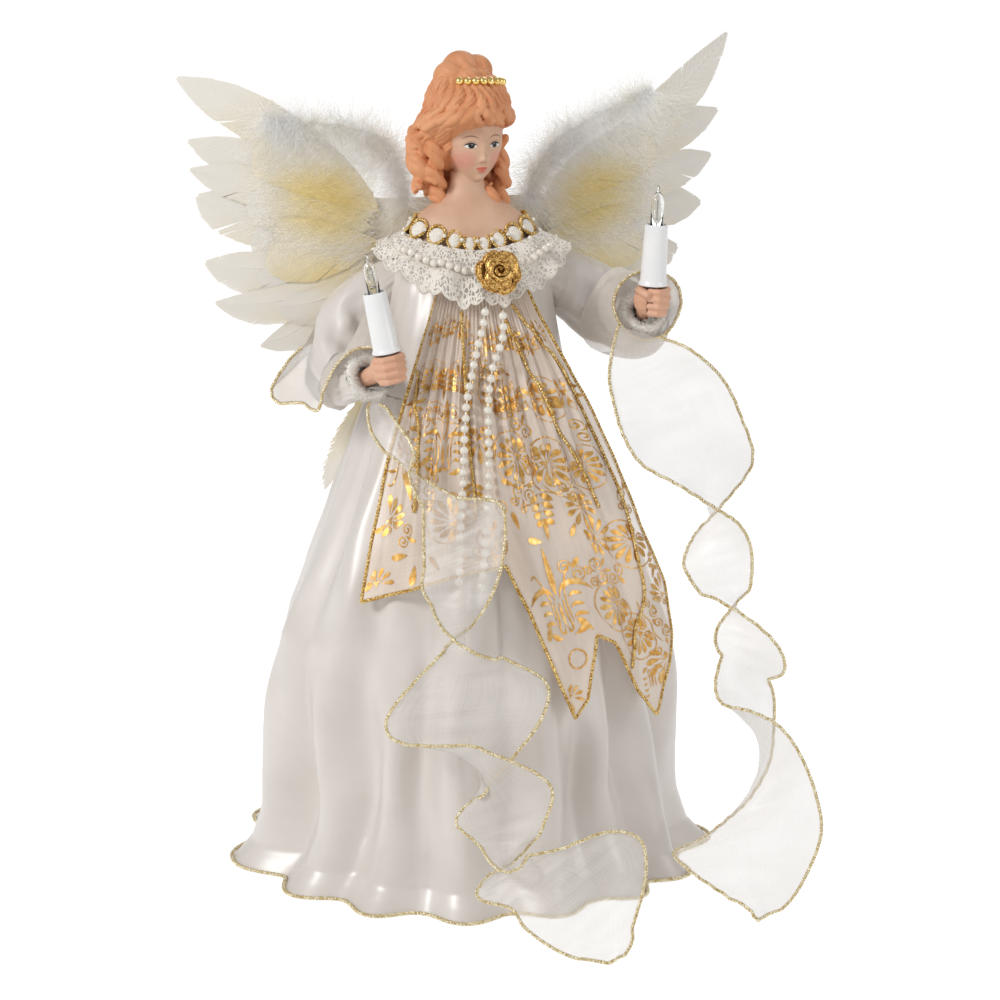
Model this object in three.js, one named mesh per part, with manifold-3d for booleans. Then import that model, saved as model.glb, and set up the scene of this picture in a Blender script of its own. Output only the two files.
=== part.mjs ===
// Angel tree topper: a porcelain bust on a stiff cone, dressed in satin and organza.
// Millimetres, +Z up. The origin is on the cone's axis at the surface it stands on.
// The angel faces -Y. Names with right and left are the angel's own sides, so right is -X.

import * as THREE from 'three';
import { mergeVertices } from 'three/addons/utils/BufferGeometryUtils.js';
import Module from 'manifold-3d';

const wasm = await Module();
wasm.setup();

// Overall sizes
const DRESS_HEIGHT = 280;        // floor to the top edge of the bodice
const HEM_RADIUS = 107;          // skirt at the floor
const BODICE_LENGTH = 68;        // waist to the bodice's top edge
const CLEARANCE = 0.35;          // gap kept between pieces that touch
const CUT_OVERRUN = 5;           // how far a cutter passes the face that it cuts
const SLIVER_SIZE = 0.03;        // a cut's slivers under this are closed up
const CLOTH_WALL = 0.6;          // satin and organza as solids

// Cone and dowel
const CONE_INSET = 35;           // its base inside the hem
const CONE_TOP_RADIUS = 8.6;
const CONE_DROP = 42;            // its top below the bodice's top edge
const CONE_WALL = 1.2;
const CONE_SIDES = 36;
const DOWEL_RADIUS = 6.6;
const DOWEL_GRIP = 26;           // length of the dowel inside the cone
const DOWEL_ENTRY = 10;          // length of the dowel inside the bust
const DOWEL_SIDES = 16;

// Skirt and petticoat
const SKIRT_FOLD_DEPTH = 8.5;
const SKIRT_SIDES = 42;
const SKIRT_ROWS = 8;
const WAIST_SEAM_LAP = 6;
const PETTICOAT_WALL = 0.8;
const PETTICOAT_SIDES = 18;
const PETTICOAT_ROWS = 6;
const PETTICOAT_GAP_SHARE = 0.0164;
const PETTICOAT_LIFT = 1.2;      // its lower edge stays off the floor
const HEM_CROWDING_POWER = 1.5;  // rows lie closer together at the hem

// Tunic
const TUNIC_DROP = 23;           // its top edge below the bodice's
const TUNIC_OFFSET = 2.4;        // off the dress
const TUNIC_FOLD_DEPTH = 3.2;
const TUNIC_PLEATS = 13;
const TUNIC_STANDOFF = 8;        // the left panel stands off the dress

// Bust and head
const BUST_SINK = 18;            // its base below the bodice's top edge
const HEAD_RISE = 61;            // bust's base to the middle of the head
const HEAD_CENTRE_X = -2;
const HEAD_CENTRE_Y = -1;
const FACE_RADIUS = 13;          // across the cheeks, half
const FACE_HALF_HEIGHT = 19;
const HAIR_RADIUS = 20;
const HEAD_TURN_DEGREES = 27;    // degrees towards the angel's left
const BUN_RISE = 23;             // middle of the head to the middle of the top knot
const BUN_RADIUS = 11.5;
const BUST_SOCKET_DEPTH = 22;
const BUST_SIDE_GAP = 2.7;       // from the bodice's top edge to the bust's widest ring
const BUST_FRONT_GAP = 3;
const TIARA_BEAD_RADIUS = 1.7;
const TIARA_BEADS = 8;

// Collar, braid, rose and pearls
const COLLAR_WALL = 0.6;
const COLLAR_SIDE_GAP = 1;       // from the bodice's top edge to the collar's inner edge
const COLLAR_FRONT_GAP = 1.9;
const COLLAR_SIDE_WIDTH = 12.9;  // from the collar's inner edge to its outer edge, seen from above
const COLLAR_FRONT_WIDTH = 17.9;
const COLLAR_BACK_WIDTH = 6.9;
const COLLAR_SINK = 0.5;         // inner edge below the bodice's top edge
const COLLAR_FRONT_DIP = 5;
const COLLAR_DROP_SIDE = 7;
const COLLAR_DROP_FRONT = 21;
const COLLAR_RUFFLES = 13;
const COLLAR_RUFFLE_DEPTH = 1.8;
const BRAID_TUBE_RADIUS = 1.4;
const BRAID_LOOPS = 12;
const BRAID_LOOP_DEPTH = 1.3;
const PEARL_RADIUS = 1.8;
const PEARL_PITCH = 6.5;
const NECKLACE_PEARL_RADIUS = 1.5;
const NECKLACE_PITCH = 5.4;
const THREAD_RADIUS = 0.45;
const ROSE_RADIUS = 8.6;
const ROSE_DEPTH = 7.5;
const ROSE_TURNS = 3.2;
const ROSE_RIBBON = 0.9;

// Arms and hands
const FIST_HEIGHT = 12.6;
const FINGER_RADIUS = 1.75;
const FINGER_REACH = 5.6;        // candle's axis to the middle of a finger
const WRIST_RADIUS = 3.7;
const WRIST_LENGTH = 15;
const ARM_WIRE_RADIUS = 1.0;
const ARM_WIRE_DROP = 12;        // where the wires leave the dowel, below the bust's base
const WIRE_GRIP = 7;             // length of the wire inside the wrist
const SLEEVE_WALL = 0.7;
const CUFF_OUTER_RADIUS = 9.2;
const CUFF_INNER_RADIUS = 6.4;
const CUFF_LENGTH = 6;

// Candle, socket, lamp and lead
const CANDLE_LENGTH = 26;
const CANDLE_TOP_RADIUS = 4.9;
const CANDLE_FOOT_RADIUS = 5.6;
const CANDLE_WALL = 0.7;
const CANDLE_SEAT = 6.9;         // above the middle of the fist
const CANDLE_SIDES = 16;
const SOCKET_RADIUS = 3.7;
const SOCKET_WALL = 0.6;
const SOCKET_LENGTH = 17;
const SOCKET_FLOOR = 3;
const SOCKET_SINK = 1.5;         // its top edge below the cover's
const LAMP_BASE_RADIUS = 2.7;
const LAMP_BASE_LENGTH = 11;
const LAMP_SINK = 1;             // the glass's foot below the socket's top edge
const LAMP_RADIUS = 2.7;
const LAMP_WALL = 0.45;
const LAMP_SIDES = 10;
const LAMP_LENGTH = 19;
const LAMP_PIP_LENGTH = 3;       // drawn-out tip of the glass
const STEM_RADIUS = 0.35;
const LEAD_WIDTH = 2.4;
const LEAD_THICKNESS = 1.3;
const LEAD_OFFSET = 3.6;         // lead's middle beside the arm wire
const JUNCTION_RADIUS = 3.6;
const JUNCTION_LENGTH = 16;
const JUNCTION_HEIGHT = 24;

// Wings
const WING_SIDE_GAP = 0.9;       // outside the bodice's top edge
const WING_STANDOFF = 0.12;      // from the bodice's back to the wings' card
const WING_DROP = 18;            // below the bodice's top edge
const WING_SWEEP_DEGREES = 12;   // degrees behind the shoulders
const WING_SPAN = 100;           // root to the tip of the top feather
const FEATHER_THICKNESS = 0.5;
const FEATHER_PITCH = 0.85;      // from one layer of feathers to the next
const FEATHER_STEPS = 7;
const WING_CAMBER = 7;           // how far the tips bend back
const CARD_THICKNESS = 1.4;
const CARD_DROP = 27.5;          // its foot below the bodice's top edge
const MARABOU_RADIUS = 7;
const MARABOU_FLATTEN_SHARE = 0.45;

// Scarves
const SCARF_ROWS = 40;
const SCARF_COLUMNS = 2;
const SCARF_FLOOR_LIFT = 0.8;
const SCARF_WIDTH = 24;          // least width of the ribbon where it turns edge on
const SCARF_TOP_SHARE = 0.35;
const SCARF_SETTLED_SHARE = 0.083;

// Places that follow from the sizes above
const waistHeight = DRESS_HEIGHT - BODICE_LENGTH;// top edge of the skirt
const coneHeight = DRESS_HEIGHT - CONE_DROP;
const coneBaseRadius = HEM_RADIUS - CONE_INSET;
const bustBase = DRESS_HEIGHT - BUST_SINK;
const headHeight = bustBase + HEAD_RISE;
const tunicTop = DRESS_HEIGHT - TUNIC_DROP;
const armWireHeight = bustBase - ARM_WIRE_DROP;
const neckline = { width: HEM_RADIUS * 0.272, depth: HEM_RADIUS * 0.17 };

const TURN = Math.PI * 2;
const degrees = Math.PI / 180;
const UP = new THREE.Vector3(0, 0, 1);
const vector = (x, y, z) => new THREE.Vector3(x, y, z);
const clamp = THREE.MathUtils.clamp;

// Finishes
const finish = (color, roughness, metalness = 0) =>
  new THREE.MeshStandardMaterial({ color, roughness, metalness });
const porcelain = finish(0xe8b896, 0.55);
const card = finish(0xd8cfbe, 0.9);
const wood = finish(0xc9a676, 0.7);
const satin = finish(0xf4f2ef, 0.32);
const netting = finish(0xf2f0ea, 0.8);
const printedOrganza = finish(0xeadfce, 0.5);
const organza = finish(0xf3f0ea, 0.45);
const lace = finish(0xf3efe6, 0.75);
const goldBraid = finish(0xc9a13b, 0.4, 0.6);
const goldBead = finish(0xd9b65a, 0.25, 0.8);
const pearl = finish(0xf6f1e4, 0.2);
const fur = finish(0xf5f2ec, 0.95);
const feather = finish(0xf3eedd, 0.8);
const yellowFeather = finish(0xf2e7b4, 0.85);
const whitePlastic = finish(0xf5f5f2, 0.35);
const glass = finish(0xe9eef0, 0.05);
const steelWire = finish(0x8d8d8d, 0.4, 0.8);
const greyLead = finish(0x9a9794, 0.5);

// Rows of shares: the value at a key, and a smooth curve through all the rows
function cubic(a, b, c, d, t) {
  const bend = t * (1 - t) / 2;
  return b + (c - b) * t + bend * ((c - b) * (2 * t - 1) + (b - a) * (1 - t) - (d - c) * t);
}

function rowBetween(rows, index, t) {
  const at = (i) => rows[clamp(i, 0, rows.length - 1)];
  return at(index).map((_, k) => cubic(
    at(index - 1)[k], at(index)[k], at(index + 1)[k], at(index + 2)[k], t));
}

function rowsAlong(rows, share) {
  const place = clamp(share, 0, 1) * (rows.length - 1);
  const index = Math.min(Math.floor(place), rows.length - 2);
  return rowBetween(rows, index, place - index);
}

function rowAtKey(rows, key) {
  const last = rows.length - 1;
  const held = clamp(key, rows[0][0], rows[last][0]);
  const index = Math.max(0, rows.findIndex((row) => row[0] >= held) - 1);
  const from = rows[index];
  const to = rows[Math.min(index + 1, last)];
  const t = to[0] > from[0] ? (held - from[0]) / (to[0] - from[0]) : 0;
  return from.map((value, k) => value + (to[k] - value) * t);
}

// The dress: half width and half depth at each height, as shares
const dressShares = [
  [0, 1, 1],
  [0.018, 0.955, 0.958],
  [0.036, 0.915, 0.922],
  [0.09, 0.868, 0.878],
  [0.157, 0.838, 0.852],
  [0.254, 0.82, 0.83],
  [0.386, 0.775, 0.78],
  [0.471, 0.71, 0.72],
  [0.579, 0.605, 0.62],
  [0.657, 0.52, 0.545],
  [0.732, 0.44, 0.47],
  [0.793, 0.385, 0.4],
  [0.857, 0.355, 0.335],
  [0.921, 0.33, 0.25],
  [0.971, 0.292, 0.19],
  [1, 0.272, 0.17],
];

// Folds of the skirt: place round the hem as a turn, half width as a turn, and height
const skirtFoldShares = [
  [-0.235, 0.05, 1.5],
  [-0.16, 0.034, 0.85],
  [-0.095, 0.03, 0.75],
  [-0.03, 0.032, 0.8],
  [0.035, 0.03, 0.7],
  [0.098, 0.026, 0.75],
  [0.148, 0.03, 1],
  [0.225, 0.04, 1.15],
  [0.3, 0.034, 0.8],
  [0.372, 0.034, 0.9],
  [0.445, 0.034, 0.8],
  [-0.482, 0.032, 0.85],
  [-0.405, 0.036, 0.9],
  [-0.325, 0.036, 0.85],
];

const ellipseRadius = (halfWidth, halfDepth, angle) =>
  1 / Math.hypot(Math.sin(angle) / halfWidth, Math.cos(angle) / halfDepth);

function dressRadius(angle, height) {
  const [, width, depth] = rowAtKey(dressShares, height / DRESS_HEIGHT);
  return ellipseRadius(width * HEM_RADIUS, depth * HEM_RADIUS, angle);
}

function foldLift(angle) {
  const turn = angle / TURN;
  let lift = 0;
  for (const [place, halfWidth, rise] of skirtFoldShares) {
    const away = Math.abs(turn - place - Math.round(turn - place)) / halfWidth;
    if (away < 1) lift = Math.max(lift, rise * (0.5 + 0.5 * Math.cos(away * Math.PI)));
  }
  return lift;
}

// Outer face of the skirt: the folds deepen from the waist to the hem
function skirtRadius(angle, height) {
  const fall = 1 - height / waistHeight;
  const depth = SKIRT_FOLD_DEPTH * Math.pow(clamp(fall, 0, 1), 0.8);
  return dressRadius(angle, height) - depth * (1 - foldLift(angle));
}

// A place given by the angle round the axis from the front, the reach and the height
const around = (angle, reach, height) =>
  vector(reach * Math.sin(angle), -reach * Math.cos(angle), height);

// Closed meshes
function signedVolume(positions, triangles) {
  let total = 0;
  const [a, b, c] = [vector(0, 0, 0), vector(0, 0, 0), vector(0, 0, 0)];
  for (let i = 0; i < triangles.length; i += 3) {
    a.fromArray(positions, triangles[i] * 3);
    b.fromArray(positions, triangles[i + 1] * 3);
    c.fromArray(positions, triangles[i + 2] * 3);
    total += a.dot(b.cross(c));
  }
  return total;
}

function closedGeometry(points, triangles) {
  const positions = points.flatMap((p) => [p.x, p.y, p.z]);
  if (signedVolume(positions, triangles) < 0) triangles.reverse();
  const geometry = new THREE.BufferGeometry();
  geometry.setAttribute('position', new THREE.Float32BufferAttribute(positions, 3));
  geometry.setIndex(triangles);
  return geometry;
}

// A skin over closed rings with one more point at each end, or round from last to first
function loft(rings, joined = false) {
  const count = rings[0].length;
  const points = rings.flat();
  const triangles = [];
  const bands = joined ? rings.length : rings.length - 1;
  for (let i = 0; i < bands; i++) {
    const next = (i + 1) % rings.length;
    for (let j = 0; j < count; j++) {
      const right = (j + 1) % count;
      const [a, b] = [i * count + j, i * count + right];
      const [c, d] = [next * count + j, next * count + right];
      triangles.push(a, b, d, a, d, c);
    }
  }
  if (!joined) {
    for (const [ring, flip] of [[0, true], [rings.length - 1, false]]) {
      const middle = points.length;
      const centre = rings[ring].reduce((sum, p) => sum.add(p), vector(0, 0, 0));
      points.push(centre.divideScalar(count));
      for (let j = 0; j < count; j++) {
        const [a, b] = [ring * count + j, ring * count + (j + 1) % count];
        if (flip) triangles.push(middle, b, a);
        else triangles.push(middle, a, b);
      }
    }
  }
  return closedGeometry(points, triangles);
}

// A sheet of cloth with a wall: rows of points, each moved half the wall both ways
function sheet(rows, wall, wrapped = false) {
  const high = rows.length;
  const wide = rows[0].length;
  const at = (i, j) => rows[clamp(i, 0, high - 1)][wrapped ? (j + wide) % wide : clamp(j, 0, wide - 1)];
  const faces = [[], []];
  for (let i = 0; i < high; i++) {
    for (let j = 0; j < wide; j++) {
      const along = at(i + 1, j).clone().sub(at(i - 1, j));
      const across = at(i, j + 1).clone().sub(at(i, j - 1));
      const out = along.cross(across).normalize().multiplyScalar(wall / 2);
      faces[0].push(at(i, j).clone().add(out));
      faces[1].push(at(i, j).clone().sub(out));
    }
  }
  const points = [...faces[0], ...faces[1]];
  const back = high * wide;
  const triangles = [];
  const spans = wrapped ? wide : wide - 1;
  const quad = (a, b, c, d) => triangles.push(a, b, c, a, c, d);
  for (let i = 0; i < high - 1; i++) {
    for (let j = 0; j < spans; j++) {
      const next = (j + 1) % wide;
      const [a, b] = [i * wide + j, i * wide + next];
      const [c, d] = [(i + 1) * wide + next, (i + 1) * wide + j];
      quad(a, b, c, d);
      quad(back + a, back + d, back + c, back + b);
    }
  }
  for (let j = 0; j < spans; j++) {
    const next = (j + 1) % wide;
    const foot = (high - 1) * wide;
    quad(back + j, back + next, next, j);
    quad(foot + j, foot + next, back + foot + next, back + foot + j);
  }
  if (!wrapped) {
    for (let i = 0; i < high - 1; i++) {
      const [a, b] = [i * wide, (i + 1) * wide];
      const [c, d] = [a + wide - 1, b + wide - 1];
      quad(a, b, back + b, back + a);
      quad(c, back + c, back + d, d);
    }
  }
  return closedGeometry(points, triangles);
}

// A tube or string along a curve, with its own radius at each step and a frame carried along
function tube(curve, steps, sides, radiusAt, options = {}) {
  const { widthShare = 1, side = UP } = options;
  const rings = [];
  const first = side.clone().cross(curve.getTangentAt(0));
  if (first.lengthSq() < 1e-4) first.set(1, 0, 0).cross(curve.getTangentAt(0));
  for (let i = 0; i <= steps; i++) {
    const share = options.shares ? options.shares[i] : i / steps;
    const centre = curve.getPointAt(clamp(share, 0, 1));
    const ahead = curve.getTangentAt(clamp(share, 0, 1));
    first.addScaledVector(ahead, -first.dot(ahead)).normalize();
    const second = ahead.clone().cross(first).normalize();
    const radius = radiusAt(share, i);
    rings.push(Array.from({ length: sides }, (_, j) => {
      const angle = TURN * j / sides;
      return centre.clone()
        .addScaledVector(first, Math.cos(angle) * radius * widthShare)
        .addScaledVector(second, Math.sin(angle) * radius);
    }));
  }
  return loft(rings);
}

// Beads fused on their thread: a neck and two rings for each bead
function beadString(curve, beadRadius, pitch, sides = 5) {
  const length = curve.getLength();
  const count = Math.max(2, Math.round(length / pitch));
  const step = 1 / count;
  const shoulder = beadRadius * 0.55 / length;
  const shares = [0];
  const radii = [THREAD_RADIUS];
  for (let i = 0; i < count; i++) {
    const middle = (i + 0.5) * step;
    shares.push(middle - shoulder, middle + shoulder, (i + 1) * step);
    radii.push(beadRadius, beadRadius, THREAD_RADIUS);
  }
  return tube(curve, shares.length - 1, sides, (_, i) => radii[i], { shares });
}

const lathe = (profile, sides) => {
  const points = profile.map(([radius, height]) => new THREE.Vector2(radius, height));
  return new THREE.LatheGeometry(points, sides).rotateX(Math.PI / 2);
};

// Joins and cuts
function toSolid(geometry) {
  const plain = geometry.clone();
  for (const name of Object.keys(plain.attributes)) {
    if (name !== 'position') plain.deleteAttribute(name);
  }
  const merged = mergeVertices(plain, 1e-4);
  const triVerts = [];
  const index = merged.index.array;
  for (let i = 0; i < index.length; i += 3) {
    const [a, b, c] = [index[i], index[i + 1], index[i + 2]];
    if (a !== b && b !== c && c !== a) triVerts.push(a, b, c);
  }
  return new wasm.Manifold(new wasm.Mesh({
    numProp: 3,
    vertProperties: merged.attributes.position.array,
    triVerts: new Uint32Array(triVerts),
  }));
}

function fromSolid(solid) {
  const pieces = solid.decompose();
  pieces.sort((a, b) => b.volume() - a.volume());
  const mesh = pieces[0].simplify(SLIVER_SIZE).getMesh();
  const geometry = new THREE.BufferGeometry();
  geometry.setAttribute('position', new THREE.BufferAttribute(mesh.vertProperties, 3));
  geometry.setIndex(new THREE.BufferAttribute(mesh.triVerts, 1));
  return geometry;
}

const cutBy = (geometry, ...cutters) => fromSolid(
  cutters.reduce((solid, cutter) => solid.subtract(toSolid(cutter)), toSolid(geometry)));
const joined = (...geometries) => fromSolid(
  geometries.slice(1).reduce((solid, piece) => solid.add(toSolid(piece)), toSolid(geometries[0])));

const angel = new THREE.Group();
function add(name, geometry, material, parent = angel) {
  const mesh = new THREE.Mesh(geometry, material);
  mesh.name = name;
  parent.add(mesh);
  return mesh;
}

// Cone, dowel and petticoat
const coneRadius = (height) =>
  coneBaseRadius + (CONE_TOP_RADIUS - coneBaseRadius) * height / coneHeight;

function innerCone() {
  return lathe([
    [coneBaseRadius - CONE_WALL, 0],
    [coneBaseRadius, 0],
    [CONE_TOP_RADIUS, coneHeight],
    [CONE_TOP_RADIUS - CONE_WALL, coneHeight],
    [coneBaseRadius - CONE_WALL, 0],
  ], CONE_SIDES);
}

const dowelFoot = coneHeight - DOWEL_GRIP;
function neckDowel() {
  const length = bustBase + DOWEL_ENTRY - dowelFoot;
  return new THREE.CylinderGeometry(DOWEL_RADIUS, DOWEL_RADIUS, length, DOWEL_SIDES)
    .rotateX(Math.PI / 2)
    .translate(0, 0, dowelFoot + length / 2);
}

// A closed round of cloth at the given heights; the last may fall at the front
function roundCloth(radiusAt, heights, sides, wall, fallAt = () => 0) {
  return sheet(heights.map((height, i) => Array.from({ length: sides }, (_, j) => {
    const angle = TURN * j / sides;
    const place = height - fallAt(angle) * i / (heights.length - 1);
    return around(angle, radiusAt(angle, place) - wall / 2, place);
  })), wall, true);
}

// Rows crowd towards the hem, where the skirt flares
const crowded = (foot, top, rows) => Array.from({ length: rows + 1 }, (_, i) =>
  foot + (top - foot) * Math.pow(i / rows, HEM_CROWDING_POWER));

function skirt() {
  const heights = crowded(0, waistHeight, SKIRT_ROWS);
  const whole = roundCloth(skirtRadius, heights, SKIRT_SIDES, CLOTH_WALL);
  const floor = new THREE.BoxGeometry(HEM_RADIUS * 4, HEM_RADIUS * 4, CUT_OVERRUN)
    .translate(0, 0, -CUT_OVERRUN / 2);
  return cutBy(whole, floor);
}

function petticoat() {
  const reach = (angle, height) => {
    const fall = clamp(1 - height / waistHeight, 0, 1);
    const depth = SKIRT_FOLD_DEPTH * Math.pow(fall, 0.8);
    return dressRadius(angle, height) - depth - CLOTH_WALL - HEM_RADIUS * PETTICOAT_GAP_SHARE;
  };
  const top = waistHeight - 2 * WAIST_SEAM_LAP;
  const heights = crowded(PETTICOAT_LIFT, top, PETTICOAT_ROWS);
  return roundCloth(reach, heights, PETTICOAT_SIDES, PETTICOAT_WALL);
}

// Bodice: a padded satin tube from inside the skirt's top edge to the shoulders
const BODICE_SIDES = 20;
const bodiceRowShares = [-0.09, 0.012, 0.2, 0.42, 0.6, 0.76, 0.88, 1];
const NECKLINE_DIP = 7;
function bodice(grow = 0, solid = false) {
  const tuck = CLOTH_WALL + 2 * CLEARANCE;
  const reach = (angle, height) => {
    const inside = height <= waistHeight + CLEARANCE * 3 ? tuck : 0;
    return dressRadius(angle, height) - inside + grow;
  };
  const heights = bodiceRowShares.map((share) =>
    waistHeight + (DRESS_HEIGHT - waistHeight) * share);
  const dip = (angle) => NECKLINE_DIP * Math.pow(Math.max(0, Math.cos(angle)), 1.5);
  if (!solid) return roundCloth(reach, heights, BODICE_SIDES, CLOTH_WALL, dip);
  return loft(heights.map((height) => Array.from({ length: BODICE_SIDES }, (_, j) => {
    const angle = TURN * j / BODICE_SIDES;
    return around(angle, reach(angle, height), height);
  })));
}

// Tunic: its side edges and lower edge, as shares
const tunicEdgeShares = [
  [0, -0.105, 0.12],
  [0.3, -0.118, 0.13],
  [0.55, -0.127, 0.15],
  [1, -0.125, 0.172],
];
const tunicHemShares = [
  [0, 0.468],
  [0.12, 0.49],
  [0.23, 0.508],
  [0.34, 0.525],
  [0.44, 0.53],
  [0.5, 0.46],
  [0.56, 0.36],
  [0.605, 0.297],
  [0.65, 0.32],
  [0.7, 0.415],
  [0.745, 0.4],
  [0.8, 0.32],
  [0.865, 0.272],
  [0.92, 0.34],
  [1, 0.46],
];
const TUNIC_COLUMNS = 26;
const TUNIC_ROWS = 8;

function tunicReach(angle, height, share) {
  const fall = clamp((tunicTop - height) / tunicTop, 0, 1);
  const pleat = 0.5 + 0.5 * Math.cos(share * TUNIC_PLEATS * TURN);
  const depth = TUNIC_FOLD_DEPTH * Math.min(1, fall * 6) * (1 - 0.5 * fall);
  const offset = Math.max(CLOTH_WALL / 2 + CLEARANCE, TUNIC_OFFSET * Math.min(1, fall * 8));
  const outer = THREE.MathUtils.smoothstep(share, 0.66, 0.96) * THREE.MathUtils.smoothstep(fall, 0, 0.2);
  return dressRadius(angle, height) + offset + depth * pleat + TUNIC_STANDOFF * outer;
}

function tunic() {
  const grid = [];
  for (let i = 0; i <= TUNIC_ROWS; i++) {
    const down = i / TUNIC_ROWS;
    grid.push(Array.from({ length: TUNIC_COLUMNS + 1 }, (_, j) => {
      const share = j / TUNIC_COLUMNS;
      const [, low] = rowAtKey(tunicHemShares, share);
      const height = tunicTop + (low * DRESS_HEIGHT - tunicTop) * down;
      const [, right, left] = rowAtKey(tunicEdgeShares, down);
      const angle = (right + (left - right) * share) * TURN;
      return around(angle, tunicReach(angle, height, share), height);
    }));
  }
  return sheet(grid, CLOTH_WALL);
}

// Bust: rings of half width, half depth and height from the base to under the jaw
const bustShares = [
  [0, 1, 1],
  [0.2, 1, 1.02],
  [0.42, 0.97, 1],
  [0.55, 0.88, 0.86],
  [0.65, 0.69, 0.69],
  [0.75, 0.45, 0.56],
  [0.84, 0.31, 0.49],
  [1, 0.25, 0.45],
];
const BUST_SIDES = 16;
const neckTop = headHeight - FACE_HALF_HEIGHT * 0.895;

function shoulders() {
  const rings = bustShares.map(([rise, width, depth]) => {
    const height = bustBase + (neckTop - bustBase) * rise;
    const shift = HEAD_CENTRE_X * Math.max(0, rise - 0.5) * 2;
    return Array.from({ length: BUST_SIDES }, (_, j) => {
      const angle = TURN * j / BUST_SIDES;
      const reach = ellipseRadius(width * (neckline.width - BUST_SIDE_GAP),
        depth * (neckline.depth - BUST_FRONT_GAP), angle);
      return around(angle, reach, height).add(vector(shift, 0, 0));
    });
  });
  return loft(rings);
}

// Face features: sideways and upward place, spread and height, as shares of the face
const faceFeatureShares = [
  [0, -0.1, 0.1, 0.13, 0.15],       // nose
  [0, 0.12, 0.07, 0.22, 0.045],     // bridge
  [-0.34, 0.14, 0.17, 0.09, -0.06], // right eye socket
  [0.34, 0.14, 0.17, 0.09, -0.06],  // left eye socket
  [0, 0.34, 0.5, 0.1, 0.02],        // brow
  [0, -0.36, 0.15, 0.055, 0.07],    // lips
  [0, -0.66, 0.2, 0.14, 0.09],      // chin
  [-0.48, -0.2, 0.24, 0.22, 0.045], // right cheek
  [0.48, -0.2, 0.24, 0.22, 0.045],  // left cheek
];
const FACE_SIDES = 20;
const FACE_RINGS = 14;

// The head faces -Y before it is turned. Below the cheeks it narrows to the chin.
function faceSolid() {
  const rings = [];
  for (let i = 1; i < FACE_RINGS; i++) {
    const polar = Math.PI * i / FACE_RINGS;
    const rise = -Math.cos(polar);
    const jaw = 1 - 0.3 * Math.pow(Math.max(0, -rise - 0.1), 1.4);
    rings.push(Array.from({ length: FACE_SIDES }, (_, j) => {
      const angle = TURN * j / FACE_SIDES;
      const width = Math.sin(polar) * jaw;
      const side = Math.sin(angle) * width;
      const front = Math.cos(angle);
      let lift = 0;
      for (const [x, z, spreadX, spreadZ, height] of faceFeatureShares) {
        const away = ((side - x) / spreadX) ** 2 + ((rise - z) / spreadZ) ** 2;
        lift += height * Math.exp(-away);
      }
      const forward = front * width * (1 - 0.04 * Math.max(0, front)) + Math.max(0, front) * lift;
      return vector(side * FACE_RADIUS, -forward * FACE_RADIUS * 1.08, rise * FACE_HALF_HEIGHT);
    }));
  }
  return loft(rings);
}

// Hair: a swept crown with strands combed up to the top knot, and the knot's three coils
function strandedBall(radii, sides, ringCount, strands, twist, depthShare) {
  const rings = [];
  for (let i = 1; i < ringCount; i++) {
    const polar = Math.PI * i / ringCount;
    rings.push(Array.from({ length: sides }, (_, j) => {
      const angle = TURN * j / sides;
      const comb = 1 + depthShare * Math.cos(strands * (angle + twist * polar));
      const flat = Math.sin(polar) * comb;
      return vector(flat * Math.sin(angle) * radii[0], -flat * Math.cos(angle) * radii[1],
        -Math.cos(polar) * radii[2]);
    }));
  }
  return loft(rings);
}

// Locks that hang beside the face: start, fall and swing of each, as shares of the hair
const lockShares = [
  [-0.98, -0.3, 0.1, -0.86, -0.05, -1.35, 0.25],
  [-0.72, -0.62, 0, -0.66, -0.35, -1.45, 0.24],
  [-0.88, 0.2, 0.05, -0.8, 0.35, -1.3, 0.26],
  [0.7, -0.45, 0, 0.62, -0.3, -1.4, 0.2],
  [0.85, -0.1, 0, 0.8, 0.05, -1.2, 0.22],
  [0.35, 0.75, -0.2, 0.3, 0.7, -1.05, 0.26],
  [-0.35, 0.8, -0.2, -0.35, 0.75, -1.1, 0.26],
];
const LOCK_STEPS = 7;
const LOCK_SIDES = 5;

function hairLock([x0, y0, z0, x1, y1, z1, thick], order) {
  const points = Array.from({ length: 6 }, (_, i) => {
    const t = i / 5;
    const swing = 0.13 * Math.sin(t * TURN * 1.2 + order);
    return vector(
      (x0 + (x1 - x0) * t + swing * (1 - Math.abs(x0))) * HAIR_RADIUS,
      (y0 + (y1 - y0) * t + swing) * HAIR_RADIUS,
      (z0 + (z1 - z0) * t) * HAIR_RADIUS);
  });
  const curve = new THREE.CatmullRomCurve3(points);
  return tube(curve, LOCK_STEPS, LOCK_SIDES, (share) => {
    const curl = 1 + 0.22 * Math.sin(share * TURN * 2.5 + order);
    return thick * HAIR_RADIUS * curl * Math.sqrt(Math.sin(Math.PI * (0.1 + 0.86 * share)));
  }, { side: vector(1, 0, 0) });
}

const headPlace = (x, y, z) => vector(HEAD_CENTRE_X + x, HEAD_CENTRE_Y + y, headHeight + z);
const inHead = (geometry) => geometry
  .rotateZ(HEAD_TURN_DEGREES * degrees)
  .translate(HEAD_CENTRE_X, HEAD_CENTRE_Y, headHeight);

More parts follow.
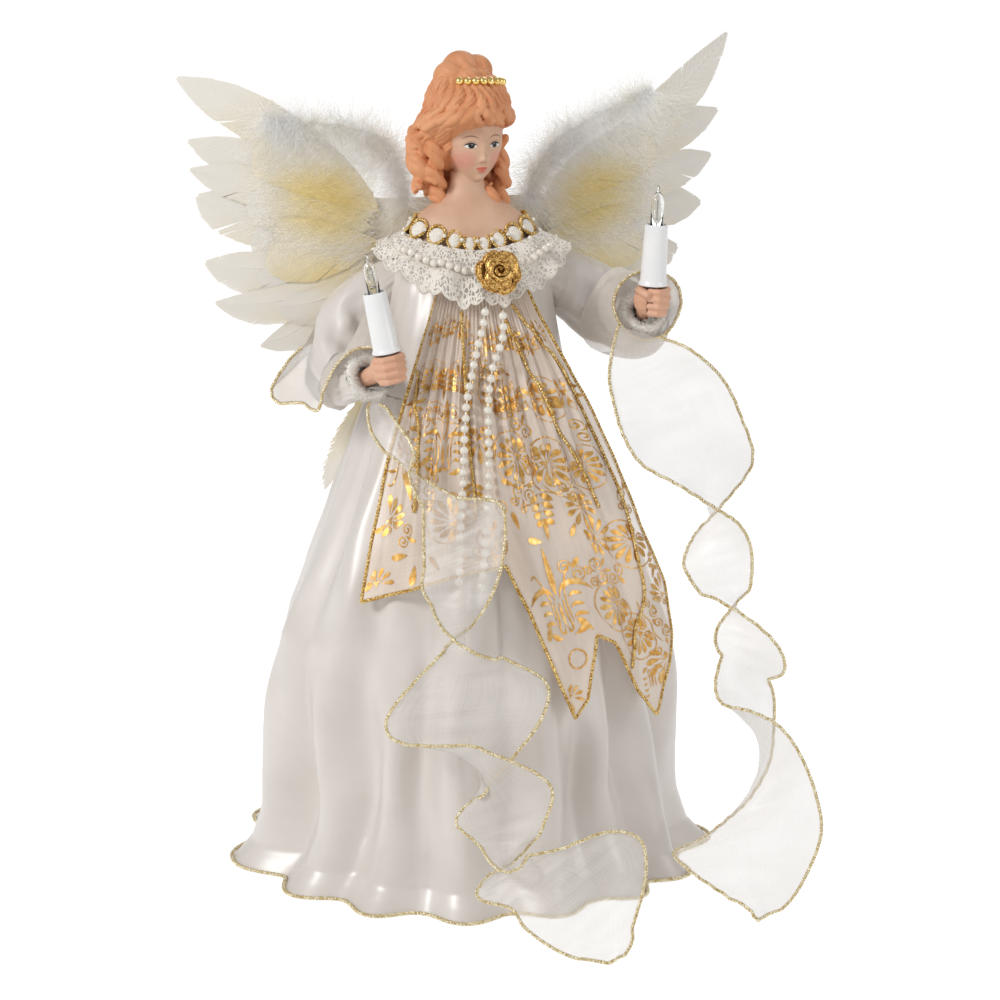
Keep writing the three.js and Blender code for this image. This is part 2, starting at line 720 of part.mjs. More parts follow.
const hairLift = BUN_RISE * 0.2826;
const hairBack = HAIR_RADIUS / 4;
const crownHalfHeight = BUN_RISE * 0.7609;
function headAndBust() {
  const crown = strandedBall([HAIR_RADIUS, HAIR_RADIUS * 0.92, crownHalfHeight], 22, 9, 9, 0.5, 0.035)
    .translate(0, hairBack, hairLift);
  const fringe = new THREE.CatmullRomCurve3([
    vector(-HAIR_RADIUS * 0.86, -HAIR_RADIUS * 0.12, -HAIR_RADIUS * 0.05),
    vector(-HAIR_RADIUS * 0.55, -HAIR_RADIUS * 0.5, HAIR_RADIUS * 0.28),
    vector(0, -HAIR_RADIUS * 0.66, HAIR_RADIUS * 0.4),
    vector(HAIR_RADIUS * 0.55, -HAIR_RADIUS * 0.5, HAIR_RADIUS * 0.28),
    vector(HAIR_RADIUS * 0.86, -HAIR_RADIUS * 0.12, -HAIR_RADIUS * 0.05),
  ]);
  const roll = tube(fringe, 18, 8, (share, i) =>
    HAIR_RADIUS * (0.2 + (i % 2) * 0.035) * Math.sqrt(Math.sin(Math.PI * (0.08 + 0.84 * share))));
  const knotParts = [
    [-0.4, 0.1, -0.1, 0.72],
    [0.35, -0.1, 0.08, 0.68],
    [-0.02, 0.05, 0.3, 0.66],
  ].map(([x, y, z, size]) => strandedBall(
    [BUN_RADIUS * size, BUN_RADIUS * size, BUN_RADIUS * size], 10, 6, 3, 0.8, 0.05)
    .translate(x * BUN_RADIUS, y * BUN_RADIUS + hairBack / 2,
      BUN_RISE + z * BUN_RADIUS));
  const locks = lockShares.map(hairLock);
  const head = joined(faceSolid(), crown, roll, ...knotParts, ...locks);
  const socket = new THREE.CylinderGeometry(DOWEL_RADIUS + CLEARANCE, DOWEL_RADIUS + CLEARANCE,
    BUST_SOCKET_DEPTH, DOWEL_SIDES)
    .rotateX(Math.PI / 2)
    .translate(0, 0, bustBase + BUST_SOCKET_DEPTH / 2 - CUT_OVERRUN);
  return cutBy(joined(inHead(head), shoulders()), socket);
}

// Tiara: an arc of beads that lie on the front of the top knot
const TIARA_SPREAD_SHARE = 0.16;
const TIARA_DIP_SHARE = 0.3;
function tiara(head) {
  const target = new THREE.Mesh(head, porcelain);
  const ray = new THREE.Raycaster();
  const knot = headPlace(0, 0, BUN_RISE);
  const points = Array.from({ length: 9 }, (_, i) => {
    const turned = (i / 4 - 1) * TIARA_SPREAD_SHARE * TURN;
    const angle = turned + HEAD_TURN_DEGREES * degrees;
    const dip = BUN_RADIUS * TIARA_DIP_SHARE * (1 - Math.cos(turned)) * 2;
    const middle = knot.clone().add(vector(0, 0, -dip));
    const outward = vector(Math.sin(angle), -Math.cos(angle), 0);
    ray.set(middle.clone().addScaledVector(outward, HAIR_RADIUS * 2), outward.clone().negate());
    const hit = ray.intersectObject(target)[0].point;
    return hit.addScaledVector(outward, TIARA_BEAD_RADIUS + 5 * CLEARANCE);
  });
  const curve = new THREE.CatmullRomCurve3(points);
  return beadString(curve, TIARA_BEAD_RADIUS, curve.getLength() / TIARA_BEADS);
}

// Collar: one gathered frill of lace from the neckline out over the shoulders
const COLLAR_SIDES = 52;
const COLLAR_ROWS = 3;

function collarPoint(angle, share) {
  const frontness = Math.pow(Math.max(0, Math.cos(angle)), 1.5);
  const innerWidth = neckline.width + COLLAR_SIDE_GAP;
  const innerDepth = neckline.depth + COLLAR_FRONT_GAP;
  const inner = ellipseRadius(innerWidth, innerDepth, angle);
  const outerDepth = innerDepth + (Math.cos(angle) > 0 ? COLLAR_FRONT_WIDTH : COLLAR_BACK_WIDTH);
  const outer = ellipseRadius(innerWidth + COLLAR_SIDE_WIDTH, outerDepth, angle);
  const ruffle = COLLAR_RUFFLE_DEPTH * share * Math.cos(angle * COLLAR_RUFFLES);
  const reach = inner + (outer - inner) * share + ruffle * 0.5;
  const drop = COLLAR_DROP_SIDE + (COLLAR_DROP_FRONT - COLLAR_DROP_SIDE) * frontness;
  const height = DRESS_HEIGHT - COLLAR_SINK - COLLAR_FRONT_DIP * frontness
    - drop * Math.pow(share, 1.25) + ruffle;
  return around(angle, reach, height);
}

function laceCollar() {
  const grid = [];
  for (let i = 0; i <= COLLAR_ROWS; i++) {
    grid.push(Array.from({ length: COLLAR_SIDES }, (_, j) =>
      collarPoint(TURN * j / COLLAR_SIDES, i / COLLAR_ROWS)));
  }
  return sheet(grid, COLLAR_WALL, true);
}

// Braid: a looped cord that lies on the collar's inner edge, round the shoulders
function necklineBraid() {
  const steps = BRAID_LOOPS * 4;
  const rings = [];
  const place = (turn) => {
    const angle = turn * TURN;
    const base = collarPoint(angle, 0);
    const loop = BRAID_LOOP_DEPTH * Math.cos(turn * BRAID_LOOPS * TURN);
    const lift = BRAID_TUBE_RADIUS + COLLAR_WALL / 2 + CLEARANCE + BRAID_LOOP_DEPTH * 0.3;
    return around(angle, Math.hypot(base.x, base.y) + loop * 0.5 - BRAID_LOOP_DEPTH * 0.5,
      base.z + lift - loop * 0.25);
  };
  for (let i = 0; i < steps; i++) {
    const centre = place(i / steps);
    const ahead = place((i + 0.5) / steps).sub(place((i - 0.5) / steps)).normalize();
    const first = UP.clone().cross(ahead).normalize();
    const second = ahead.clone().cross(first).normalize();
    rings.push(Array.from({ length: 5 }, (_, j) => centre.clone()
      .addScaledVector(first, Math.cos(TURN * j / 5) * BRAID_TUBE_RADIUS)
      .addScaledVector(second, Math.sin(TURN * j / 5) * BRAID_TUBE_RADIUS)));
  }
  return loft(rings, true);
}

// Pearls: a swag over the collar and two strands that hang from behind the rose
const NECKLACE_POINTS = 15;
function necklace() {
  const points = Array.from({ length: NECKLACE_POINTS }, (_, i) => {
    const turn = -0.19 + 0.38 * i / (NECKLACE_POINTS - 1);
    const base = collarPoint(turn * TURN, 0.5);
    const lift = NECKLACE_PEARL_RADIUS + COLLAR_RUFFLE_DEPTH * 0.5 + COLLAR_WALL / 2 + CLEARANCE;
    const reach = Math.hypot(base.x, base.y) + lift * 0.7;
    return around(turn * TURN, reach, base.z + lift * 0.7);
  });
  return beadString(new THREE.CatmullRomCurve3(points), NECKLACE_PEARL_RADIUS, NECKLACE_PITCH);
}

const strandShares = {
  right: [
    [-0.004, 0.91, 0.04],
    [-0.012, 0.868, 0.02],
    [-0.022, 0.82, 0],
    [-0.031, 0.77, 0],
    [-0.034, 0.7, 0],
    [-0.035, 0.63, 0],
    [-0.036, 0.56, 0],
    [-0.036, 0.475, 0],
  ],
  left: [
    [0.018, 0.905, 0.045],
    [0.016, 0.86, 0.025],
    [0.006, 0.82, 0],
    [-0.004, 0.77, 0],
    [-0.007, 0.7, 0],
    [-0.01, 0.63, 0],
    [-0.014, 0.56, 0],
    [-0.018, 0.5, 0],
  ],
};

// Outer face of the tunic's folds, which the strands rest on
const tunicCrest = (angle, height) =>
  dressRadius(angle, height) + TUNIC_OFFSET + TUNIC_FOLD_DEPTH + CLOTH_WALL / 2;

function strandCurve(rows) {
  return new THREE.CatmullRomCurve3(rows.map(([turn, rise, out]) => {
    const angle = turn * TURN;
    const height = rise * DRESS_HEIGHT;
    const reach = tunicCrest(angle, height) + PEARL_RADIUS + CLEARANCE + out * DRESS_HEIGHT;
    return around(angle, reach, height);
  }));
}

// Rose: one ribbon wound outwards, its free edge flaring more with each turn
const ROSE_TURN_SHARE = 0.0247;  // round the collar from the front
const ROSE_STANDOFF = 7.9;       // in front of the collar's middle line
const ROSE_LIFT = 1.3;           // above it
const ROSE_TILT_DEGREES = 50;            // degrees from upright towards the front
function ribbonRose() {
  const placeAngle = ROSE_TURN_SHARE * TURN;
  const base = collarPoint(placeAngle, 0.5);
  const place = around(placeAngle, Math.hypot(base.x, base.y) + ROSE_STANDOFF, base.z + ROSE_LIFT);
  const steps = 30;
  const rings = [];
  for (let i = 0; i <= steps; i++) {
    const share = i / steps;
    const angle = share * ROSE_TURNS * TURN;
    const foot = ROSE_RADIUS * (0.16 + 0.42 * share);
    const lip = ROSE_RADIUS * (0.14 + 0.86 * Math.pow(share, 0.9));
    const petal = 1 + 0.06 * Math.sin(angle * 2.5);
    const low = 0;
    const high = ROSE_DEPTH * (1 - 0.45 * Math.pow(share, 1.6)) * petal;
    const turned = (reach, height) => vector(
      Math.cos(angle) * reach, Math.sin(angle) * reach, height);
    rings.push([
      turned(foot, low), turned(lip * petal, high),
      turned(lip * petal + ROSE_RIBBON, high - ROSE_RIBBON / 2), turned(foot + ROSE_RIBBON * 0.8, low),
    ]);
  }
  const backing = new THREE.CylinderGeometry(ROSE_RADIUS * 0.66, ROSE_RADIUS * 0.6, ROSE_RIBBON * 2, 14)
    .rotateX(Math.PI / 2);
  const heart = new THREE.CylinderGeometry(ROSE_RADIUS * 0.17, ROSE_RADIUS * 0.2, ROSE_DEPTH, 8)
    .rotateX(Math.PI / 2)
    .translate(0, 0, ROSE_DEPTH / 2);
  return joined(loft(rings), backing, heart)
    .rotateX(ROSE_TILT_DEGREES * degrees)
    .translate(place.x, place.y, place.z);
}

// Middle of each fist, then the sleeve's middle line from the shoulder with its radius last.
// Sideways places, forward places and radii are shares of the hem's radius, heights of the dress.
const fistShares = {
  right: [-0.3925, -0.4252, 0.8196],
  left: [0.6589, -0.4299, 0.9096],
};
const sleeveShares = {
  right: [
    [-0.271, 0.0467, 0.9357, 0.0841],
    [-0.3925, 0.0654, 0.9, 0.1168],
    [-0.5047, 0.0467, 0.8571, 0.1215],
    [-0.5607, -0.0467, 0.8107, 0.1121],
    [-0.5421, -0.1589, 0.7875, 0.1028],
  ],
  left: [
    [0.271, 0.0467, 0.9357, 0.0841],
    [0.4112, 0.0561, 0.9143, 0.1215],
    [0.5421, 0.0093, 0.8875, 0.1355],
    [0.6262, -0.0841, 0.8679, 0.1262],
    [0.6589, -0.1776, 0.8607, 0.1075],
  ],
};
const onDress = ([x, y, z]) => vector(x * HEM_RADIUS, y * HEM_RADIUS, z * DRESS_HEIGHT);

// Arms: which way each candle stands, how the fist is turned about it, in degrees, and which
// way the wrist leaves the hand as it is modelled
const arms = {
  right: {
    sign: -1,
    candle: vector(-0.19, 0.03, 0.98).normalize(),
    turn: 0,
    wrist: vector(-0.5, 0.8, -0.33).normalize(),
  },
  left: {
    sign: 1,
    candle: vector(0.045, -0.01, 1).normalize(),
    turn: 72,
    wrist: vector(-0.78, 0.12, -0.52).normalize(),
  },
};

// Each hand is modelled for the right side with the candle upright through the fist
const palmMiddle = vector(-0.607, 0.4286, -0.0714).multiplyScalar(FINGER_REACH);

for (const [side, arm] of Object.entries(arms)) {
  arm.fist = onDress(fistShares[side]);
  arm.route = sleeveShares[side].map((row) => [onDress(row), row[3] * HEM_RADIUS]);
  const lean = new THREE.Quaternion().setFromUnitVectors(UP, arm.candle);
  arm.pose = new THREE.Matrix4().makeRotationFromQuaternion(lean)
    .multiply(new THREE.Matrix4().makeRotationZ(arm.turn * degrees))
    .setPosition(arm.fist);
  arm.mirror = (p) => vector(-arm.sign * p.x, p.y, p.z);
  arm.toWorld = (p) => arm.mirror(p).applyMatrix4(arm.pose);
  arm.wristEnd = arm.toWorld(palmMiddle.clone().addScaledVector(arm.wrist, WRIST_LENGTH));
  arm.palm = arm.toWorld(palmMiddle);
  arm.forearm = arm.palm.clone().sub(arm.wristEnd).normalize();
  arm.cuffMiddle = arm.wristEnd.clone().addScaledVector(arm.forearm, CUFF_LENGTH * 0.55);
}

// Cylinder between two points
function rod(from, to, radius, sides = 12, endRadius = radius) {
  const length = from.distanceTo(to);
  const spin = new THREE.Quaternion().setFromUnitVectors(vector(0, 1, 0),
    to.clone().sub(from).normalize());
  return new THREE.CylinderGeometry(endRadius, radius, length, sides)
    .translate(0, length / 2, 0)
    .applyQuaternion(spin)
    .translate(from.x, from.y, from.z);
}

// Fist: a palm, four fingers wrapped round the lead and a thumb over their tips
const FINGER_STEPS = 5;
const FINGER_SIDES = 6;

// One finger round the lead, from the palm over its knuckles, as shares of the finger's reach
const fingerShares = [
  [-0.8, 0.35],
  [-1.02, -0.45],
  [-0.72, -1.02],
  [0.1, -1.12],
  [0.82, -0.85],
  [1, -0.15],
  [0.74, 0.2],
];
const fingerSizeShares = [1, 1.05, 1, 0.86];

function fist(wristWay) {
  const palm = new THREE.SphereGeometry(1, 10, 6)
    .rotateX(Math.PI / 2)
    .scale(FINGER_REACH * 0.9, FINGER_REACH * 1.08, FIST_HEIGHT * 0.52)
    .translate(palmMiddle.x, palmMiddle.y, palmMiddle.z);
  const fingers = fingerSizeShares.map((size, order) => {
    const height = (1.5 - order) * FIST_HEIGHT / 4;
    const curve = new THREE.CatmullRomCurve3(fingerShares.map(([x, y]) =>
      vector(x * FINGER_REACH * size, y * FINGER_REACH * size, height)));
    return tube(curve, FINGER_STEPS, FINGER_SIDES, (share) => FINGER_RADIUS * (1 - 0.16 * share));
  });
  const thumbPoints = [
    palmMiddle.clone().add(vector(FINGER_REACH * 0.18, FINGER_REACH * 0.54, FIST_HEIGHT * 0.28)),
    vector(FINGER_REACH * 0.107, FINGER_REACH * 0.98, FIST_HEIGHT * 0.36),
    vector(FINGER_REACH * 0.75, FINGER_REACH * 0.72, FIST_HEIGHT * 0.34),
    vector(FINGER_REACH * 1.12, FINGER_REACH * 0.12, FIST_HEIGHT * 0.25),
  ];
  const thumb = tube(new THREE.CatmullRomCurve3(thumbPoints), 4, FINGER_SIDES,
    (share) => FINGER_RADIUS * (1.25 - 0.25 * share));
  const wristTip = palmMiddle.clone().addScaledVector(wristWay, WRIST_LENGTH);
  const wrist = rod(palmMiddle, wristTip, WRIST_RADIUS * 1.15, 12, WRIST_RADIUS);
  return joined(palm, ...fingers, thumb, wrist);
}

function hand(arm) {
  const wristWay = arm.wrist;
  const bore = new THREE.CylinderGeometry(LEAD_WIDTH * 0.85, LEAD_WIDTH * 0.85, FIST_HEIGHT * 3, 10)
    .rotateX(Math.PI / 2);
  const wristTip = palmMiddle.clone().addScaledVector(wristWay, WRIST_LENGTH + CUT_OVERRUN);
  const wristInner = palmMiddle.clone().addScaledVector(wristWay, WRIST_LENGTH - WIRE_GRIP);
  const wireHole = rod(wristInner, wristTip, ARM_WIRE_RADIUS + CLEARANCE, 8);
  const seat = new THREE.CylinderGeometry(CANDLE_FOOT_RADIUS * 2, CANDLE_FOOT_RADIUS * 2, CUT_OVERRUN, 16)
    .rotateX(Math.PI / 2)
    .translate(0, 0, CANDLE_SEAT - CLEARANCE + CUT_OVERRUN / 2);
  const shaped = cutBy(fist(wristWay), bore, wireHole, seat);
  const placed = shaped.clone();
  if (arm.sign > 0) {
    placed.scale(-1, 1, 1);
    placed.index.array.reverse();
  }
  return placed.applyMatrix4(arm.pose);
}

// Candle parts stand on the fist: all are turned shapes about the candle's axis
const inArm = (geometry, arm) => geometry.applyMatrix4(arm.pose);

function candleCover() {
  const foot = CANDLE_SEAT;
  const top = foot + CANDLE_LENGTH;
  const inner = (radius) => radius - CANDLE_WALL;
  return lathe([
    [inner(CANDLE_FOOT_RADIUS), foot],
    [CANDLE_FOOT_RADIUS + CANDLE_WALL, foot],
    [CANDLE_FOOT_RADIUS, foot + CANDLE_WALL * 3],
    [CANDLE_TOP_RADIUS, top - CANDLE_WALL],
    [CANDLE_TOP_RADIUS - CANDLE_WALL / 2, top],
    [inner(CANDLE_TOP_RADIUS), top],
    [inner(CANDLE_TOP_RADIUS), foot + CANDLE_LENGTH / 2],
    [inner(CANDLE_FOOT_RADIUS), foot],
  ], CANDLE_SIDES);
}

const socketTop = CANDLE_SEAT + CANDLE_LENGTH - SOCKET_SINK;
const socketFoot = socketTop - SOCKET_LENGTH;
function lampSocket() {
  const bore = SOCKET_RADIUS - SOCKET_WALL;
  return lathe([
    [0, socketFoot],
    [SOCKET_RADIUS, socketFoot],
    [SOCKET_RADIUS, socketTop],
    [bore, socketTop],
    [bore, socketFoot + SOCKET_FLOOR],
    [0, socketFoot + SOCKET_FLOOR],
  ], CANDLE_SIDES);
}

// Lamp base: a plug with a collar, and the two lead-in wires joined by the filament's arch
const baseFoot = socketTop - LAMP_BASE_LENGTH;
const glassFoot = socketTop - LAMP_SINK;
function lampBase() {
  const pinch = LAMP_BASE_RADIUS - LAMP_WALL - CLEARANCE;
  const plug = lathe([
    [0, baseFoot],
    [LAMP_BASE_RADIUS, baseFoot],
    [LAMP_BASE_RADIUS, glassFoot - CLEARANCE],
    [pinch - LAMP_WALL, glassFoot - CLEARANCE],
    [pinch - LAMP_WALL, glassFoot + LAMP_RADIUS],
    [0, glassFoot + LAMP_RADIUS],
  ], LAMP_SIDES);
  const arch = new THREE.CatmullRomCurve3([
    vector(-LAMP_RADIUS * 0.37, 0, glassFoot + LAMP_RADIUS / 2),
    vector(-LAMP_RADIUS * 0.37, 0, glassFoot + LAMP_LENGTH * 0.5),
    vector(-LAMP_RADIUS * 0.26, 0, glassFoot + LAMP_LENGTH * 0.68),
    vector(LAMP_RADIUS * 0.26, 0, glassFoot + LAMP_LENGTH * 0.68),
    vector(LAMP_RADIUS * 0.37, 0, glassFoot + LAMP_LENGTH * 0.5),
    vector(LAMP_RADIUS * 0.37, 0, glassFoot + LAMP_RADIUS / 2),
  ]);
  const filament = tube(arch, 12, 5, () => STEM_RADIUS, { side: vector(0, 1, 0) });
  return joined(plug, filament);
}

function lampGlass() {
  const top = glassFoot + LAMP_LENGTH;
  const shoulder = top - LAMP_PIP_LENGTH * 1.6;
  const inner = LAMP_RADIUS - LAMP_WALL;
  return lathe([
    [inner, glassFoot],
    [LAMP_RADIUS, glassFoot],
    [LAMP_RADIUS, shoulder - LAMP_RADIUS],
    [LAMP_RADIUS * 0.82, shoulder],
    [LAMP_RADIUS * 0.3, top - LAMP_PIP_LENGTH],
    [LAMP_RADIUS * 0.2, top],
    [0, top],
    [0, top - LAMP_PIP_LENGTH],
    [LAMP_RADIUS * 0.16, top - LAMP_PIP_LENGTH - LAMP_WALL],
    [inner * 0.76, shoulder - LAMP_WALL],
    [inner, shoulder - LAMP_RADIUS],
    [inner, glassFoot],
  ], LAMP_SIDES);
}

// Sleeve: a soft tube of satin from the shoulder to the cuff, hanging fuller below the arm
const SLEEVE_SIDES = 12;
const SLEEVE_STEPS = 9;
const SLEEVE_DROOP_SHARE = 0.35;
const SLEEVE_GATHER_SHARE = 0.05;
const SLEEVE_MOUTH_RADIUS = 8.4;

function sleeveRoute(arm) {
  const mouth = arm.wristEnd.clone().addScaledVector(arm.forearm, -CLEARANCE / 2);
  const stations = [...arm.route, [mouth, SLEEVE_MOUTH_RADIUS]];
  return {
    curve: new THREE.CatmullRomCurve3(stations.map(([point]) => point)),
    radii: stations.map(([, radius]) => [radius]),
  };
}

function sleeve(arm, grow = 0, solid = false) {
  const { curve, radii } = sleeveRoute(arm);
  const ringsFor = (shrink) => Array.from({ length: SLEEVE_STEPS + 1 }, (_, i) => {
    const share = i / SLEEVE_STEPS;
    const centre = curve.getPoint(share);
    const ahead = i === SLEEVE_STEPS ? arm.forearm : curve.getTangent(share);
    const first = UP.clone().cross(ahead).normalize();
    const second = ahead.clone().cross(first).normalize();
    const radius = rowsAlong(radii, share)[0] - shrink;
    const droop = SLEEVE_DROOP_SHARE * Math.sin(Math.PI * share);
    return Array.from({ length: SLEEVE_SIDES }, (_, j) => {
      const angle = TURN * j / SLEEVE_SIDES;
      const gather = 1 + SLEEVE_GATHER_SHARE * Math.cos(angle * 5 + share * 4);
      const lower = 1 + droop * Math.max(0, -Math.sin(angle));
      return centre.clone()
        .addScaledVector(first, Math.cos(angle) * radius * gather)
        .addScaledVector(second, Math.sin(angle) * radius * gather * lower);
    });
  });
  if (solid) return loft(ringsFor(-grow));
  return sheet(ringsFor(SLEEVE_WALL / 2), SLEEVE_WALL, true);
}

// Cuff: a roll of fur round the wrist at the sleeve's mouth
function furCuff(arm) {
  const steps = 16;
  const thick = CUFF_LENGTH / 2;
  const side = UP.clone().cross(arm.forearm).normalize();
  const top = arm.forearm.clone().cross(side).normalize();
  const rings = Array.from({ length: steps }, (_, i) => {
    const angle = TURN * i / steps;
    const out = side.clone().multiplyScalar(Math.cos(angle)).addScaledVector(top, Math.sin(angle));
    const fluff = 1 + 0.08 * Math.cos(angle * 5);
    const roll = (CUFF_OUTER_RADIUS - CUFF_INNER_RADIUS + CUFF_LENGTH * 0.2) * fluff;
    return Array.from({ length: 7 }, (_, j) => {
      const spin = TURN * j / 7;
      const reach = CUFF_INNER_RADIUS + roll * (0.5 + 0.5 * Math.cos(spin));
      return arm.cuffMiddle.clone()
        .addScaledVector(out, reach)
        .addScaledVector(arm.forearm, Math.sin(spin) * thick);
    });
  });
  return loft(rings, true);
}

// Arm wire: from the dowel, out through the sleeve, into the wrist
function armWireCurve(arm) {
  const start = arm.wristEnd.clone().addScaledVector(arm.forearm, WIRE_GRIP - 2 * CLEARANCE);
  const points = [
    start,
    arm.wristEnd.clone(),
    arm.wristEnd.clone().addScaledVector(arm.forearm, -CUFF_LENGTH),
    ...arm.route.slice().reverse().slice(1).map(([point]) => point.clone()),
    vector(arm.sign * (DOWEL_RADIUS + ARM_WIRE_RADIUS * 8), ARM_WIRE_RADIUS * 2, armWireHeight),
    vector(arm.sign * (DOWEL_RADIUS + ARM_WIRE_RADIUS * 0.5), 0, armWireHeight),
  ];
  return new THREE.CatmullRomCurve3(points);
}

// Twin lead: from under the socket, through the fist and the sleeve, down the cone's back
function leadCurve(arm) {
  const down = vector(0, 0, -LEAD_OFFSET);
  const besideCone = (height) =>
    vector(arm.sign * LEAD_WIDTH * 1.2, coneRadius(height) + LEAD_WIDTH, height);
  const below = arm.toWorld(vector(0, 0, -FIST_HEIGHT * 0.62));
  const points = [
    arm.toWorld(vector(0, 0, socketFoot - 2 * CLEARANCE)),
    arm.toWorld(vector(0, 0, CANDLE_SEAT)),
    arm.toWorld(vector(0, 0, -FIST_HEIGHT * 0.45)),
    below.clone().addScaledVector(arm.forearm, -FINGER_RADIUS * 1.14),
    arm.wristEnd.clone().addScaledVector(arm.forearm, CUFF_LENGTH * 0.9).addScaledVector(down, 1.4),
    arm.wristEnd.clone().addScaledVector(arm.forearm, -CUFF_LENGTH * 0.4).addScaledVector(down, 1.3),
    ...arm.route.slice().reverse().slice(1).map(([point]) => point.clone().add(down)),
    onDress([arm.sign * 0.187, 0.0935, 0.893]),
    vector(arm.sign * LEAD_WIDTH * 3.75, CONE_TOP_RADIUS + LEAD_WIDTH * 2.25, coneHeight + LEAD_WIDTH * 2),
    besideCone(coneHeight * 0.945),
    besideCone(coneHeight * 0.63),
    besideCone(coneHeight * 0.336),
    besideCone(JUNCTION_HEIGHT + JUNCTION_LENGTH / 2 + LEAD_WIDTH * 5),
    vector(arm.sign * JUNCTION_RADIUS * 0.42, coneRadius(JUNCTION_HEIGHT + JUNCTION_LENGTH / 2)
      + JUNCTION_RADIUS + 2 * CLEARANCE, JUNCTION_HEIGHT + JUNCTION_LENGTH / 2 + CLEARANCE),
  ];
  return new THREE.CatmullRomCurve3(points);
}

function leadTube(side, grow = 0) {
  const half = LEAD_THICKNESS / 2 + grow;
  const widthShare = (LEAD_WIDTH / 2 + grow) / half;
  return tube(leadCurves[side], 36, 4, () => half, { widthShare, side: arms[side].forearm });
}
const wireTube = (curve, grow = 0) => tube(curve, 18, 6, () => ARM_WIRE_RADIUS + grow);

function junction() {
  const reach = (height) => coneRadius(height) + JUNCTION_RADIUS + CLEARANCE * 1.76;
  const foot = JUNCTION_HEIGHT - JUNCTION_LENGTH / 2;
  const top = JUNCTION_HEIGHT + JUNCTION_LENGTH / 2;
  const from = vector(0, reach(foot), foot);
  const to = vector(0, reach(top), top);
  return rod(from, to, JUNCTION_RADIUS, 12);
}

const wingRootX = neckline.width + WING_SIDE_GAP;
const wingRootZ = DRESS_HEIGHT - WING_DROP;
const cardFoot = DRESS_HEIGHT - CARD_DROP;
const wingRootY = dressRadius(Math.PI, cardFoot) + WING_STANDOFF - FEATHER_THICKNESS / 2 - CLEARANCE;

// Wings: each feather has its root and tip in the wing's plane, its half width, its sideways
// bow and its layer, counted from the back. Places are shares of the span.
const featherShares = {
  right: [
    [0.06, 0.26, 0.95, 0.805, 0.125, 0.05, 0],
    [0.07, 0.22, 0.905, 0.53, 0.115, 0.03, 1],
    [0.08, 0.18, 0.9, 0.405, 0.105, 0.02, 2],
    [0.08, 0.13, 0.87, 0.285, 0.14, -0.03, 0],
    [0.08, 0.08, 0.84, -0.01, 0.12, -0.06, 1],
    [0.08, 0.04, 0.8, -0.19, 0.1, -0.08, 2],
    [0.1, 0, 0.6, -0.385, 0.085, -0.05, 0],
    [0.05, 0.22, 0.6, 0.5, 0.15, 0.04, 3],
    [0.05, 0.1, 0.52, 0.1, 0.17, -0.02, 4],
  ],
  left: [
    [0.06, 0.26, 1.01, 0.965, 0.12, -0.06, 0],
    [0.07, 0.22, 0.965, 0.62, 0.13, 0.05, 1],
    [0.08, 0.16, 0.93, 0.42, 0.12, 0.02, 2],
    [0.08, 0.11, 0.885, 0.2, 0.13, 0.05, 0],
    [0.08, 0.06, 0.76, 0.01, 0.12, -0.03, 1],
    [0.08, 0.02, 0.62, -0.14, 0.1, -0.05, 2],
    [0.1, -0.02, 0.45, -0.27, 0.085, -0.05, 0],
    [0.05, 0.22, 0.62, 0.5, 0.15, 0.04, 3],
    [0.05, 0.1, 0.52, 0.12, 0.17, -0.02, 4],
  ],
};
const featherNames = ['primary_1', 'primary_2', 'primary_3', 'primary_4', 'primary_5',
  'secondary_1', 'secondary_2', 'covert_1', 'covert_2'];
const featherWidthShares = [
  [0, 0.2],
  [0.12, 0.55],
  [0.3, 0.9],
  [0.55, 1],
  [0.78, 0.86],
  [0.92, 0.5],
  [1, 0.08],
];

function featherBlade([rootX, rootZ, tipX, tipZ, halfWidth, bow, layer]) {
  const root = vector(rootX, 0, rootZ).multiplyScalar(WING_SPAN);
  const tip = vector(tipX, 0, tipZ).multiplyScalar(WING_SPAN);
  const along = tip.clone().sub(root);
  const across = vector(-along.z, 0, along.x).normalize();
  const rings = Array.from({ length: FEATHER_STEPS + 1 }, (_, i) => {
    const share = i / FEATHER_STEPS;
    const centre = root.clone().addScaledVector(along, share)
      .addScaledVector(across, bow * WING_SPAN * 4 * share * (1 - share));
    const [, width] = rowAtKey(featherWidthShares, share);
    const reach = width * halfWidth * WING_SPAN;
    const bend = (p) => p.setY(p.y + WING_CAMBER * Math.pow(p.x / WING_SPAN, 2) - layer * FEATHER_PITCH);
    const rib = FEATHER_THICKNESS / 2;
    return [
      bend(centre.clone().addScaledVector(across, reach)),
      bend(centre.clone().addScaledVector(across, reach * 0.1).setY(rib)),
      bend(centre.clone().addScaledVector(across, -reach)),
      bend(centre.clone().addScaledVector(across, reach * 0.1).setY(-rib)),
    ];
  });
  return loft(rings);
}

// Marabou: a fluffy rope laid along the wing's top edge, in front of the feathers
const marabouShares = {
  right: [[-0.07, 0.26], [-0.04, 0.42], [0.04, 0.55], [0.2, 0.6], [0.4, 0.622], [0.56, 0.64]],
  left: [[-0.02, 0.26], [0.03, 0.4], [0.14, 0.53], [0.3, 0.61], [0.46, 0.68], [0.6, 0.735]],
};
const MARABOU_STEPS = 14;
const MARABOU_SIDES = 6;

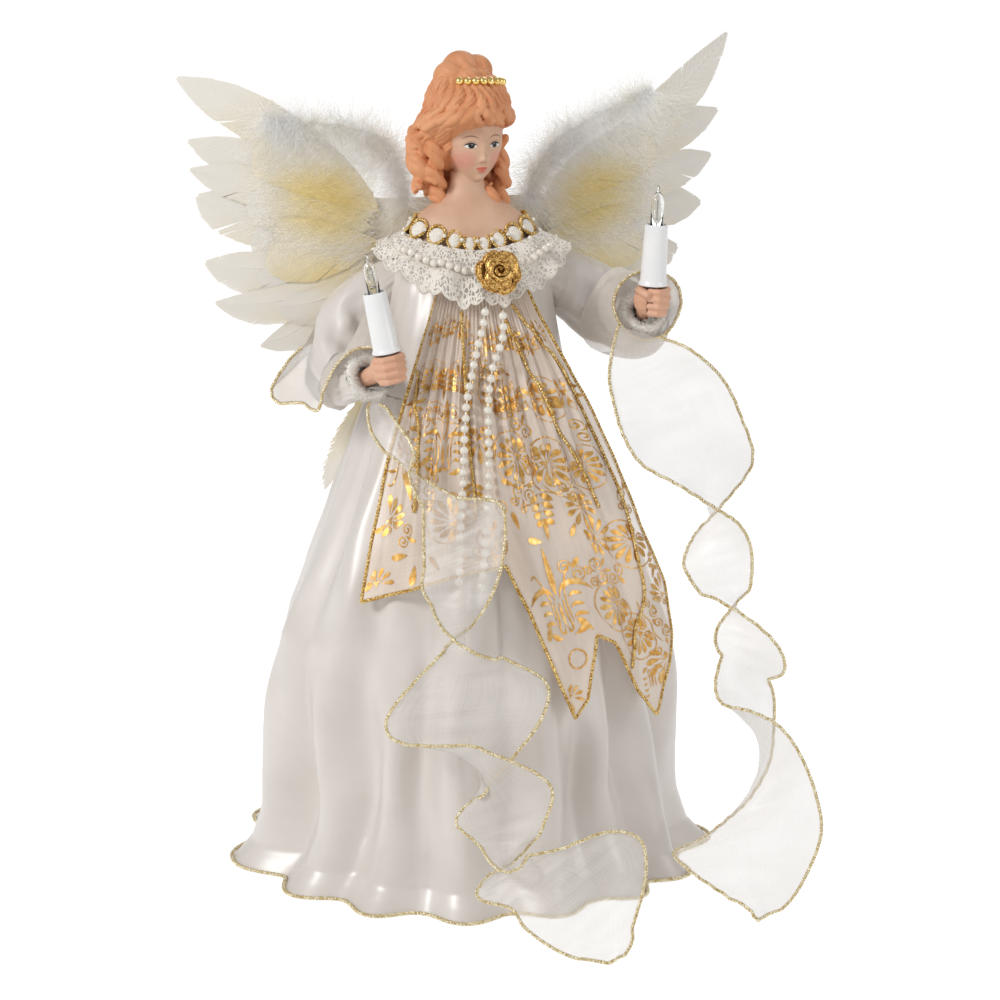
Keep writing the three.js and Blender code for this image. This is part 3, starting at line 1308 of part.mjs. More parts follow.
function marabou(side) {
  const front = -MARABOU_RADIUS * MARABOU_FLATTEN_SHARE * 1.1 - FEATHER_THICKNESS / 2 - CLEARANCE;
  const points = marabouShares[side].map(([x, z]) =>
    vector(x * WING_SPAN, front + WING_CAMBER * x * x, z * WING_SPAN));
  const curve = new THREE.CatmullRomCurve3(points);
  return tube(curve, MARABOU_STEPS, MARABOU_SIDES, (share, i) => {
    const swell = 1 + (i % 2 ? 0.1 : -0.08);
    return MARABOU_RADIUS * MARABOU_FLATTEN_SHARE * swell * (0.45 + 0.55 * Math.sin(Math.PI * share));
  }, { widthShare: 1 / MARABOU_FLATTEN_SHARE, side: vector(0, 1, 0) });
}

// Tail feather: one plume that lies down the skirt behind the angel's right arm
const TAIL_PLACE_SHARE = -0.32;
const TAIL_HEIGHT_SHARES = [0.735, 0.575];
const TAIL_SWAY_SHARE = 0.012;
const TAIL_HALF_WIDTH = 6;
function tailFeather() {
  const [high, low] = TAIL_HEIGHT_SHARES.map((share) => share * DRESS_HEIGHT);
  return loft(Array.from({ length: FEATHER_STEPS + 1 }, (_, i) => {
    const share = i / FEATHER_STEPS;
    const height = high + (low - high) * share;
    const [, width] = rowAtKey(featherWidthShares, share);
    const middle = (TAIL_PLACE_SHARE + TAIL_SWAY_SHARE * share) * TURN;
    const reach = dressRadius(middle, height) + FEATHER_THICKNESS + 2 * CLEARANCE;
    const half = width * TAIL_HALF_WIDTH / reach;
    const rib = FEATHER_THICKNESS / 2;
    return [
      around(middle - half, reach, height),
      around(middle, reach + rib, height),
      around(middle + half, reach, height),
      around(middle, reach - rib, height),
    ];
  }));
}

// Card: one folded backing that both wings are glued to, against the bodice's back
const CARD_REACH_SHARE = 0.16;
const CARD_HEIGHT = 38;
function wingCard() {
  const flank = WING_SPAN * CARD_REACH_SHARE;
  const tipX = wingRootX + flank;
  const tipY = wingRootY + flank * Math.tan(WING_SWEEP_DEGREES * degrees);
  const front = FEATHER_THICKNESS / 2 + CLEARANCE;
  const outline = [
    [-tipX, tipY], [-wingRootX, wingRootY], [wingRootX, wingRootY], [tipX, tipY],
  ];
  const shape = new THREE.Shape([
    ...outline.map(([x, y]) => new THREE.Vector2(x, y + front)),
    ...outline.reverse().map(([x, y]) => new THREE.Vector2(x, y + front + CARD_THICKNESS)),
  ]);
  return new THREE.ExtrudeGeometry(shape, { depth: CARD_HEIGHT, bevelEnabled: false })
    .translate(0, 0, cardFoot);
}

// Scarves: the two gold edges of each ribbon, as turn round the axis, reach and height
const scarfShares = {
  right: {
    first: [
      [-0.1473, 0.591, 0.5985],
      [-0.12, 0.69, 0.567],
      [-0.079, 0.745, 0.531],
      [-0.042, 0.77, 0.508],
      [-0.007, 0.83, 0.505],
      [-0.002, 0.87, 0.472],
      [-0.009, 0.91, 0.415],
      [-0.025, 0.935, 0.364],
      [-0.042, 1, 0.342],
      [-0.068, 1.03, 0.287],
      [-0.078, 1.04, 0.251],
      [-0.067, 1.05, 0.231],
      [-0.023, 1.07, 0.229],
      [0.014, 1.16, 0.195],
      [0.013, 1.14, 0.141],
      [-0.001, 1.12, 0.09],
      [-0.021, 1.12, 0.068],
      [-0.022, 1.16, 0.055],
      [-0.007, 1.23, 0.051],
      [-0.001, 1.27, 0.032],
      [0.009, 1.32, 0.014],
      [0.019, 1.39, 0.004],
      [0.031, 1.47, 0.002],
    ],
    second: [
      [-0.1287, 0.5685, 0.599],
      [-0.085, 0.67, 0.565],
      [-0.073, 0.725, 0.527],
      [-0.067, 0.74, 0.499],
      [-0.065, 0.77, 0.456],
      [-0.063, 0.8, 0.423],
      [-0.062, 0.84, 0.398],
      [-0.042, 0.9, 0.366],
      [-0.01, 0.96, 0.333],
      [0.02, 0.99, 0.3],
      [0.018, 1.01, 0.26],
      [-0.001, 1.01, 0.211],
      [-0.02, 1, 0.17],
      [-0.036, 1.01, 0.136],
      [-0.024, 1.04, 0.112],
      [-0.013, 1.12, 0.102],
      [0.002, 1.19, 0.11],
      [0.019, 1.24, 0.121],
      [0.041, 1.27, 0.137],
      [0.056, 1.31, 0.126],
      [0.056, 1.36, 0.09],
      [0.046, 1.42, 0.04],
      [0.038, 1.46, 0.006],
    ],
  },
  left: {
    first: [
      [0.1536, 0.652, 0.682],
      [0.135, 0.665, 0.657],
      [0.117, 0.7, 0.628],
      [0.108, 0.76, 0.597],
      [0.104, 0.82, 0.567],
      [0.112, 0.88, 0.532],
      [0.128, 1, 0.505],
      [0.144, 1.11, 0.474],
      [0.157, 1.17, 0.451],
      [0.167, 1.2, 0.417],
      [0.169, 1.2, 0.373],
      [0.168, 1.17, 0.337],
      [0.162, 1.14, 0.316],
      [0.157, 1.12, 0.295],
      [0.144, 1.12, 0.258],
      [0.139, 1.17, 0.237],
      [0.142, 1.28, 0.231],
      [0.149, 1.38, 0.212],
      [0.153, 1.46, 0.177],
      [0.154, 1.53, 0.127],
      [0.15, 1.57, 0.082],
      [0.138, 1.55, 0.036],
      [0.122, 1.54, 0.014],
      [0.105, 1.53, 0.012],
    ],
    second: [
      [0.173, 0.806, 0.664],
      [0.17, 0.86, 0.662],
      [0.173, 0.94, 0.65],
      [0.186, 1.04, 0.615],
      [0.197, 1.11, 0.565],
      [0.203, 1.16, 0.505],
      [0.194, 1.05, 0.456],
      [0.174, 0.96, 0.426],
      [0.153, 0.95, 0.402],
      [0.146, 0.99, 0.385],
      [0.145, 1.06, 0.362],
      [0.152, 1.17, 0.322],
      [0.161, 1.24, 0.283],
      [0.174, 1.29, 0.235],
      [0.18, 1.29, 0.19],
      [0.178, 1.28, 0.14],
      [0.168, 1.22, 0.1],
      [0.15, 1.16, 0.08],
      [0.125, 1.12, 0.068],
      [0.104, 1.11, 0.066],
      [0.097, 1.23, 0.058],
      [0.1, 1.4, 0.038],
      [0.103, 1.52, 0.02],
    ],
  },
};

function scarfPoint(row) {
  const [turn, reach, rise] = row;
  return around(turn * TURN, reach * HEM_RADIUS, Math.max(rise * DRESS_HEIGHT * 1.275, SCARF_FLOOR_LIFT));
}

// Where the photo shows the ribbon edge on, its width runs outwards instead of sideways
function scarf(side) {
  const { first, second } = scarfShares[side];
  const grid = [];
  for (let i = 0; i <= SCARF_ROWS; i++) {
    const share = i / SCARF_ROWS;
    const from = scarfPoint(rowsAlong(first, share));
    const to = scarfPoint(rowsAlong(second, share));
    const middle = from.clone().add(to).multiplyScalar(0.5);
    const outward = vector(middle.x, middle.y, 0).normalize();
    const width = SCARF_WIDTH * Math.min(1, SCARF_TOP_SHARE + share * 2);
    const hidden = Math.sqrt(Math.max(0, width * width - from.distanceToSquared(to)));
    const settled = clamp((1 - share) / SCARF_SETTLED_SHARE, 0, 1);
    from.addScaledVector(outward, -hidden * settled * 0.3);
    to.addScaledVector(outward, hidden * settled * 0.7);
    grid.push(Array.from({ length: SCARF_COLUMNS + 1 }, (_, j) => {
      const point = from.clone().lerp(to, j / SCARF_COLUMNS);
      return point.setZ(Math.max(point.z, SCARF_FLOOR_LIFT));
    }));
  }
  return sheet(grid, CLOTH_WALL);
}

// Organza bell: a flared over-sleeve, its rim drawn through the points of its gold cord,
// as shares of the bell's reach from the fist
const bellShares = {
  right: [
    [-0.12, 0.33, 0.16], [-0.32, 0.33, 0.15], [-0.5, 0.33, 0.02], [-0.66, 0.37, -0.28], [-0.72, 0.485, -0.53],
    [-0.865, 0.765, -0.5], [-1.085, 1.06, -0.55], [-1.13, 1.27, -0.46], [-1, 1.3, -0.23],
    [-0.795, 1.335, -0.02], [-0.52, 1.21, 0.13], [-0.29, 0.87, 0.12], [-0.17, 0.54, 0.12],
  ],
  left: [
    [0.36, 0.19, -0.06], [0.31, 0.2, 0.14], [0.17, 0.23, 0.25], [-0.02, 0.23, 0.28],
    [-0.2, 0.2, 0.24], [-0.33, 0.18, 0.12], [-0.38, 0.18, -0.06], [-0.32, 0.18, -0.24],
    [-0.18, 0.18, -0.4], [0, 0.17, -0.45], [0.18, 0.17, -0.4], [0.31, 0.18, -0.23],
  ],
};
const BELL_REACH = 40;
const BELL_ROWS = 4;
const BELL_STATIONS = 24;        // places along the sleeve that the bell is kept clear of
const BELL_COLUMNS = 12;
const BELL_BULGE = 3;
const bellThroatShares = { right: 0.3, left: 0.5 };
const BELL_OPEN_SHARE = 0.7;     // the right bell hangs open at the crook of the arm

function sleeveStation({ curve, radii }, share) {
  const centre = curve.getPoint(share);
  const ahead = curve.getTangent(share);
  const sideways = UP.clone().cross(ahead).normalize();
  const top = ahead.clone().cross(sideways).normalize();
  const droop = SLEEVE_DROOP_SHARE * Math.sin(Math.PI * share);
  const radiusAt = (angle) => rowsAlong(radii, share)[0] * (1 + SLEEVE_GATHER_SHARE)
    * (1 + droop * Math.max(0, -Math.sin(angle)));
  return { centre, ahead, sideways, top, radiusAt };
}

// Moves a point outwards until it clears the sleeve
function clearOfSleeve(point, stations) {
  const near = stations.reduce((best, one) =>
    one.centre.distanceTo(point) < best.centre.distanceTo(point) ? one : best);
  const away = point.clone().sub(near.centre);
  const lengthways = away.dot(near.ahead);
  away.addScaledVector(near.ahead, -lengthways);
  const angle = Math.atan2(away.dot(near.top), away.dot(near.sideways));
  const least = near.radiusAt(angle) + CLOTH_WALL / 2 + 2 * CLEARANCE;
  if (away.length() >= least) return point;
  return near.centre.clone().addScaledVector(near.ahead, lengthways).add(away.setLength(least));
}

function bell(side) {
  const arm = arms[side];
  const rim = new THREE.CatmullRomCurve3(bellShares[side].map(([x, y, z]) =>
    vector(x, y, z).multiplyScalar(BELL_REACH).add(arm.fist)), true);
  const closed = side === 'left';
  const step = closed ? 1 / BELL_COLUMNS : BELL_OPEN_SHARE / (BELL_COLUMNS - 1);
  const edge = Array.from({ length: BELL_COLUMNS }, (_, j) => rim.getPoint(j * step));
  const route = sleeveRoute(arm);
  const stations = Array.from({ length: BELL_STATIONS }, (_, i) =>
    sleeveStation(route, i / (BELL_STATIONS - 1)));
  const throat = sleeveStation(route, bellThroatShares[side]);
  const middle = edge.reduce((sum, p) => sum.add(p), vector(0, 0, 0)).divideScalar(BELL_COLUMNS);
  const axis = middle.clone().sub(throat.centre).normalize();
  const across = UP.clone().cross(axis).normalize();
  const above = axis.clone().cross(across).normalize();
  const columns = edge.map((end) => {
    const away = end.clone().sub(middle);
    const angle = Math.atan2(away.dot(above), away.dot(across));
    const out = across.clone().multiplyScalar(Math.cos(angle)).addScaledVector(above, Math.sin(angle));
    const start = throat.centre.clone().addScaledVector(out, SLEEVE_MOUTH_RADIUS);
    const half = start.clone().add(end).multiplyScalar(0.5).addScaledVector(out, BELL_BULGE);
    return new THREE.CatmullRomCurve3([start, half, end]);
  });
  const grid = Array.from({ length: BELL_ROWS + 1 }, (_, i) => columns.map((column) =>
    clearOfSleeve(column.getPoint(i / BELL_ROWS), stations)));
  return sheet(grid, CLOTH_WALL, closed);
}

// Build
add('inner_cone', innerCone(), card);
add('neck_dowel', neckDowel(), wood);
add('petticoat', petticoat(), netting);
add('satin_skirt', skirt(), satin);

const wireCurves = {};
const leadCurves = {};
for (const side of ['right', 'left']) {
  wireCurves[side] = armWireCurve(arms[side]);
  leadCurves[side] = leadCurve(arms[side]);
}
const passages = ['right', 'left'].flatMap((side) => [
  wireTube(wireCurves[side], 2 * CLEARANCE),
  leadTube(side, 2 * CLEARANCE),
]);

add('satin_bodice', cutBy(bodice(), ...passages), satin);
add('organza_tunic', tunic(), printedOrganza);
const head = headAndBust();
add('head_and_bust', head, porcelain);
add('tiara_beads', tiara(head), goldBead);
add('lace_collar', laceCollar(), lace);
add('neckline_braid', necklineBraid(), goldBraid);
add('pearl_necklace', necklace(), pearl);
add('ribbon_rose', ribbonRose(), goldBraid);
for (const side of ['right', 'left']) {
  add(`pearl_strand_${side}`, beadString(strandCurve(strandShares[side]), PEARL_RADIUS, PEARL_PITCH), pearl);
}

for (const side of ['right', 'left']) {
  const arm = arms[side];
  const fullSleeve = sleeve(arm, CLEARANCE, true);
  add(`sleeve_${side}`, cutBy(sleeve(arm), bodice(2 * CLEARANCE, true)), satin);
  add(`organza_bell_${side}`, cutBy(bell(side), fullSleeve, bodice(2 * CLEARANCE, true)), organza);
  add(`fur_cuff_${side}`, furCuff(arm), fur);
  add(`hand_${side}`, cutBy(hand(arm), leadTube(side, 1.5 * CLEARANCE)), porcelain);
  add(`arm_wire_${side}`, wireTube(wireCurves[side]), steelWire);
  add(`candle_cover_${side}`, inArm(candleCover(), arm), whitePlastic);
  add(`lamp_socket_${side}`, inArm(lampSocket(), arm), whitePlastic);
  add(`lamp_base_${side}`, inArm(lampBase(), arm), whitePlastic);
  add(`lamp_glass_${side}`, inArm(lampGlass(), arm), glass);
  add(`lamp_lead_${side}`, leadTube(side), greyLead);
  add(`scarf_${side}`, scarf(side), organza);

  const wing = new THREE.Group();
  wing.position.set(arm.sign * wingRootX, wingRootY, wingRootZ);
  wing.rotation.z = arm.sign * WING_SWEEP_DEGREES * degrees;
  angel.add(wing);
  const mirrored = (geometry) => {
    if (arm.sign < 0) {
      geometry.scale(-1, 1, 1);
      geometry.index.array.reverse();
    }
    return geometry;
  };
  featherShares[side].forEach((row, order) => {
    const finishOf = featherNames[order].startsWith('covert') ? yellowFeather : feather;
    add(`${featherNames[order]}_${side}`, mirrored(featherBlade(row)), finishOf, wing);
  });
  add(`marabou_${side}`, mirrored(marabou(side)), fur, wing);
}
add('lead_junction', junction(), greyLead);
add('wing_card', wingCard(), card);
add('tail_feather', tailFeather(), feather);

export default angel;
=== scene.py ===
# %% [markdown]
# # Angel tree topper
# A bisque doll's bust stands on a stiff cardboard cone. She wears a white satin skirt, a tunic of
# organza printed with gold foil, a lace collar and feather wings, and holds two small candle lamps.
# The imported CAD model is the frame: every piece here is built round it, in metres, and rides on one
# of its bodies. Sizes below are in millimetres and become metres where a mesh is made.

# %% The frame
import math

import bpy
import numpy as np
from mathutils import Matrix, Vector


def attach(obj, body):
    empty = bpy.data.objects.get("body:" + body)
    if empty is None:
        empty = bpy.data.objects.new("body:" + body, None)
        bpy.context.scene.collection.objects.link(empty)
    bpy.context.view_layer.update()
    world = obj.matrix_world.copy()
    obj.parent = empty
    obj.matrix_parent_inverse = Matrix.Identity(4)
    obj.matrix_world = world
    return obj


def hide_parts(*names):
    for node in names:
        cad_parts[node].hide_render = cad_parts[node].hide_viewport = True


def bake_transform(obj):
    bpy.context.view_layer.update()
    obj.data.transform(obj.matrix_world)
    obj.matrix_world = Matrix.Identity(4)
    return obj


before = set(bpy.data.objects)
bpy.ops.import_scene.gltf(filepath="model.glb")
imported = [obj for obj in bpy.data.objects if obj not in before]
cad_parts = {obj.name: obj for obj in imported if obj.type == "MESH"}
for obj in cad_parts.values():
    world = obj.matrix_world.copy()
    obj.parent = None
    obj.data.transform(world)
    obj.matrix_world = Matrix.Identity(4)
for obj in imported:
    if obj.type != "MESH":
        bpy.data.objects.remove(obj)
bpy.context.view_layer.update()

MM = 0.001
TURN = 2 * math.pi
FIGURE = "figure"
SIDES = {"right": -1, "left": 1}

# %% [markdown]
# ## Camera
# The photograph looks down a little, from slightly to the angel's right, through a long lens. The
# camera stands about 1.3 m away, so the lens is a portrait lens of 105 mm.

# %% Camera
camera_data = bpy.data.cameras.new("photo_camera")
camera_data.lens = 105.405
camera_data.sensor_width = 36
camera = bpy.data.objects.new("photo_camera", camera_data)
bpy.context.scene.collection.objects.link(camera)
camera.location = (-0.20643, -1.24444, 0.47375)
look = Vector((0.012606, -0.002223, 0.15925)) - camera.location
camera.rotation_euler = look.to_track_quat("-Z", "Y").to_euler()
bpy.context.scene.camera = camera
bpy.context.scene.view_settings.view_transform = "Standard"

# %% [markdown]
# ## Colours and nodes
# A colour is written as the eye reads it, in sRGB, and Blender calculates with linear light. One
# function turns the one into the other, and one small function adds a node with its settings.

# %% Colour and node helpers
def linear(hex_colour):
    """An sRGB hex colour as linear light, with full cover."""
    levels = [int(hex_colour[i:i + 2], 16) / 255 for i in (1, 3, 5)]
    return [c / 12.92 if c <= 0.04045 else ((c + 0.055) / 1.055) ** 2.4 for c in levels] + [1]


def add_node(material, kind, inputs=None, stops=(), **settings):
    """One node with its settings and links: an input's value may be another node's output. Stops are
    a colour ramp's places and sRGB colours."""
    made = material.node_tree.nodes.new("ShaderNode" + kind)
    for name, value in settings.items():
        setattr(made, name, value)
    for name, value in (inputs or {}).items():
        if isinstance(value, bpy.types.NodeSocket):
            material.node_tree.links.new(value, made.inputs[name])
        else:
            made.inputs[name].default_value = value
    for place, _ in stops[2:]:
        made.color_ramp.elements.new(place)
    for index, (place, colour) in enumerate(stops):
        made.color_ramp.elements[index].position = place
        made.color_ramp.elements[index].color = linear(colour)
    return made


def new_finish(name, colour=None, **sockets):
    """A material with plain values on its shader's own sockets. An underscore stands for a space."""
    material = bpy.data.materials.new(name)
    material.use_nodes = True
    shader = material.node_tree.nodes["Principled BSDF"]
    if colour:
        shader.inputs["Base Color"].default_value = linear(colour)
    for socket, value in sockets.items():
        shader.inputs[socket.replace("_", " ")].default_value = value
    return material


def feed(material, socket, output):
    """Links an output to one of the shader's sockets."""
    shader = material.node_tree.nodes["Principled BSDF"]
    material.node_tree.links.new(output, shader.inputs[socket])


def grained(material, place, scale, stops, detail=2.0):
    """Lets the colour drift from tone to tone in grains of about 1 / scale metres."""
    noise = add_node(material, "TexNoise", {"Vector": place, "Scale": scale, "Detail": detail}).outputs[0]
    feed(material, "Base Color", add_node(material, "ValToRGB", {"Fac": noise}, stops).outputs[0])
    return noise


def solid_finish(name, dark, light, scale, detail=2.0, bump=None, **sockets):
    """A finish that drifts between two tones all through the solid."""
    material = new_finish(name, **sockets)
    place = add_node(material, "TexCoord").outputs["Object"]
    noise = grained(material, place, scale, ((0.3, dark), (0.7, light)), detail)
    if bump:
        strength, depth = bump
        tilted = add_node(material, "Bump", {"Height": noise, "Strength": strength, "Distance": depth})
        feed(material, "Normal", tilted.outputs[0])
    return material

# %% [markdown]
# ## Geometry helpers
# Most pieces here are cloth, cord or feather, so three builders are enough: a grid of points that
# becomes a sheet, a tube that follows a path, and a shape turned about an axis. Each cloth's UV map
# is in metres of flat cloth, so that a weave or a print has its real size.

# %% Curves
# The sides that a thing is drawn on: the left only, or the right and the left
ONE, BOTH = (1,), (-1, 1)


def smooth_curve(points, count, closed=False):
    """Points on a smooth curve through the given ones, at equal shares from first to last."""
    points = np.asarray(points, float)
    last = len(points) if closed else len(points) - 1
    out = []
    for share in np.linspace(0, 1, count, endpoint=not closed):
        index = min(int(share * last), last - 1)
        t = share * last - index
        if closed:
            p0, p1, p2, p3 = (points[(index + k) % len(points)] for k in (-1, 0, 1, 2))
        else:
            p1, p2 = points[index], points[index + 1]
            p0 = points[index - 1] if index else 2 * p1 - p2
            p3 = points[index + 2] if index + 2 <= last else 2 * p2 - p1
        d0, d1, d2 = (max(np.linalg.norm(b - a), 1e-9) ** 0.5 for a, b in ((p0, p1), (p1, p2), (p2, p3)))
        leave = ((p1 - p0) / d0 - (p2 - p0) / (d0 + d1) + (p2 - p1) / d1) * d1
        reach = ((p2 - p1) / d1 - (p3 - p1) / (d1 + d2) + (p3 - p2) / d2) * d1
        out.append(p1 * (2 * t**3 - 3 * t**2 + 1) + leave * (t**3 - 2 * t**2 + t)
                   + p2 * (3 * t**2 - 2 * t**3) + reach * (t**3 - t**2))
    return np.array(out)


def evenly(path, count):
    """The same path at equal steps of length."""
    lengths = np.concatenate([[0], np.cumsum(np.linalg.norm(np.diff(path, axis=0), axis=1))])
    wanted = np.linspace(0, lengths[-1], count)
    return np.stack([np.interp(wanted, lengths, path[:, k]) for k in range(3)], axis=1)


def length_of(path):
    return float(np.linalg.norm(np.diff(path, axis=0), axis=1).sum())


def looped(path):
    return np.concatenate([path, path[:1]])


def line_lengths(grid, axis):
    """The length of each line of a grid: down its columns for axis 0, along its rows for axis 1."""
    return np.linalg.norm(np.diff(grid, axis=axis), axis=2).sum(axis)


def unit(v):
    return v / np.maximum(np.linalg.norm(v, axis=-1, keepdims=True), 1e-12)


def turned_round(angle):
    """The matrix that turns points about the upright axis."""
    c, s = math.cos(angle), math.sin(angle)
    return np.array([[c, -s, 0], [s, c, 0], [0, 0, 1]])


def ease(value, low, high):
    """A smooth step from 0 at the low end to 1 at the high end."""
    t = np.clip((np.asarray(value, float) - low) / (high - low), 0, 1)
    return t * t * (3 - 2 * t)


def rows_along(rows, share):
    """A smooth reading along evenly spaced rows, from the first to the last."""
    rows = np.asarray(rows, float)
    place = min(max(share, 0), 1) * (len(rows) - 1)
    index = min(int(place), len(rows) - 2)
    t = place - index
    a, b, c, d = (rows[min(max(index + k, 0), len(rows) - 1)] for k in (-1, 0, 1, 2))
    bend = t * (1 - t) / 2
    return b + (c - b) * t + bend * ((c - b) * (2 * t - 1) + (b - a) * (1 - t) - (d - c) * t)


def ripple(x, y, seed, octaves=3):
    """Smooth waves with no plain period, from -1 to 1, for creases and soft unevenness."""
    chance = np.random.default_rng(seed)
    total, weight = 0, 0
    for octave in range(octaves):
        for _ in range(3):
            way, phase = chance.uniform(0, TURN, 2)
            pace = 2**octave * chance.uniform(0.7, 1.3)
            total = total + np.sin((x * math.cos(way) + y * math.sin(way)) * pace + phase) / 2**octave
            weight += 1 / 2**octave
    return total / weight * 1.6

# %% Mesh builders
def make_piece(name, points, faces, finish, slot="", node="", body=FIGURE, uv=None):
    """One mesh piece from points in millimetres. It rides on a body and stands for a CAD node."""
    data = bpy.data.meshes.new(name)
    faces = faces if isinstance(faces, list) else faces.tolist()
    data.from_pydata((np.asarray(points) * MM).tolist(), [], faces)
    data.materials.append(finish)
    if uv is not None:
        corners = np.zeros(len(data.loops), np.int32)
        data.loops.foreach_get("vertex_index", corners)
        layer = data.uv_layers.new(name="cloth_metres")
        layer.data.foreach_set("uv", (np.asarray(uv) * MM)[corners].astype(np.float32).ravel())
    data.polygons.foreach_set("use_smooth", [True] * len(data.polygons))
    data.validate()
    piece = bpy.data.objects.new(name, data)
    bpy.context.scene.collection.objects.link(piece)
    if body:
        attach(piece, body)
    if node:
        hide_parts(node)
    return piece


def grid_faces(high, wide, wrapped=False):
    """Four-sided faces over a grid of points, numbered along its rows."""
    i, j = np.meshgrid(np.arange(high - 1), np.arange(wide if wrapped else wide - 1), indexing="ij")
    near, far = (i * wide + j).ravel(), (i * wide + (j + 1) % wide).ravel()
    return np.stack([near, far, far + wide, near + wide], axis=1)


def closed_faces(high, wide):
    """Faces of a grid that is wrapped round and has a cap at both ends."""
    last = (high - 1) * wide
    caps = [list(range(wide))[::-1], [last + j for j in range(wide)]]
    return grid_faces(high, wide, True).tolist() + caps


def cloth_piece(name, grid, finish, slot, node, wrapped=False):
    """A sheet of cloth from a grid of points, with its flat size in millimetres as its UV map."""
    grid = np.asarray(grid, float)
    across = np.linalg.norm(np.diff(grid, axis=1), axis=2).mean(0)
    down = np.linalg.norm(np.diff(grid, axis=0), axis=2).mean(1)
    u, v = (np.concatenate([[0], np.cumsum(steps)]) for steps in (across, down))
    uv = np.stack(np.meshgrid(u, v, indexing="xy"), axis=2).reshape(-1, 2)
    faces = grid_faces(*grid.shape[:2], wrapped)
    return make_piece(name, grid.reshape(-1, 3), faces, finish, slot, node, uv=uv)


def cloth_size(piece, wide, long, cords=(), share=None):
    """Prints a cloth's flat size. The share, what its cut shape takes of the whole rectangle, is not used."""
    print("cloth", piece.name, round(wide), "x", round(long), "mm")
    more = {"with_pieces": list(cords)} if cords else {}
    if share:
        more["area"] = share * wide * long * MM**2


def frames_along(path, side=(0, 0, 1), closed=False):
    """Two directions square to a path at each point, carried along without twisting."""
    steps = np.roll(path, -1, 0) - np.roll(path, 1, 0) if closed else np.gradient(path, axis=0)
    ahead = unit(steps)
    first = np.cross(np.asarray(side, float), ahead[0])
    if np.linalg.norm(first) < 1e-3:
        first = np.cross((1.0, 0.3, 0), ahead[0])
    firsts = []
    for way in ahead:
        first = first - way * first.dot(way)
        first = first / np.linalg.norm(first)
        firsts.append(first)
    firsts = np.array(firsts)
    return firsts, np.cross(ahead, firsts)


def tube(path, radius, sides=8, flatten=1.0, side=(0, 0, 1), closed=False):
    """Points and faces of a tube round a path. The radius may be one value for each point."""
    path = np.asarray(path, float)
    first, second = frames_along(path, side, closed)
    radius = np.broadcast_to(np.asarray(radius, float), len(path))[:, None, None]
    angle = np.linspace(0, TURN, sides, endpoint=False)[None, :, None]
    points = (path[:, None] + first[:, None] * np.cos(angle) * radius
              + second[:, None] * np.sin(angle) * radius * flatten).reshape(-1, 3)
    if not closed:
        return points, closed_faces(len(path), sides)
    last = (len(path) - 1) * sides
    seam = [[last + j, last + (j + 1) % sides, (j + 1) % sides, j] for j in range(sides)]
    return points, grid_faces(len(path), sides, True).tolist() + seam


def gather(parts):
    """Several sets of points and faces as one."""
    points, faces, start = [], [], 0
    for some, its in parts:
        points.append(some)
        its = its.tolist() if isinstance(its, np.ndarray) else its
        faces += [[index + start for index in face] for face in its]
        start += len(some)
    return np.concatenate(points), faces


def turned(profile, sides=48):
    """A shape turned about the upright axis, from rows of radius and height."""
    profile = np.asarray(profile, float)
    angle = np.linspace(0, TURN, sides, endpoint=False)
    points = np.stack([np.outer(profile[:, 0], np.cos(angle)), np.outer(profile[:, 0], np.sin(angle)),
                       np.repeat(profile[:, 1:2], sides, 1)], axis=2)
    return points.reshape(-1, 3), grid_faces(len(profile), sides, True)


def ball(centre, radius, sides=14, rings=9):
    polar = np.linspace(0, math.pi, rings)
    points, faces = turned(np.stack([np.sin(polar) * radius, -np.cos(polar) * radius], axis=1), sides)
    return points + np.asarray(centre), faces


def twisted_cord(path, radius, pitch, closed=False):
    """Two plies laid round each other along a path, as in a gold edging cord."""
    length = length_of(path)
    count = max(8, int(length / pitch * 7))
    path = evenly(path, count + (1 if closed else 0))[:count]
    first, second = frames_along(path, closed=closed)
    angle = np.linspace(0, round(length / pitch) * TURN, count, endpoint=not closed)[:, None]
    parts = []
    for phase in (0, math.pi):
        away = (first * np.cos(angle + phase) + second * np.sin(angle + phase)) * radius * 0.5
        parts.append(tube(path + away, radius * 0.56, 5, closed=closed))
    return gather(parts)

# %% [markdown]
# ## Floor and light
# The floor is plain and pale. To the camera it is almost white, and part of its colour comes from its
# own glow towards the camera, so that the lamps can stay low enough for the white satin to keep its
# shading. The floor keeps the shadow under the hem. One broad lamp stands at the upper left, a
# weaker one fills from the right, and the world gives an even light all round.

# %% Floor, world and lamps
def seen_directly(material, *rays):
    """1 where the camera, or one of the other kinds of ray, looks at it."""
    path_kind = add_node(material, "LightPath")
    seen = path_kind.outputs["Is Camera Ray"]
    for ray in rays:
        either = add_node(material, "Math", {0: seen, 1: path_kind.outputs[ray]}, operation="MAXIMUM")
        seen = either.outputs[0]
    return seen


GLOW_SHARE, GLOW, ROOM_LIGHT = 0.72, 1.3, 0.45
paper = new_finish("matt_white_paper", "#F4F3F1", Roughness=0.9)
seen = seen_directly(paper, "Is Glossy Ray", "Is Transmission Ray")
share = add_node(paper, "Math", {0: seen, 1: GLOW_SHARE}, operation="MULTIPLY")
glow = add_node(paper, "Emission", {"Color": linear("#FFFFFF"), "Strength": GLOW})
paper_nodes = paper.node_tree.nodes
mixed = add_node(paper, "MixShader", {0: share.outputs[0], 1: paper_nodes["Principled BSDF"].outputs[0],
                 2: glow.outputs[0]})
paper.node_tree.links.new(mixed.outputs[0], paper_nodes["Material Output"].inputs["Surface"])
FLOOR_HALF = 6000
corners = np.array([(-1, -1, 0), (1, -1, 0), (1, 1, 0), (-1, 1, 0)]) * FLOOR_HALF
floor = make_piece("floor", corners - [0, 0, 0.3], [[0, 1, 2, 3]], paper, body=None)

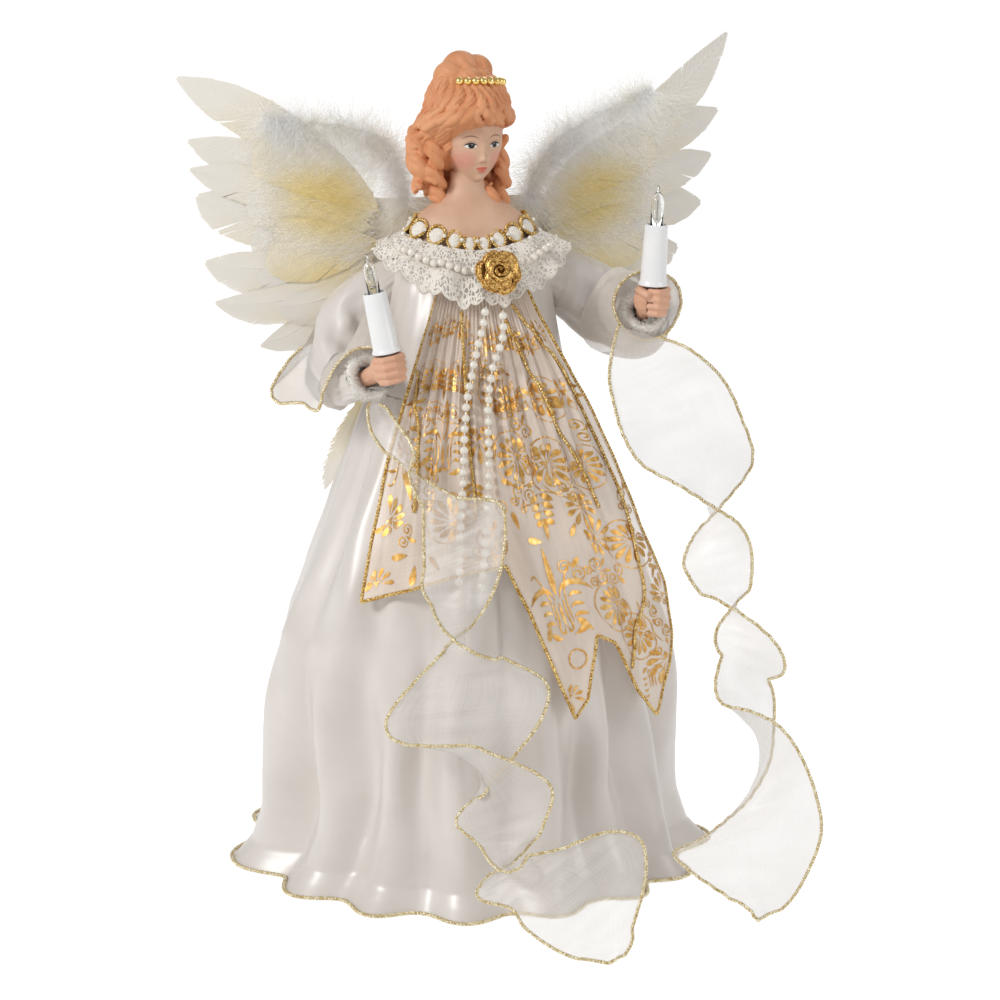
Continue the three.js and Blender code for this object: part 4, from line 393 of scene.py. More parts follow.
world = bpy.data.worlds.new("studio")
world.use_nodes = True
bpy.context.scene.world = world
sky = world.node_tree.nodes["Background"]
sky.inputs["Color"].default_value = linear("#FFFFFF")
strength = add_node(world, "MapRange", {"Value": seen_directly(world, "Is Transmission Ray"),
                    "To Min": ROOM_LIGHT, "To Max": 1.0})
world.node_tree.links.new(strength.outputs["Result"], sky.inputs["Strength"])

# Place and size in metres, and power in watts
for name, place, size, power in (("key_lamp", (-1.3, -0.7, 1.1), 0.5, 14),
                                 ("fill_lamp", (1.5, -1.1, 0.9), 0.8, 8),
                                 ("back_lamp", (0.7, 1.5, 1.2), 1.0, 6)):
    lamp_data = bpy.data.lights.new(name, "AREA")
    lamp_data.shape, lamp_data.size, lamp_data.energy = "DISK", size, power
    lamp = bpy.data.objects.new(name, lamp_data)
    lamp.location = place
    lamp.rotation_euler = (Vector((0, 0, 0.17)) - Vector(place)).to_track_quat("-Z", "Y").to_euler()
    bpy.context.scene.collection.objects.link(lamp)

# %% [markdown]
# ## Satin
# Satin is woven so that long threads float over the surface. Light runs along them in soft bright
# bands, and the back of each fold goes grey. Polyester fibre has a high IOR of 1.64. Its threads are
# far too fine to show, so the weave is drawn coarser, as a faint unevenness of 0.9 mm.

# %% Satin
satin = new_finish("woven_white_satin", Roughness=0.34, IOR=1.64, Sheen_Weight=0.15, Sheen_Roughness=0.4,
                   Coat_Weight=0.4, Coat_Roughness=0.32, Anisotropic=0.5)
place = add_node(satin, "UVMap", uv_map="cloth_metres").outputs[0]
threads = add_node(satin, "TexNoise", {"Vector": place, "Scale": 1 / 0.0009, "Detail": 2.0})
bump = add_node(satin, "Bump", {"Height": threads.outputs[0], "Strength": 0.35, "Distance": 0.00006})
feed(satin, "Normal", bump.outputs[0])
grained(satin, place, 26.0, ((0.3, "#D8D0C9"), (0.7, "#E2DBD5")), 3.0)

# %% [markdown]
# ## The dress's form
# The dress swells from the waist to the hem and stands in soft folds. These rows give its half width
# and half depth at each height, and the place, breadth and rise of each fold round the hem. They are
# the CAD part's own, so the cloth here hangs where its solids are.

# %% Dress form
DRESS_HEIGHT, HEM_RADIUS, WAIST_HEIGHT, FOLD_DEPTH = 280, 107, 212, 8.5
DRESS_ROWS = [
    (0, 1, 1), (0.018, 0.955, 0.958), (0.036, 0.915, 0.922), (0.09, 0.868, 0.878),
    (0.157, 0.838, 0.852), (0.254, 0.82, 0.83), (0.386, 0.775, 0.78), (0.471, 0.71, 0.72),
    (0.579, 0.605, 0.62), (0.657, 0.52, 0.545), (0.732, 0.44, 0.47), (0.793, 0.385, 0.4),
    (0.857, 0.355, 0.335), (0.921, 0.33, 0.25), (0.971, 0.292, 0.19), (1, 0.272, 0.17),
]
SKIRT_FOLDS = [
    (-0.235, 0.05, 1.5), (-0.16, 0.034, 0.85), (-0.095, 0.03, 0.75), (-0.03, 0.032, 0.8),
    (0.035, 0.03, 0.7), (0.098, 0.026, 0.75), (0.148, 0.03, 1), (0.225, 0.04, 1.15),
    (0.3, 0.034, 0.8), (0.372, 0.034, 0.9), (0.445, 0.034, 0.8), (-0.482, 0.032, 0.85),
    (-0.405, 0.036, 0.9), (-0.325, 0.036, 0.85),
]


def ellipse(half_width, half_depth, angle):
    return 1 / np.hypot(np.sin(angle) / half_width, np.cos(angle) / half_depth)


def dress_radius(angle, height):
    """Reach of the dress under its folds. Angles are from the front, towards the angel's left."""
    rows = np.asarray(DRESS_ROWS)
    key = np.clip(np.asarray(height, float) / DRESS_HEIGHT, 0, 1)
    width, depth = (np.interp(key, rows[:, 0], rows[:, k]) * HEM_RADIUS for k in (1, 2))
    return ellipse(width, depth, angle)


def fold_lift(angle):
    place = np.asarray(angle) / TURN
    lift = np.zeros_like(place)
    for middle, half_width, rise in SKIRT_FOLDS:
        away = place - middle
        away = np.abs(away - np.round(away)) / half_width
        lift = np.maximum(lift, np.where(away < 1, rise * (0.5 + 0.5 * np.cos(away * math.pi)), 0))
    return lift


def skirt_radius(angle, height):
    fall = np.clip(1 - np.asarray(height, float) / WAIST_HEIGHT, 0, 1)
    return dress_radius(angle, height) - FOLD_DEPTH * fall**0.8 * (1 - fold_lift(angle))


def around(angle, reach, height):
    """Points from the angle round the axis, the reach from it and the height."""
    angle, reach, height = np.broadcast_arrays(angle, reach, height)
    return np.stack([reach * np.sin(angle), -reach * np.cos(angle), height], axis=-1)

# %% [markdown]
# ## Skirt
# The skirt is one round of satin, gathered into the waist seam. Near the waist the gathers are many
# and shallow; they run together into a few broad folds at the hem. Each broad fold leans and carries
# a few slanting creases. The hem stands on the floor and is bound with a gold cord.

# %% Skirt
SKIRT_COLUMNS, SKIRT_ROWS = 480, 120
angles = np.linspace(0, TURN, SKIRT_COLUMNS, endpoint=False)
angle, height = np.meshgrid(angles, WAIST_HEIGHT * np.linspace(0, 1, SKIRT_ROWS) ** 1.25, indexing="xy")
fall = 1 - height / WAIST_HEIGHT
lean = 0.05 * np.sin(angle * 2 + 1) * fall * (1 - fall) * 4
valley = 3.2 * np.clip(fall * 1.5, 0, 1) * (1 - fold_lift(angle + lean)) ** 2
reach = skirt_radius(angle + lean, height) - 0.3 - valley
reach += 0.55 * np.cos(angle * 46 + 3 * np.sin(angle * 3)) * np.clip(1 - fall * 2.6, 0, 1)
creases = ripple(angle * 5 + fall * 5, fall * 7 - angle * 3, 11, 3)
reach += 1.6 * creases * np.sin(math.pi * np.clip(fall, 0, 1)) ** 0.7
middle_fall = np.clip(fall * 1.6, 0, 1) * np.clip((1 - fall) * 5, 0, 1)
crest = (0.5 + 0.5 * np.cos(angle * 8 + 4.5 * fall + 1.5 * np.sin(angle * 3))) ** 1.6
small_folds = 1.6 * np.sin(angle * 15 - 11 * fall) + 0.7 * np.sin(angle * 27 + 15 * fall)
reach += middle_fall * (8.5 * (crest - 0.5) + small_folds)
reach += 3.5 * np.exp(-((angle / TURN - 0.77) / 0.07) ** 2) * np.exp(-((fall - 0.52) / 0.2) ** 2)
reach += 0.5 * ripple(angle * 14 - fall * 6, fall * 16, 5, 2) * fall * (1 - fall) * 3
hem_lift = 0.9 + 1.1 * np.clip(ripple(angles * 4, angles * 0, 3, 2), 0, 1)
height = np.maximum(height, hem_lift[None, :] * (1 - fall))
skirt_grid = around(angle, reach, height)
skirt = cloth_piece("satin_skirt_drape", skirt_grid, satin, "satin", "satin_skirt", wrapped=True)

# %% [markdown]
# ## Gold cord
# The edges are bound with a cord of metallic yarn: a thin plastic film with a metal coat, wound
# round a pale core. It is bright and broken up into tiny flecks, and on the scarves the pale core
# shows between them. Brass-like colours, fully metallic flecks and a rough core give that look.

# %% Gold cords and ribbon
def metallic_yarn(name, dark, light, rough, fleck):
    """Metal film broken into flecks: the flecks' tilt is a bump and their colour varies."""
    material = new_finish(name, Metallic=0.7, Roughness=rough)
    place = add_node(material, "TexCoord").outputs["Object"]
    flecks = add_node(material, "TexVoronoi", {"Vector": place, "Scale": 1 / fleck})
    tone = add_node(material, "SeparateColor", {"Color": flecks.outputs["Color"]})
    colour = add_node(material, "ValToRGB", {"Fac": tone.outputs[0]}, ((0.15, dark), (0.85, light)))
    feed(material, "Base Color", colour.outputs[0])
    bump = add_node(material, "Bump", {"Height": tone.outputs[1], "Strength": 0.7, "Distance": fleck * 0.4})
    feed(material, "Normal", bump.outputs[0])
    return material


gold_gimp = metallic_yarn("gold_metallic_yarn", "#BC8A32", "#FBE3A0", 0.36, 0.0007)
pale_gold_cord = metallic_yarn("pale_gold_wired_cord", "#CDB67E", "#FBF3D8", 0.42, 0.0007)


def edge_cord(name, path, finish, radius=0.8, pitch=2.6, closed=False, slot="gold_braid"):
    print("cord", name, round(length_of(path)), "mm")
    return make_piece(name, *twisted_cord(path, radius, pitch, closed), finish, slot)


hem_path = around(angles, reach[0] + 0.6, np.maximum(height[0], 1.0))
hem_cord = edge_cord("hem_gold_cord", hem_path, pale_gold_cord, 0.9, 3.0, closed=True)
hem_round, waist_round = (length_of(looped(skirt_grid[row])) for row in (0, -1))
print("hem", round(hem_round), "mm, waist", round(waist_round), "mm")
cloth_size(skirt, hem_round, float(line_lengths(skirt_grid, 0).mean()), [hem_cord],
           min(0.999, (hem_round + waist_round) / 2 / hem_round))

# %% [markdown]
# ## Petticoat and bodice
# Stiff netting holds the skirt out from the cone. It is a mesh of fine plastic threads, so it is
# mostly holes: its cover is set low on the shader. The bodice is the same satin as the skirt, drawn
# in by the waist seam and by many small gathers at the neckline.

# %% Petticoat and bodice
netting = new_finish("stiff_nylon_netting", "#F1EFEA", Roughness=0.6, Sheen_Weight=0.3)
place = add_node(netting, "UVMap", uv_map="cloth_metres").outputs[0]
cells = add_node(netting, "TexVoronoi", {"Vector": place, "Scale": 1 / 0.0016}, feature="DISTANCE_TO_EDGE")
cover = add_node(netting, "MapRange", {"Value": cells.outputs["Distance"], "From Min": 0.05,
                 "From Max": 0.16, "To Min": 0.95, "To Max": 0.25})
feed(netting, "Alpha", cover.outputs[0])

angle, level = np.meshgrid(np.linspace(0, TURN, 360, endpoint=False), np.linspace(1.4, 200, 40), indexing="xy")
fall = np.clip(1 - level / WAIST_HEIGHT, 0, 1)
inside = FOLD_DEPTH * fall**0.8 + 12 * fall**0.5 + 2.2
grid = around(angle, dress_radius(angle, level) - inside + 0.7 * np.cos(angle * 36) * fall, level)
petticoat = cloth_piece("netting_petticoat", grid, netting, "netting", "petticoat", wrapped=True)
cloth_size(petticoat, length_of(looped(grid[0])), float(line_lengths(grid, 0).mean()),
           share=0.68)

BODICE_FOOT, TUCK_HEIGHT, NECK_DIP = 206, 9, 7
levels = np.linspace(BODICE_FOOT, DRESS_HEIGHT, 50)
angle, level = np.meshgrid(np.linspace(0, TURN, 240, endpoint=False), levels, indexing="xy")
up = (level - BODICE_FOOT) / (DRESS_HEIGHT - BODICE_FOOT)
tuck = 1.6 * np.clip(1 - (level - BODICE_FOOT) / TUCK_HEIGHT, 0, 1)
gathers = 0.35 * np.cos(angle * 40 + 2 * np.sin(3 * angle)) * (0.3 + 0.7 * np.clip(up * 3 - 2, 0, 1))
dip = NECK_DIP * np.clip(np.cos(angle), 0, 1) ** 1.5 * up
grid = around(angle, dress_radius(angle, level) - 0.3 - tuck + gathers, level - dip)
bodice = cloth_piece("satin_bodice_shell", grid, satin, "satin", "satin_bodice", wrapped=True)
cloth_size(bodice, length_of(looped(grid[5])), float(line_lengths(grid, 0).mean()))

# %% [markdown]
# ## Organza
# Organza is a sheer, stiff weave of twisted threads. From the front it lets most light through, and
# where it folds over itself, more threads stand behind each other and it looks white. Its cover is a
# pattern of slubby threads both ways, with soft clouding where the weave is a little closer.

# %% Organza
def sheer(name, colour, low_cover, high_cover):
    """Sheer cloth: its cover varies with the threads, which run both ways, and with soft clouding."""
    material = new_finish(name, colour, Roughness=0.42, Sheen_Weight=0.6, IOR=1.55)
    place = add_node(material, "UVMap", uv_map="cloth_metres").outputs[0]
    covers = []
    for scale in ((1 / 0.0004, 1 / 0.03, 1), (1 / 0.03, 1 / 0.0004, 1)):
        stretched = add_node(material, "VectorMath", {0: place, 1: scale}, operation="MULTIPLY").outputs[0]
        threads = add_node(material, "TexNoise", {"Vector": stretched, "Detail": 1.0, "Scale": 1.0})
        covers.append(threads.outputs[0])
    crossing = add_node(material, "Math", {0: covers[0], 1: covers[1]}, operation="ADD")
    cloud = add_node(material, "TexNoise", {"Vector": place, "Scale": 32.0, "Detail": 2.0})
    total = add_node(material, "Math", {0: cloud.outputs[0], 1: 3.2, 2: crossing.outputs[0]},
                     operation="MULTIPLY_ADD")
    cover = add_node(material, "MapRange", {"Value": total.outputs[0], "From Min": 1.8, "From Max": 3.4,
                     "To Min": low_cover, "To Max": high_cover})
    feed(material, "Alpha", cover.outputs[0])
    return material


scarf_organza = sheer("sheer_white_organza", "#E6E1DC", 0.36, 0.58)
tunic_organza = sheer("cream_printed_organza", "#F0DFCF", 0.6, 0.84)
bell_organza = sheer("sheer_cream_organza", "#E4DACF", 0.58, 0.84)

# %% [markdown]
# ## Tunic
# The tunic hangs from under the collar in deep pleats and ends in points. Its side edges and its
# lower edge come from the CAD part's rows, and every edge is bound with gold cord. More gold cords
# run down the pleats, where the panels overlap.

# %% Tunic form
TUNIC_TOP, TUNIC_OFFSET, TUNIC_FOLD, TUNIC_PLEATS, TUNIC_STANDOFF = 257, 2.4, 3.2, 13, 8
# Share of the fall, and the turns of the right and the left edge
TUNIC_EDGES = np.array([(0, -0.105, 0.12), (0.3, -0.118, 0.13), (0.55, -0.127, 0.15), (1, -0.125, 0.172)])
# Share of the width, and the hem's height as a share of the dress
TUNIC_HEM = np.array([
    (0, 0.468), (0.12, 0.49), (0.23, 0.508), (0.34, 0.525), (0.44, 0.53), (0.5, 0.46),
    (0.56, 0.36), (0.605, 0.297), (0.65, 0.32), (0.7, 0.415), (0.745, 0.4), (0.8, 0.32),
    (0.865, 0.272), (0.92, 0.34), (1, 0.46)])


def tunic_hem(share):
    return np.interp(share, TUNIC_HEM[:, 0], TUNIC_HEM[:, 1]) * DRESS_HEIGHT


def tunic_point(share, height, lift=0.0):
    """A place on the tunic from its share of the width and its height, lifted off the cloth."""
    share, height = np.broadcast_arrays(np.asarray(share, float), np.asarray(height, float))
    down = np.clip((TUNIC_TOP - height) / (TUNIC_TOP - tunic_hem(share)), 0, 1.05)
    right, left = (np.interp(down, TUNIC_EDGES[:, 0], TUNIC_EDGES[:, k]) for k in (1, 2))
    angle = (right + (left - right) * share) * TURN
    fall = np.clip((TUNIC_TOP - height) / TUNIC_TOP, 0, 1)
    flat = ease(fall, 0.12, 0.5)
    pleat = (0.5 + 0.5 * np.cos(share * TUNIC_PLEATS * TURN)) * (1 - flat)
    pleat = pleat + flat * (0.5 + 0.5 * np.cos(share * 5 * TURN + 1.2))
    depth = TUNIC_FOLD * np.minimum(1, fall * 6) * (1 - 0.35 * flat)
    offset = np.maximum(0.65, TUNIC_OFFSET * np.minimum(1, fall * 8))
    crumple = 0.35 * ripple(share * 42, height * 0.16, 21, 2) * np.minimum(1, fall * 5)
    gathers = 0.7 * np.cos(share * 31 * TURN + height * 0.04 + 2 * np.sin(share * 9))
    gathers = gathers * np.clip(1 - fall * 2.6, 0, 1)
    outer = ease(share, 0.66, 0.96) * ease(fall, 0, 0.2) * TUNIC_STANDOFF
    reach = dress_radius(angle, height) + offset + depth * pleat + crumple + gathers + outer + lift
    return around(angle, reach, height)


shares = np.linspace(0, 1, 313)
tunic_grid = np.array([tunic_point(shares, TUNIC_TOP + (tunic_hem(shares) - TUNIC_TOP) * down)
                       for down in np.linspace(0, 1, 130)])
tunic = cloth_piece("organza_tunic_cloth", tunic_grid, tunic_organza, "printed_organza", "organza_tunic")

# %% Tunic cords
# Share of the tunic's width and height in mm, down each cord
PLEAT_CORDS = {
    "centre": [(0.27, 250), (0.306, 239), (0.336, 223), (0.352, 207), (0.36, 190), (0.365, 170)],
    "right": [(0.02, 226), (0.067, 214), (0.115, 202), (0.147, 190), (0.15, 170)],
    "left": [(0.76, 252), (0.86, 240), (0.93, 228), (0.955, 210), (0.965, 190), (0.955, 172), (0.93, 150),
             (0.9, 128), (0.83, 112), (0.79, 100)],
    "inner": [(0.64, 250), (0.7, 236), (0.76, 220), (0.8, 204), (0.84, 186), (0.86, 168)],
}
tunic_cords = [edge_cord(f"tunic_{name}_cord", path, gold_gimp, 0.85) for name, path in
               (("right_edge", tunic_grid[:, 0]), ("left_edge", tunic_grid[:, -1]), ("hem", tunic_grid[-1]))]
for name, rows in PLEAT_CORDS.items():
    way = smooth_curve([(s, h, 0) for s, h in rows], 120)
    tunic_cords.append(edge_cord(f"pleat_cord_{name}", tunic_point(way[:, 0], way[:, 1], 0.9), gold_gimp))

# %% [markdown]
# ## Foil print
# The print is gold foil, pressed on in classical palmettes, lilies and scrolls. The foil lies on the
# threads, so it is a set of thin flat shapes just above the cloth. Each motif is drawn once on flat
# cloth from leaves and curling stems, then laid on the pleats.

# %% Foil motifs
foil = new_finish("pressed_gold_foil", Metallic=0.85, Roughness=0.42)
worn = grained(foil, add_node(foil, "TexCoord").outputs["Object"], 420.0,
               ((0.3, "#BE8A40"), (0.5, "#D6A65C"), (0.75, "#EBCB8E")), 4.0)
bump = add_node(foil, "Bump", {"Height": worn, "Strength": 0.2, "Distance": 0.0003})
feed(foil, "Normal", bump.outputs[0])


def stroke(line, half):
    """Both edges of a stroke, half its width from its middle line."""
    along = unit(np.gradient(line, axis=0))
    square = np.stack([along[:, 1], -along[:, 0]], axis=1) * half[:, None]
    return line + square, line - square


def leaf(hand, size, x, y, way, length, width, bend=0.0, fat=0.62):
    """A leaf or petal as two edges, from its foot towards its tip. Ways are turns from upwards."""
    t = np.linspace(0, 1, 9)
    angle = hand * (way * TURN + bend * t)
    middle = np.stack([hand * x + length * t * np.sin(angle), y + length * t * np.cos(angle)], axis=1) * size
    half = size * width / 2 * np.sin(math.pi * t**fat) ** 0.8
    half[0], half[-1] = size * width * 0.06, 0.02
    square = np.stack([np.cos(angle), -np.sin(angle)], axis=1) * half[:, None]
    return middle + square, middle - square


def stem(hand, size, width, *points):
    """A stroke of even width with fine ends."""
    line = smooth_curve([(hand * x * size, y * size, 0) for x, y in points], 26)[:, :2]
    return stroke(line, size * width / 2 * np.clip(np.sin(np.linspace(0.05, 1, 26) * math.pi) * 3, 0.25, 1))


def curl(hand, size, x, y, way, reach, spin=1, width=0.6):
    """A spiral scroll that winds in to its eye. Its line is as wide at any size."""
    t = np.linspace(0, 1, 30)
    angle = hand * (way + spin * t * 1.4) * TURN
    away = size * reach * ((1 - t) ** 0.8 + 0.12)
    line = np.stack([hand * x * size + away * np.sin(angle), y * size + away * np.cos(angle)], axis=1)
    return stroke(line, width / 2 * np.linspace(0.7, 1.5, 30))


def ring(hand, size):
    t = np.linspace(0, TURN, 25)
    circle = np.stack([np.sin(t), np.cos(t)], axis=1) * size
    return circle * 3.1, circle * 2.6


def palmette(petals):
    spread = np.linspace(-1, 1, petals)
    return [*[(leaf, ONE, 1.7 * math.sin(2.55 * t), 1.7 * math.cos(2.55 * t) + 0.6, 2.55 * t / TURN,
               8.6 - 2.6 * abs(t), 2.3, -0.35 * t, 1.9) for t in spread],
            (curl, BOTH, 1.9, -3.2, 0.1, 1.5), (leaf, BOTH, 0.2, 0.2, 0.25, 1.5, 1.1, 0, 1),
            (leaf, ONE, 0, -2.2, 0, 2.6, 1.5, 0, 1)]


# Each stroke: what draws it, the sides that it is drawn on, and its own values
MOTIFS = {
    "palmette": [*palmette(11), (stem, BOTH, 0.5, (0.6, -4.6), (4.5, -5.4), (8.6, -3.6), (10.6, 1), (9.8, 6),
                                 (6, 10.2), (0, 11.6))],
    "fan": palmette(9),
    "lily": [(leaf, ONE, 0, 3.5, 0, 17, 3, 0, 0.75), (leaf, ONE, 0, 1, 0.5, 9, 1.2, 0, 0.9),
             (leaf, BOTH, 1.1, 2, 0.01, 12.5, 2.8, 1.5, 1.7),
             (stem, BOTH, 0.7, (2, 1.5), (1.9, -4), (2.6, -8.5), (1.3, -9.6), (0.6, -7.5)),
             (stem, BOTH, 0.6, (10, 10.6), (8.6, 12), (7, 10.4), (4.2, 5), (3.3, -1), (3.6, -7)),
             *[(leaf, BOTH, x, y, 0.11, 4.6, 1.7, 0.8, 1.5)
               for x, y in ((4.6, 5), (4.6, 1.4), (4.2, -2.2), (4.2, -5.8))],
             (leaf, BOTH, 2.2, -11, 0.24, 6, 2.2, -0.4, 1.4)],
    "spray": [(leaf, ONE, 0, -4, 0.5, 7.5, 2.2),
              *[(leaf, BOTH, 0.4, 4.4 - 2.9 * i, 0.34, 5 - 0.5 * i, 2.3, 0, 1.4) for i in range(4)]],
    "scrolls": [(curl, BOTH, 3.4, 3, 0.5, 2.6), (curl, BOTH, 3, -4, 0, 2, -1),
                (stem, BOTH, 0.6, (5.9, 3), (5, -1), (2.4, -2), (0.6, -0.6)), (leaf, BOTH, 1.2, 5.4, 0.08, 4, 1.4)],
    "loops": [(stem, BOTH, 0.55, (0.3, 6), (1.6, 3), (0.7, -3), (1.5, -6), (3.2, -5), (2.6, 0), (4.2, 6)),
              (leaf, BOTH, 1.9, -5, 0.01, 4, 1)],
    "vine": [*[(stem, ONE, 0.5, (-11, 3.4 * up), (-5.5, 4.6 * up), (0, 3.4 * up), (5.5, 4.6 * up), (11, 3.4 * up))
               for up in BOTH],
             *[(curl, ONE, -8 + 5.3 * i, 0.6 * up, 0.25, 2.1, up, 0.55) for i, up in enumerate(BOTH * 2)],
             *[(leaf, ONE, -5.6 + 5.3 * i, -1.4 * up, 0.25 + 0.05 * up, 3, 1.3) for i, up in enumerate(BOTH * 2)]],
    "ring": [(ring, ONE)],
    "curls": [(curl, BOTH, 2.4, 0, -0.1, 2.2), (leaf, ONE, 0, 0.5, 0, 5, 1.8, 0, 1.4)],
    "leaf": [(leaf, ONE, 0, -3, 0, 7, 2.4)],
}

# Where each motif lies: share of the tunic's width, height in mm, turn from upright, and size
PRINT = {
    "palmette": [(0.69, 188, 0.3, 0.9), (0.575, 192, -0.3, 0.9), (0.8, 128, -0.33, 0.85),
        (0.93, 152, -0.35, 0.85), (0.86, 113, -0.3, 0.8), (0.05, 165, -0.1, 0.85), (0.285, 166, -0.1, 0.85),
        (0.86, 186, 0.35, 0.75), (0.97, 126, 0.1, 0.75), (0.5, 215, 0.1, 0.85), (0.76, 214, 0.25, 0.8),
        (0.13, 222, -0.05, 0.75), (0.31, 222, 0.02, 0.75), (0.7, 236, 0.1, 0.65)],
    "spray": [(0.637, 171, 0, 1), (0.66, 214, 0.2, 0.9), (0.22, 224, 0, 0.8), (0.36, 178, 0.0, 0.8),
        (0.99, 142, 0.1, 0.7)],
    "lily": [(0.62, 131, -0.02, 1), (0.245, 196, 0.0, 0.8), (0.07, 192, 0.45, 0.8), (0.87, 90, 0.5, 0.6),
        (0.42, 234, 0.02, 0.6)],
    "fan": [(0.92, 100, 0.48, 1), (0.4, 200, 0.5, 0.8), (0.04, 139, 0.3, 0.7), (0.8, 156, 0.2, 0.8),
        (0.6, 93, 0.4, 0.6), (0.9, 216, 0.3, 0.75), (0.6, 238, 0.05, 0.75), (0.9, 240, 0.15, 0.6),
        (0.18, 243, -0.05, 0.65), (0.03, 212, 0.2, 0.7), (0.78, 170, 0.5, 0.75), (0.34, 150, 0.5, 0.6)],
    "ring": [(0.64, 108, 0, 1.2), (0.14, 206, 0, 0.8), (0.46, 172, 0, 0.8)],
    "loops": [(0.705, 110, 0.25, 0.9), (0.64, 95, -0.05, 1)],
    "leaf": [(0.72, 101, 0.3, 1), (0.104, 151, 0.2, 1), (0.16, 144, 0.02, 1), (0.51, 167, 0.45, 0.9),
        (0.573, 158, 0.28, 1), (0.83, 212, 0.2, 1), (0.36, 214, 0.02, 0.9), (0.46, 196, 0.5, 0.9),
        (0.72, 160, 0.1, 0.8), (0.5, 182, 0.3, 0.8), (0.22, 150, 0.4, 0.8), (0.68, 122, 0.4, 0.9),
        (0.56, 120, 0.05, 0.9)],
    "scrolls": [(0.4, 157, 0.1, 1), (0.76, 142, 0.2, 0.8), (0.985, 108, 0.2, 0.7), (0.58, 214, 0.1, 0.9),
        (0.5, 238, 0, 0.75), (0.8, 236, 0.1, 0.7), (0.08, 240, -0.05, 0.7), (0.3, 243, 0, 0.7),
        (0.17, 176, 0, 0.8), (0.97, 168, 0.1, 0.7), (0.56, 176, 0.1, 0.8)],
    "vine": [(0.92, 118, 0.2, 0.8), (0.75, 176, 0.1, 0.75), (0.22, 210, 0.02, 0.7), (0.5, 226, 0, 0.7)],
    "curls": [(0.68, 144, 0.1, 1), (0.12, 160, 0.3, 0.9), (0.62, 203, 0.1, 1), (0.9, 200, 0.2, 0.9),
        (0.2, 186, 0.2, 0.9), (0.84, 140, 0.4, 0.9)],
}
FOIL_LIFT, EDGE_MARGIN = 0.22, 0.004
parts = []
for kind, share0, height0, turn, size in [(kind, *spot) for kind, spots in PRINT.items() for spot in spots]:
    flat_width = float(dress_radius(0.5, height0) + 6) * 0.28 * TURN
    size *= 1.2 - 0.3 * float(ease(height0, 195, 240))
    c, s = math.cos(turn * TURN), math.sin(turn * TURN)
    for draw, hands, *values in MOTIFS[kind]:
        for hand in hands:
            edge = np.concatenate(draw(hand, size, *values))
            place_share = share0 + (edge[:, 0] * c + edge[:, 1] * s) / flat_width
            place_height = height0 + edge[:, 1] * c - edge[:, 0] * s
            on_cloth = ((np.abs(place_share - 0.5) <= 0.5 - EDGE_MARGIN) & (place_height <= TUNIC_TOP)
                        & (place_height >= tunic_hem(place_share) + 1))
            if on_cloth.all():
                parts.append((tunic_point(place_share, place_height, FOIL_LIFT), grid_faces(2, len(edge) // 2)))
foil_print = make_piece("tunic_foil_print", *gather(parts), foil, "printed_organza")
print("foil shapes", len(parts))

wide, long = length_of(tunic_grid[60]), float(line_lengths(tunic_grid, 0).max())
patches = np.cross(tunic_grid[1:, :-1] - tunic_grid[:-1, :-1], tunic_grid[:-1, 1:] - tunic_grid[:-1, :-1])
cloth_size(tunic, wide, long, [*tunic_cords, foil_print],
           min(1, max(0.31, np.linalg.norm(patches, axis=2).sum() / wide / long)))

# %% [markdown]
# ## Scarves
# Each scarf is a ribbon of organza with a wire inside its gold edges, so it keeps the
# curves that it was bent into. Rows give both edges of each ribbon as a turn round the angel's axis,
# a reach and a height. Between the wires the cloth sags a little and puckers along the edges.

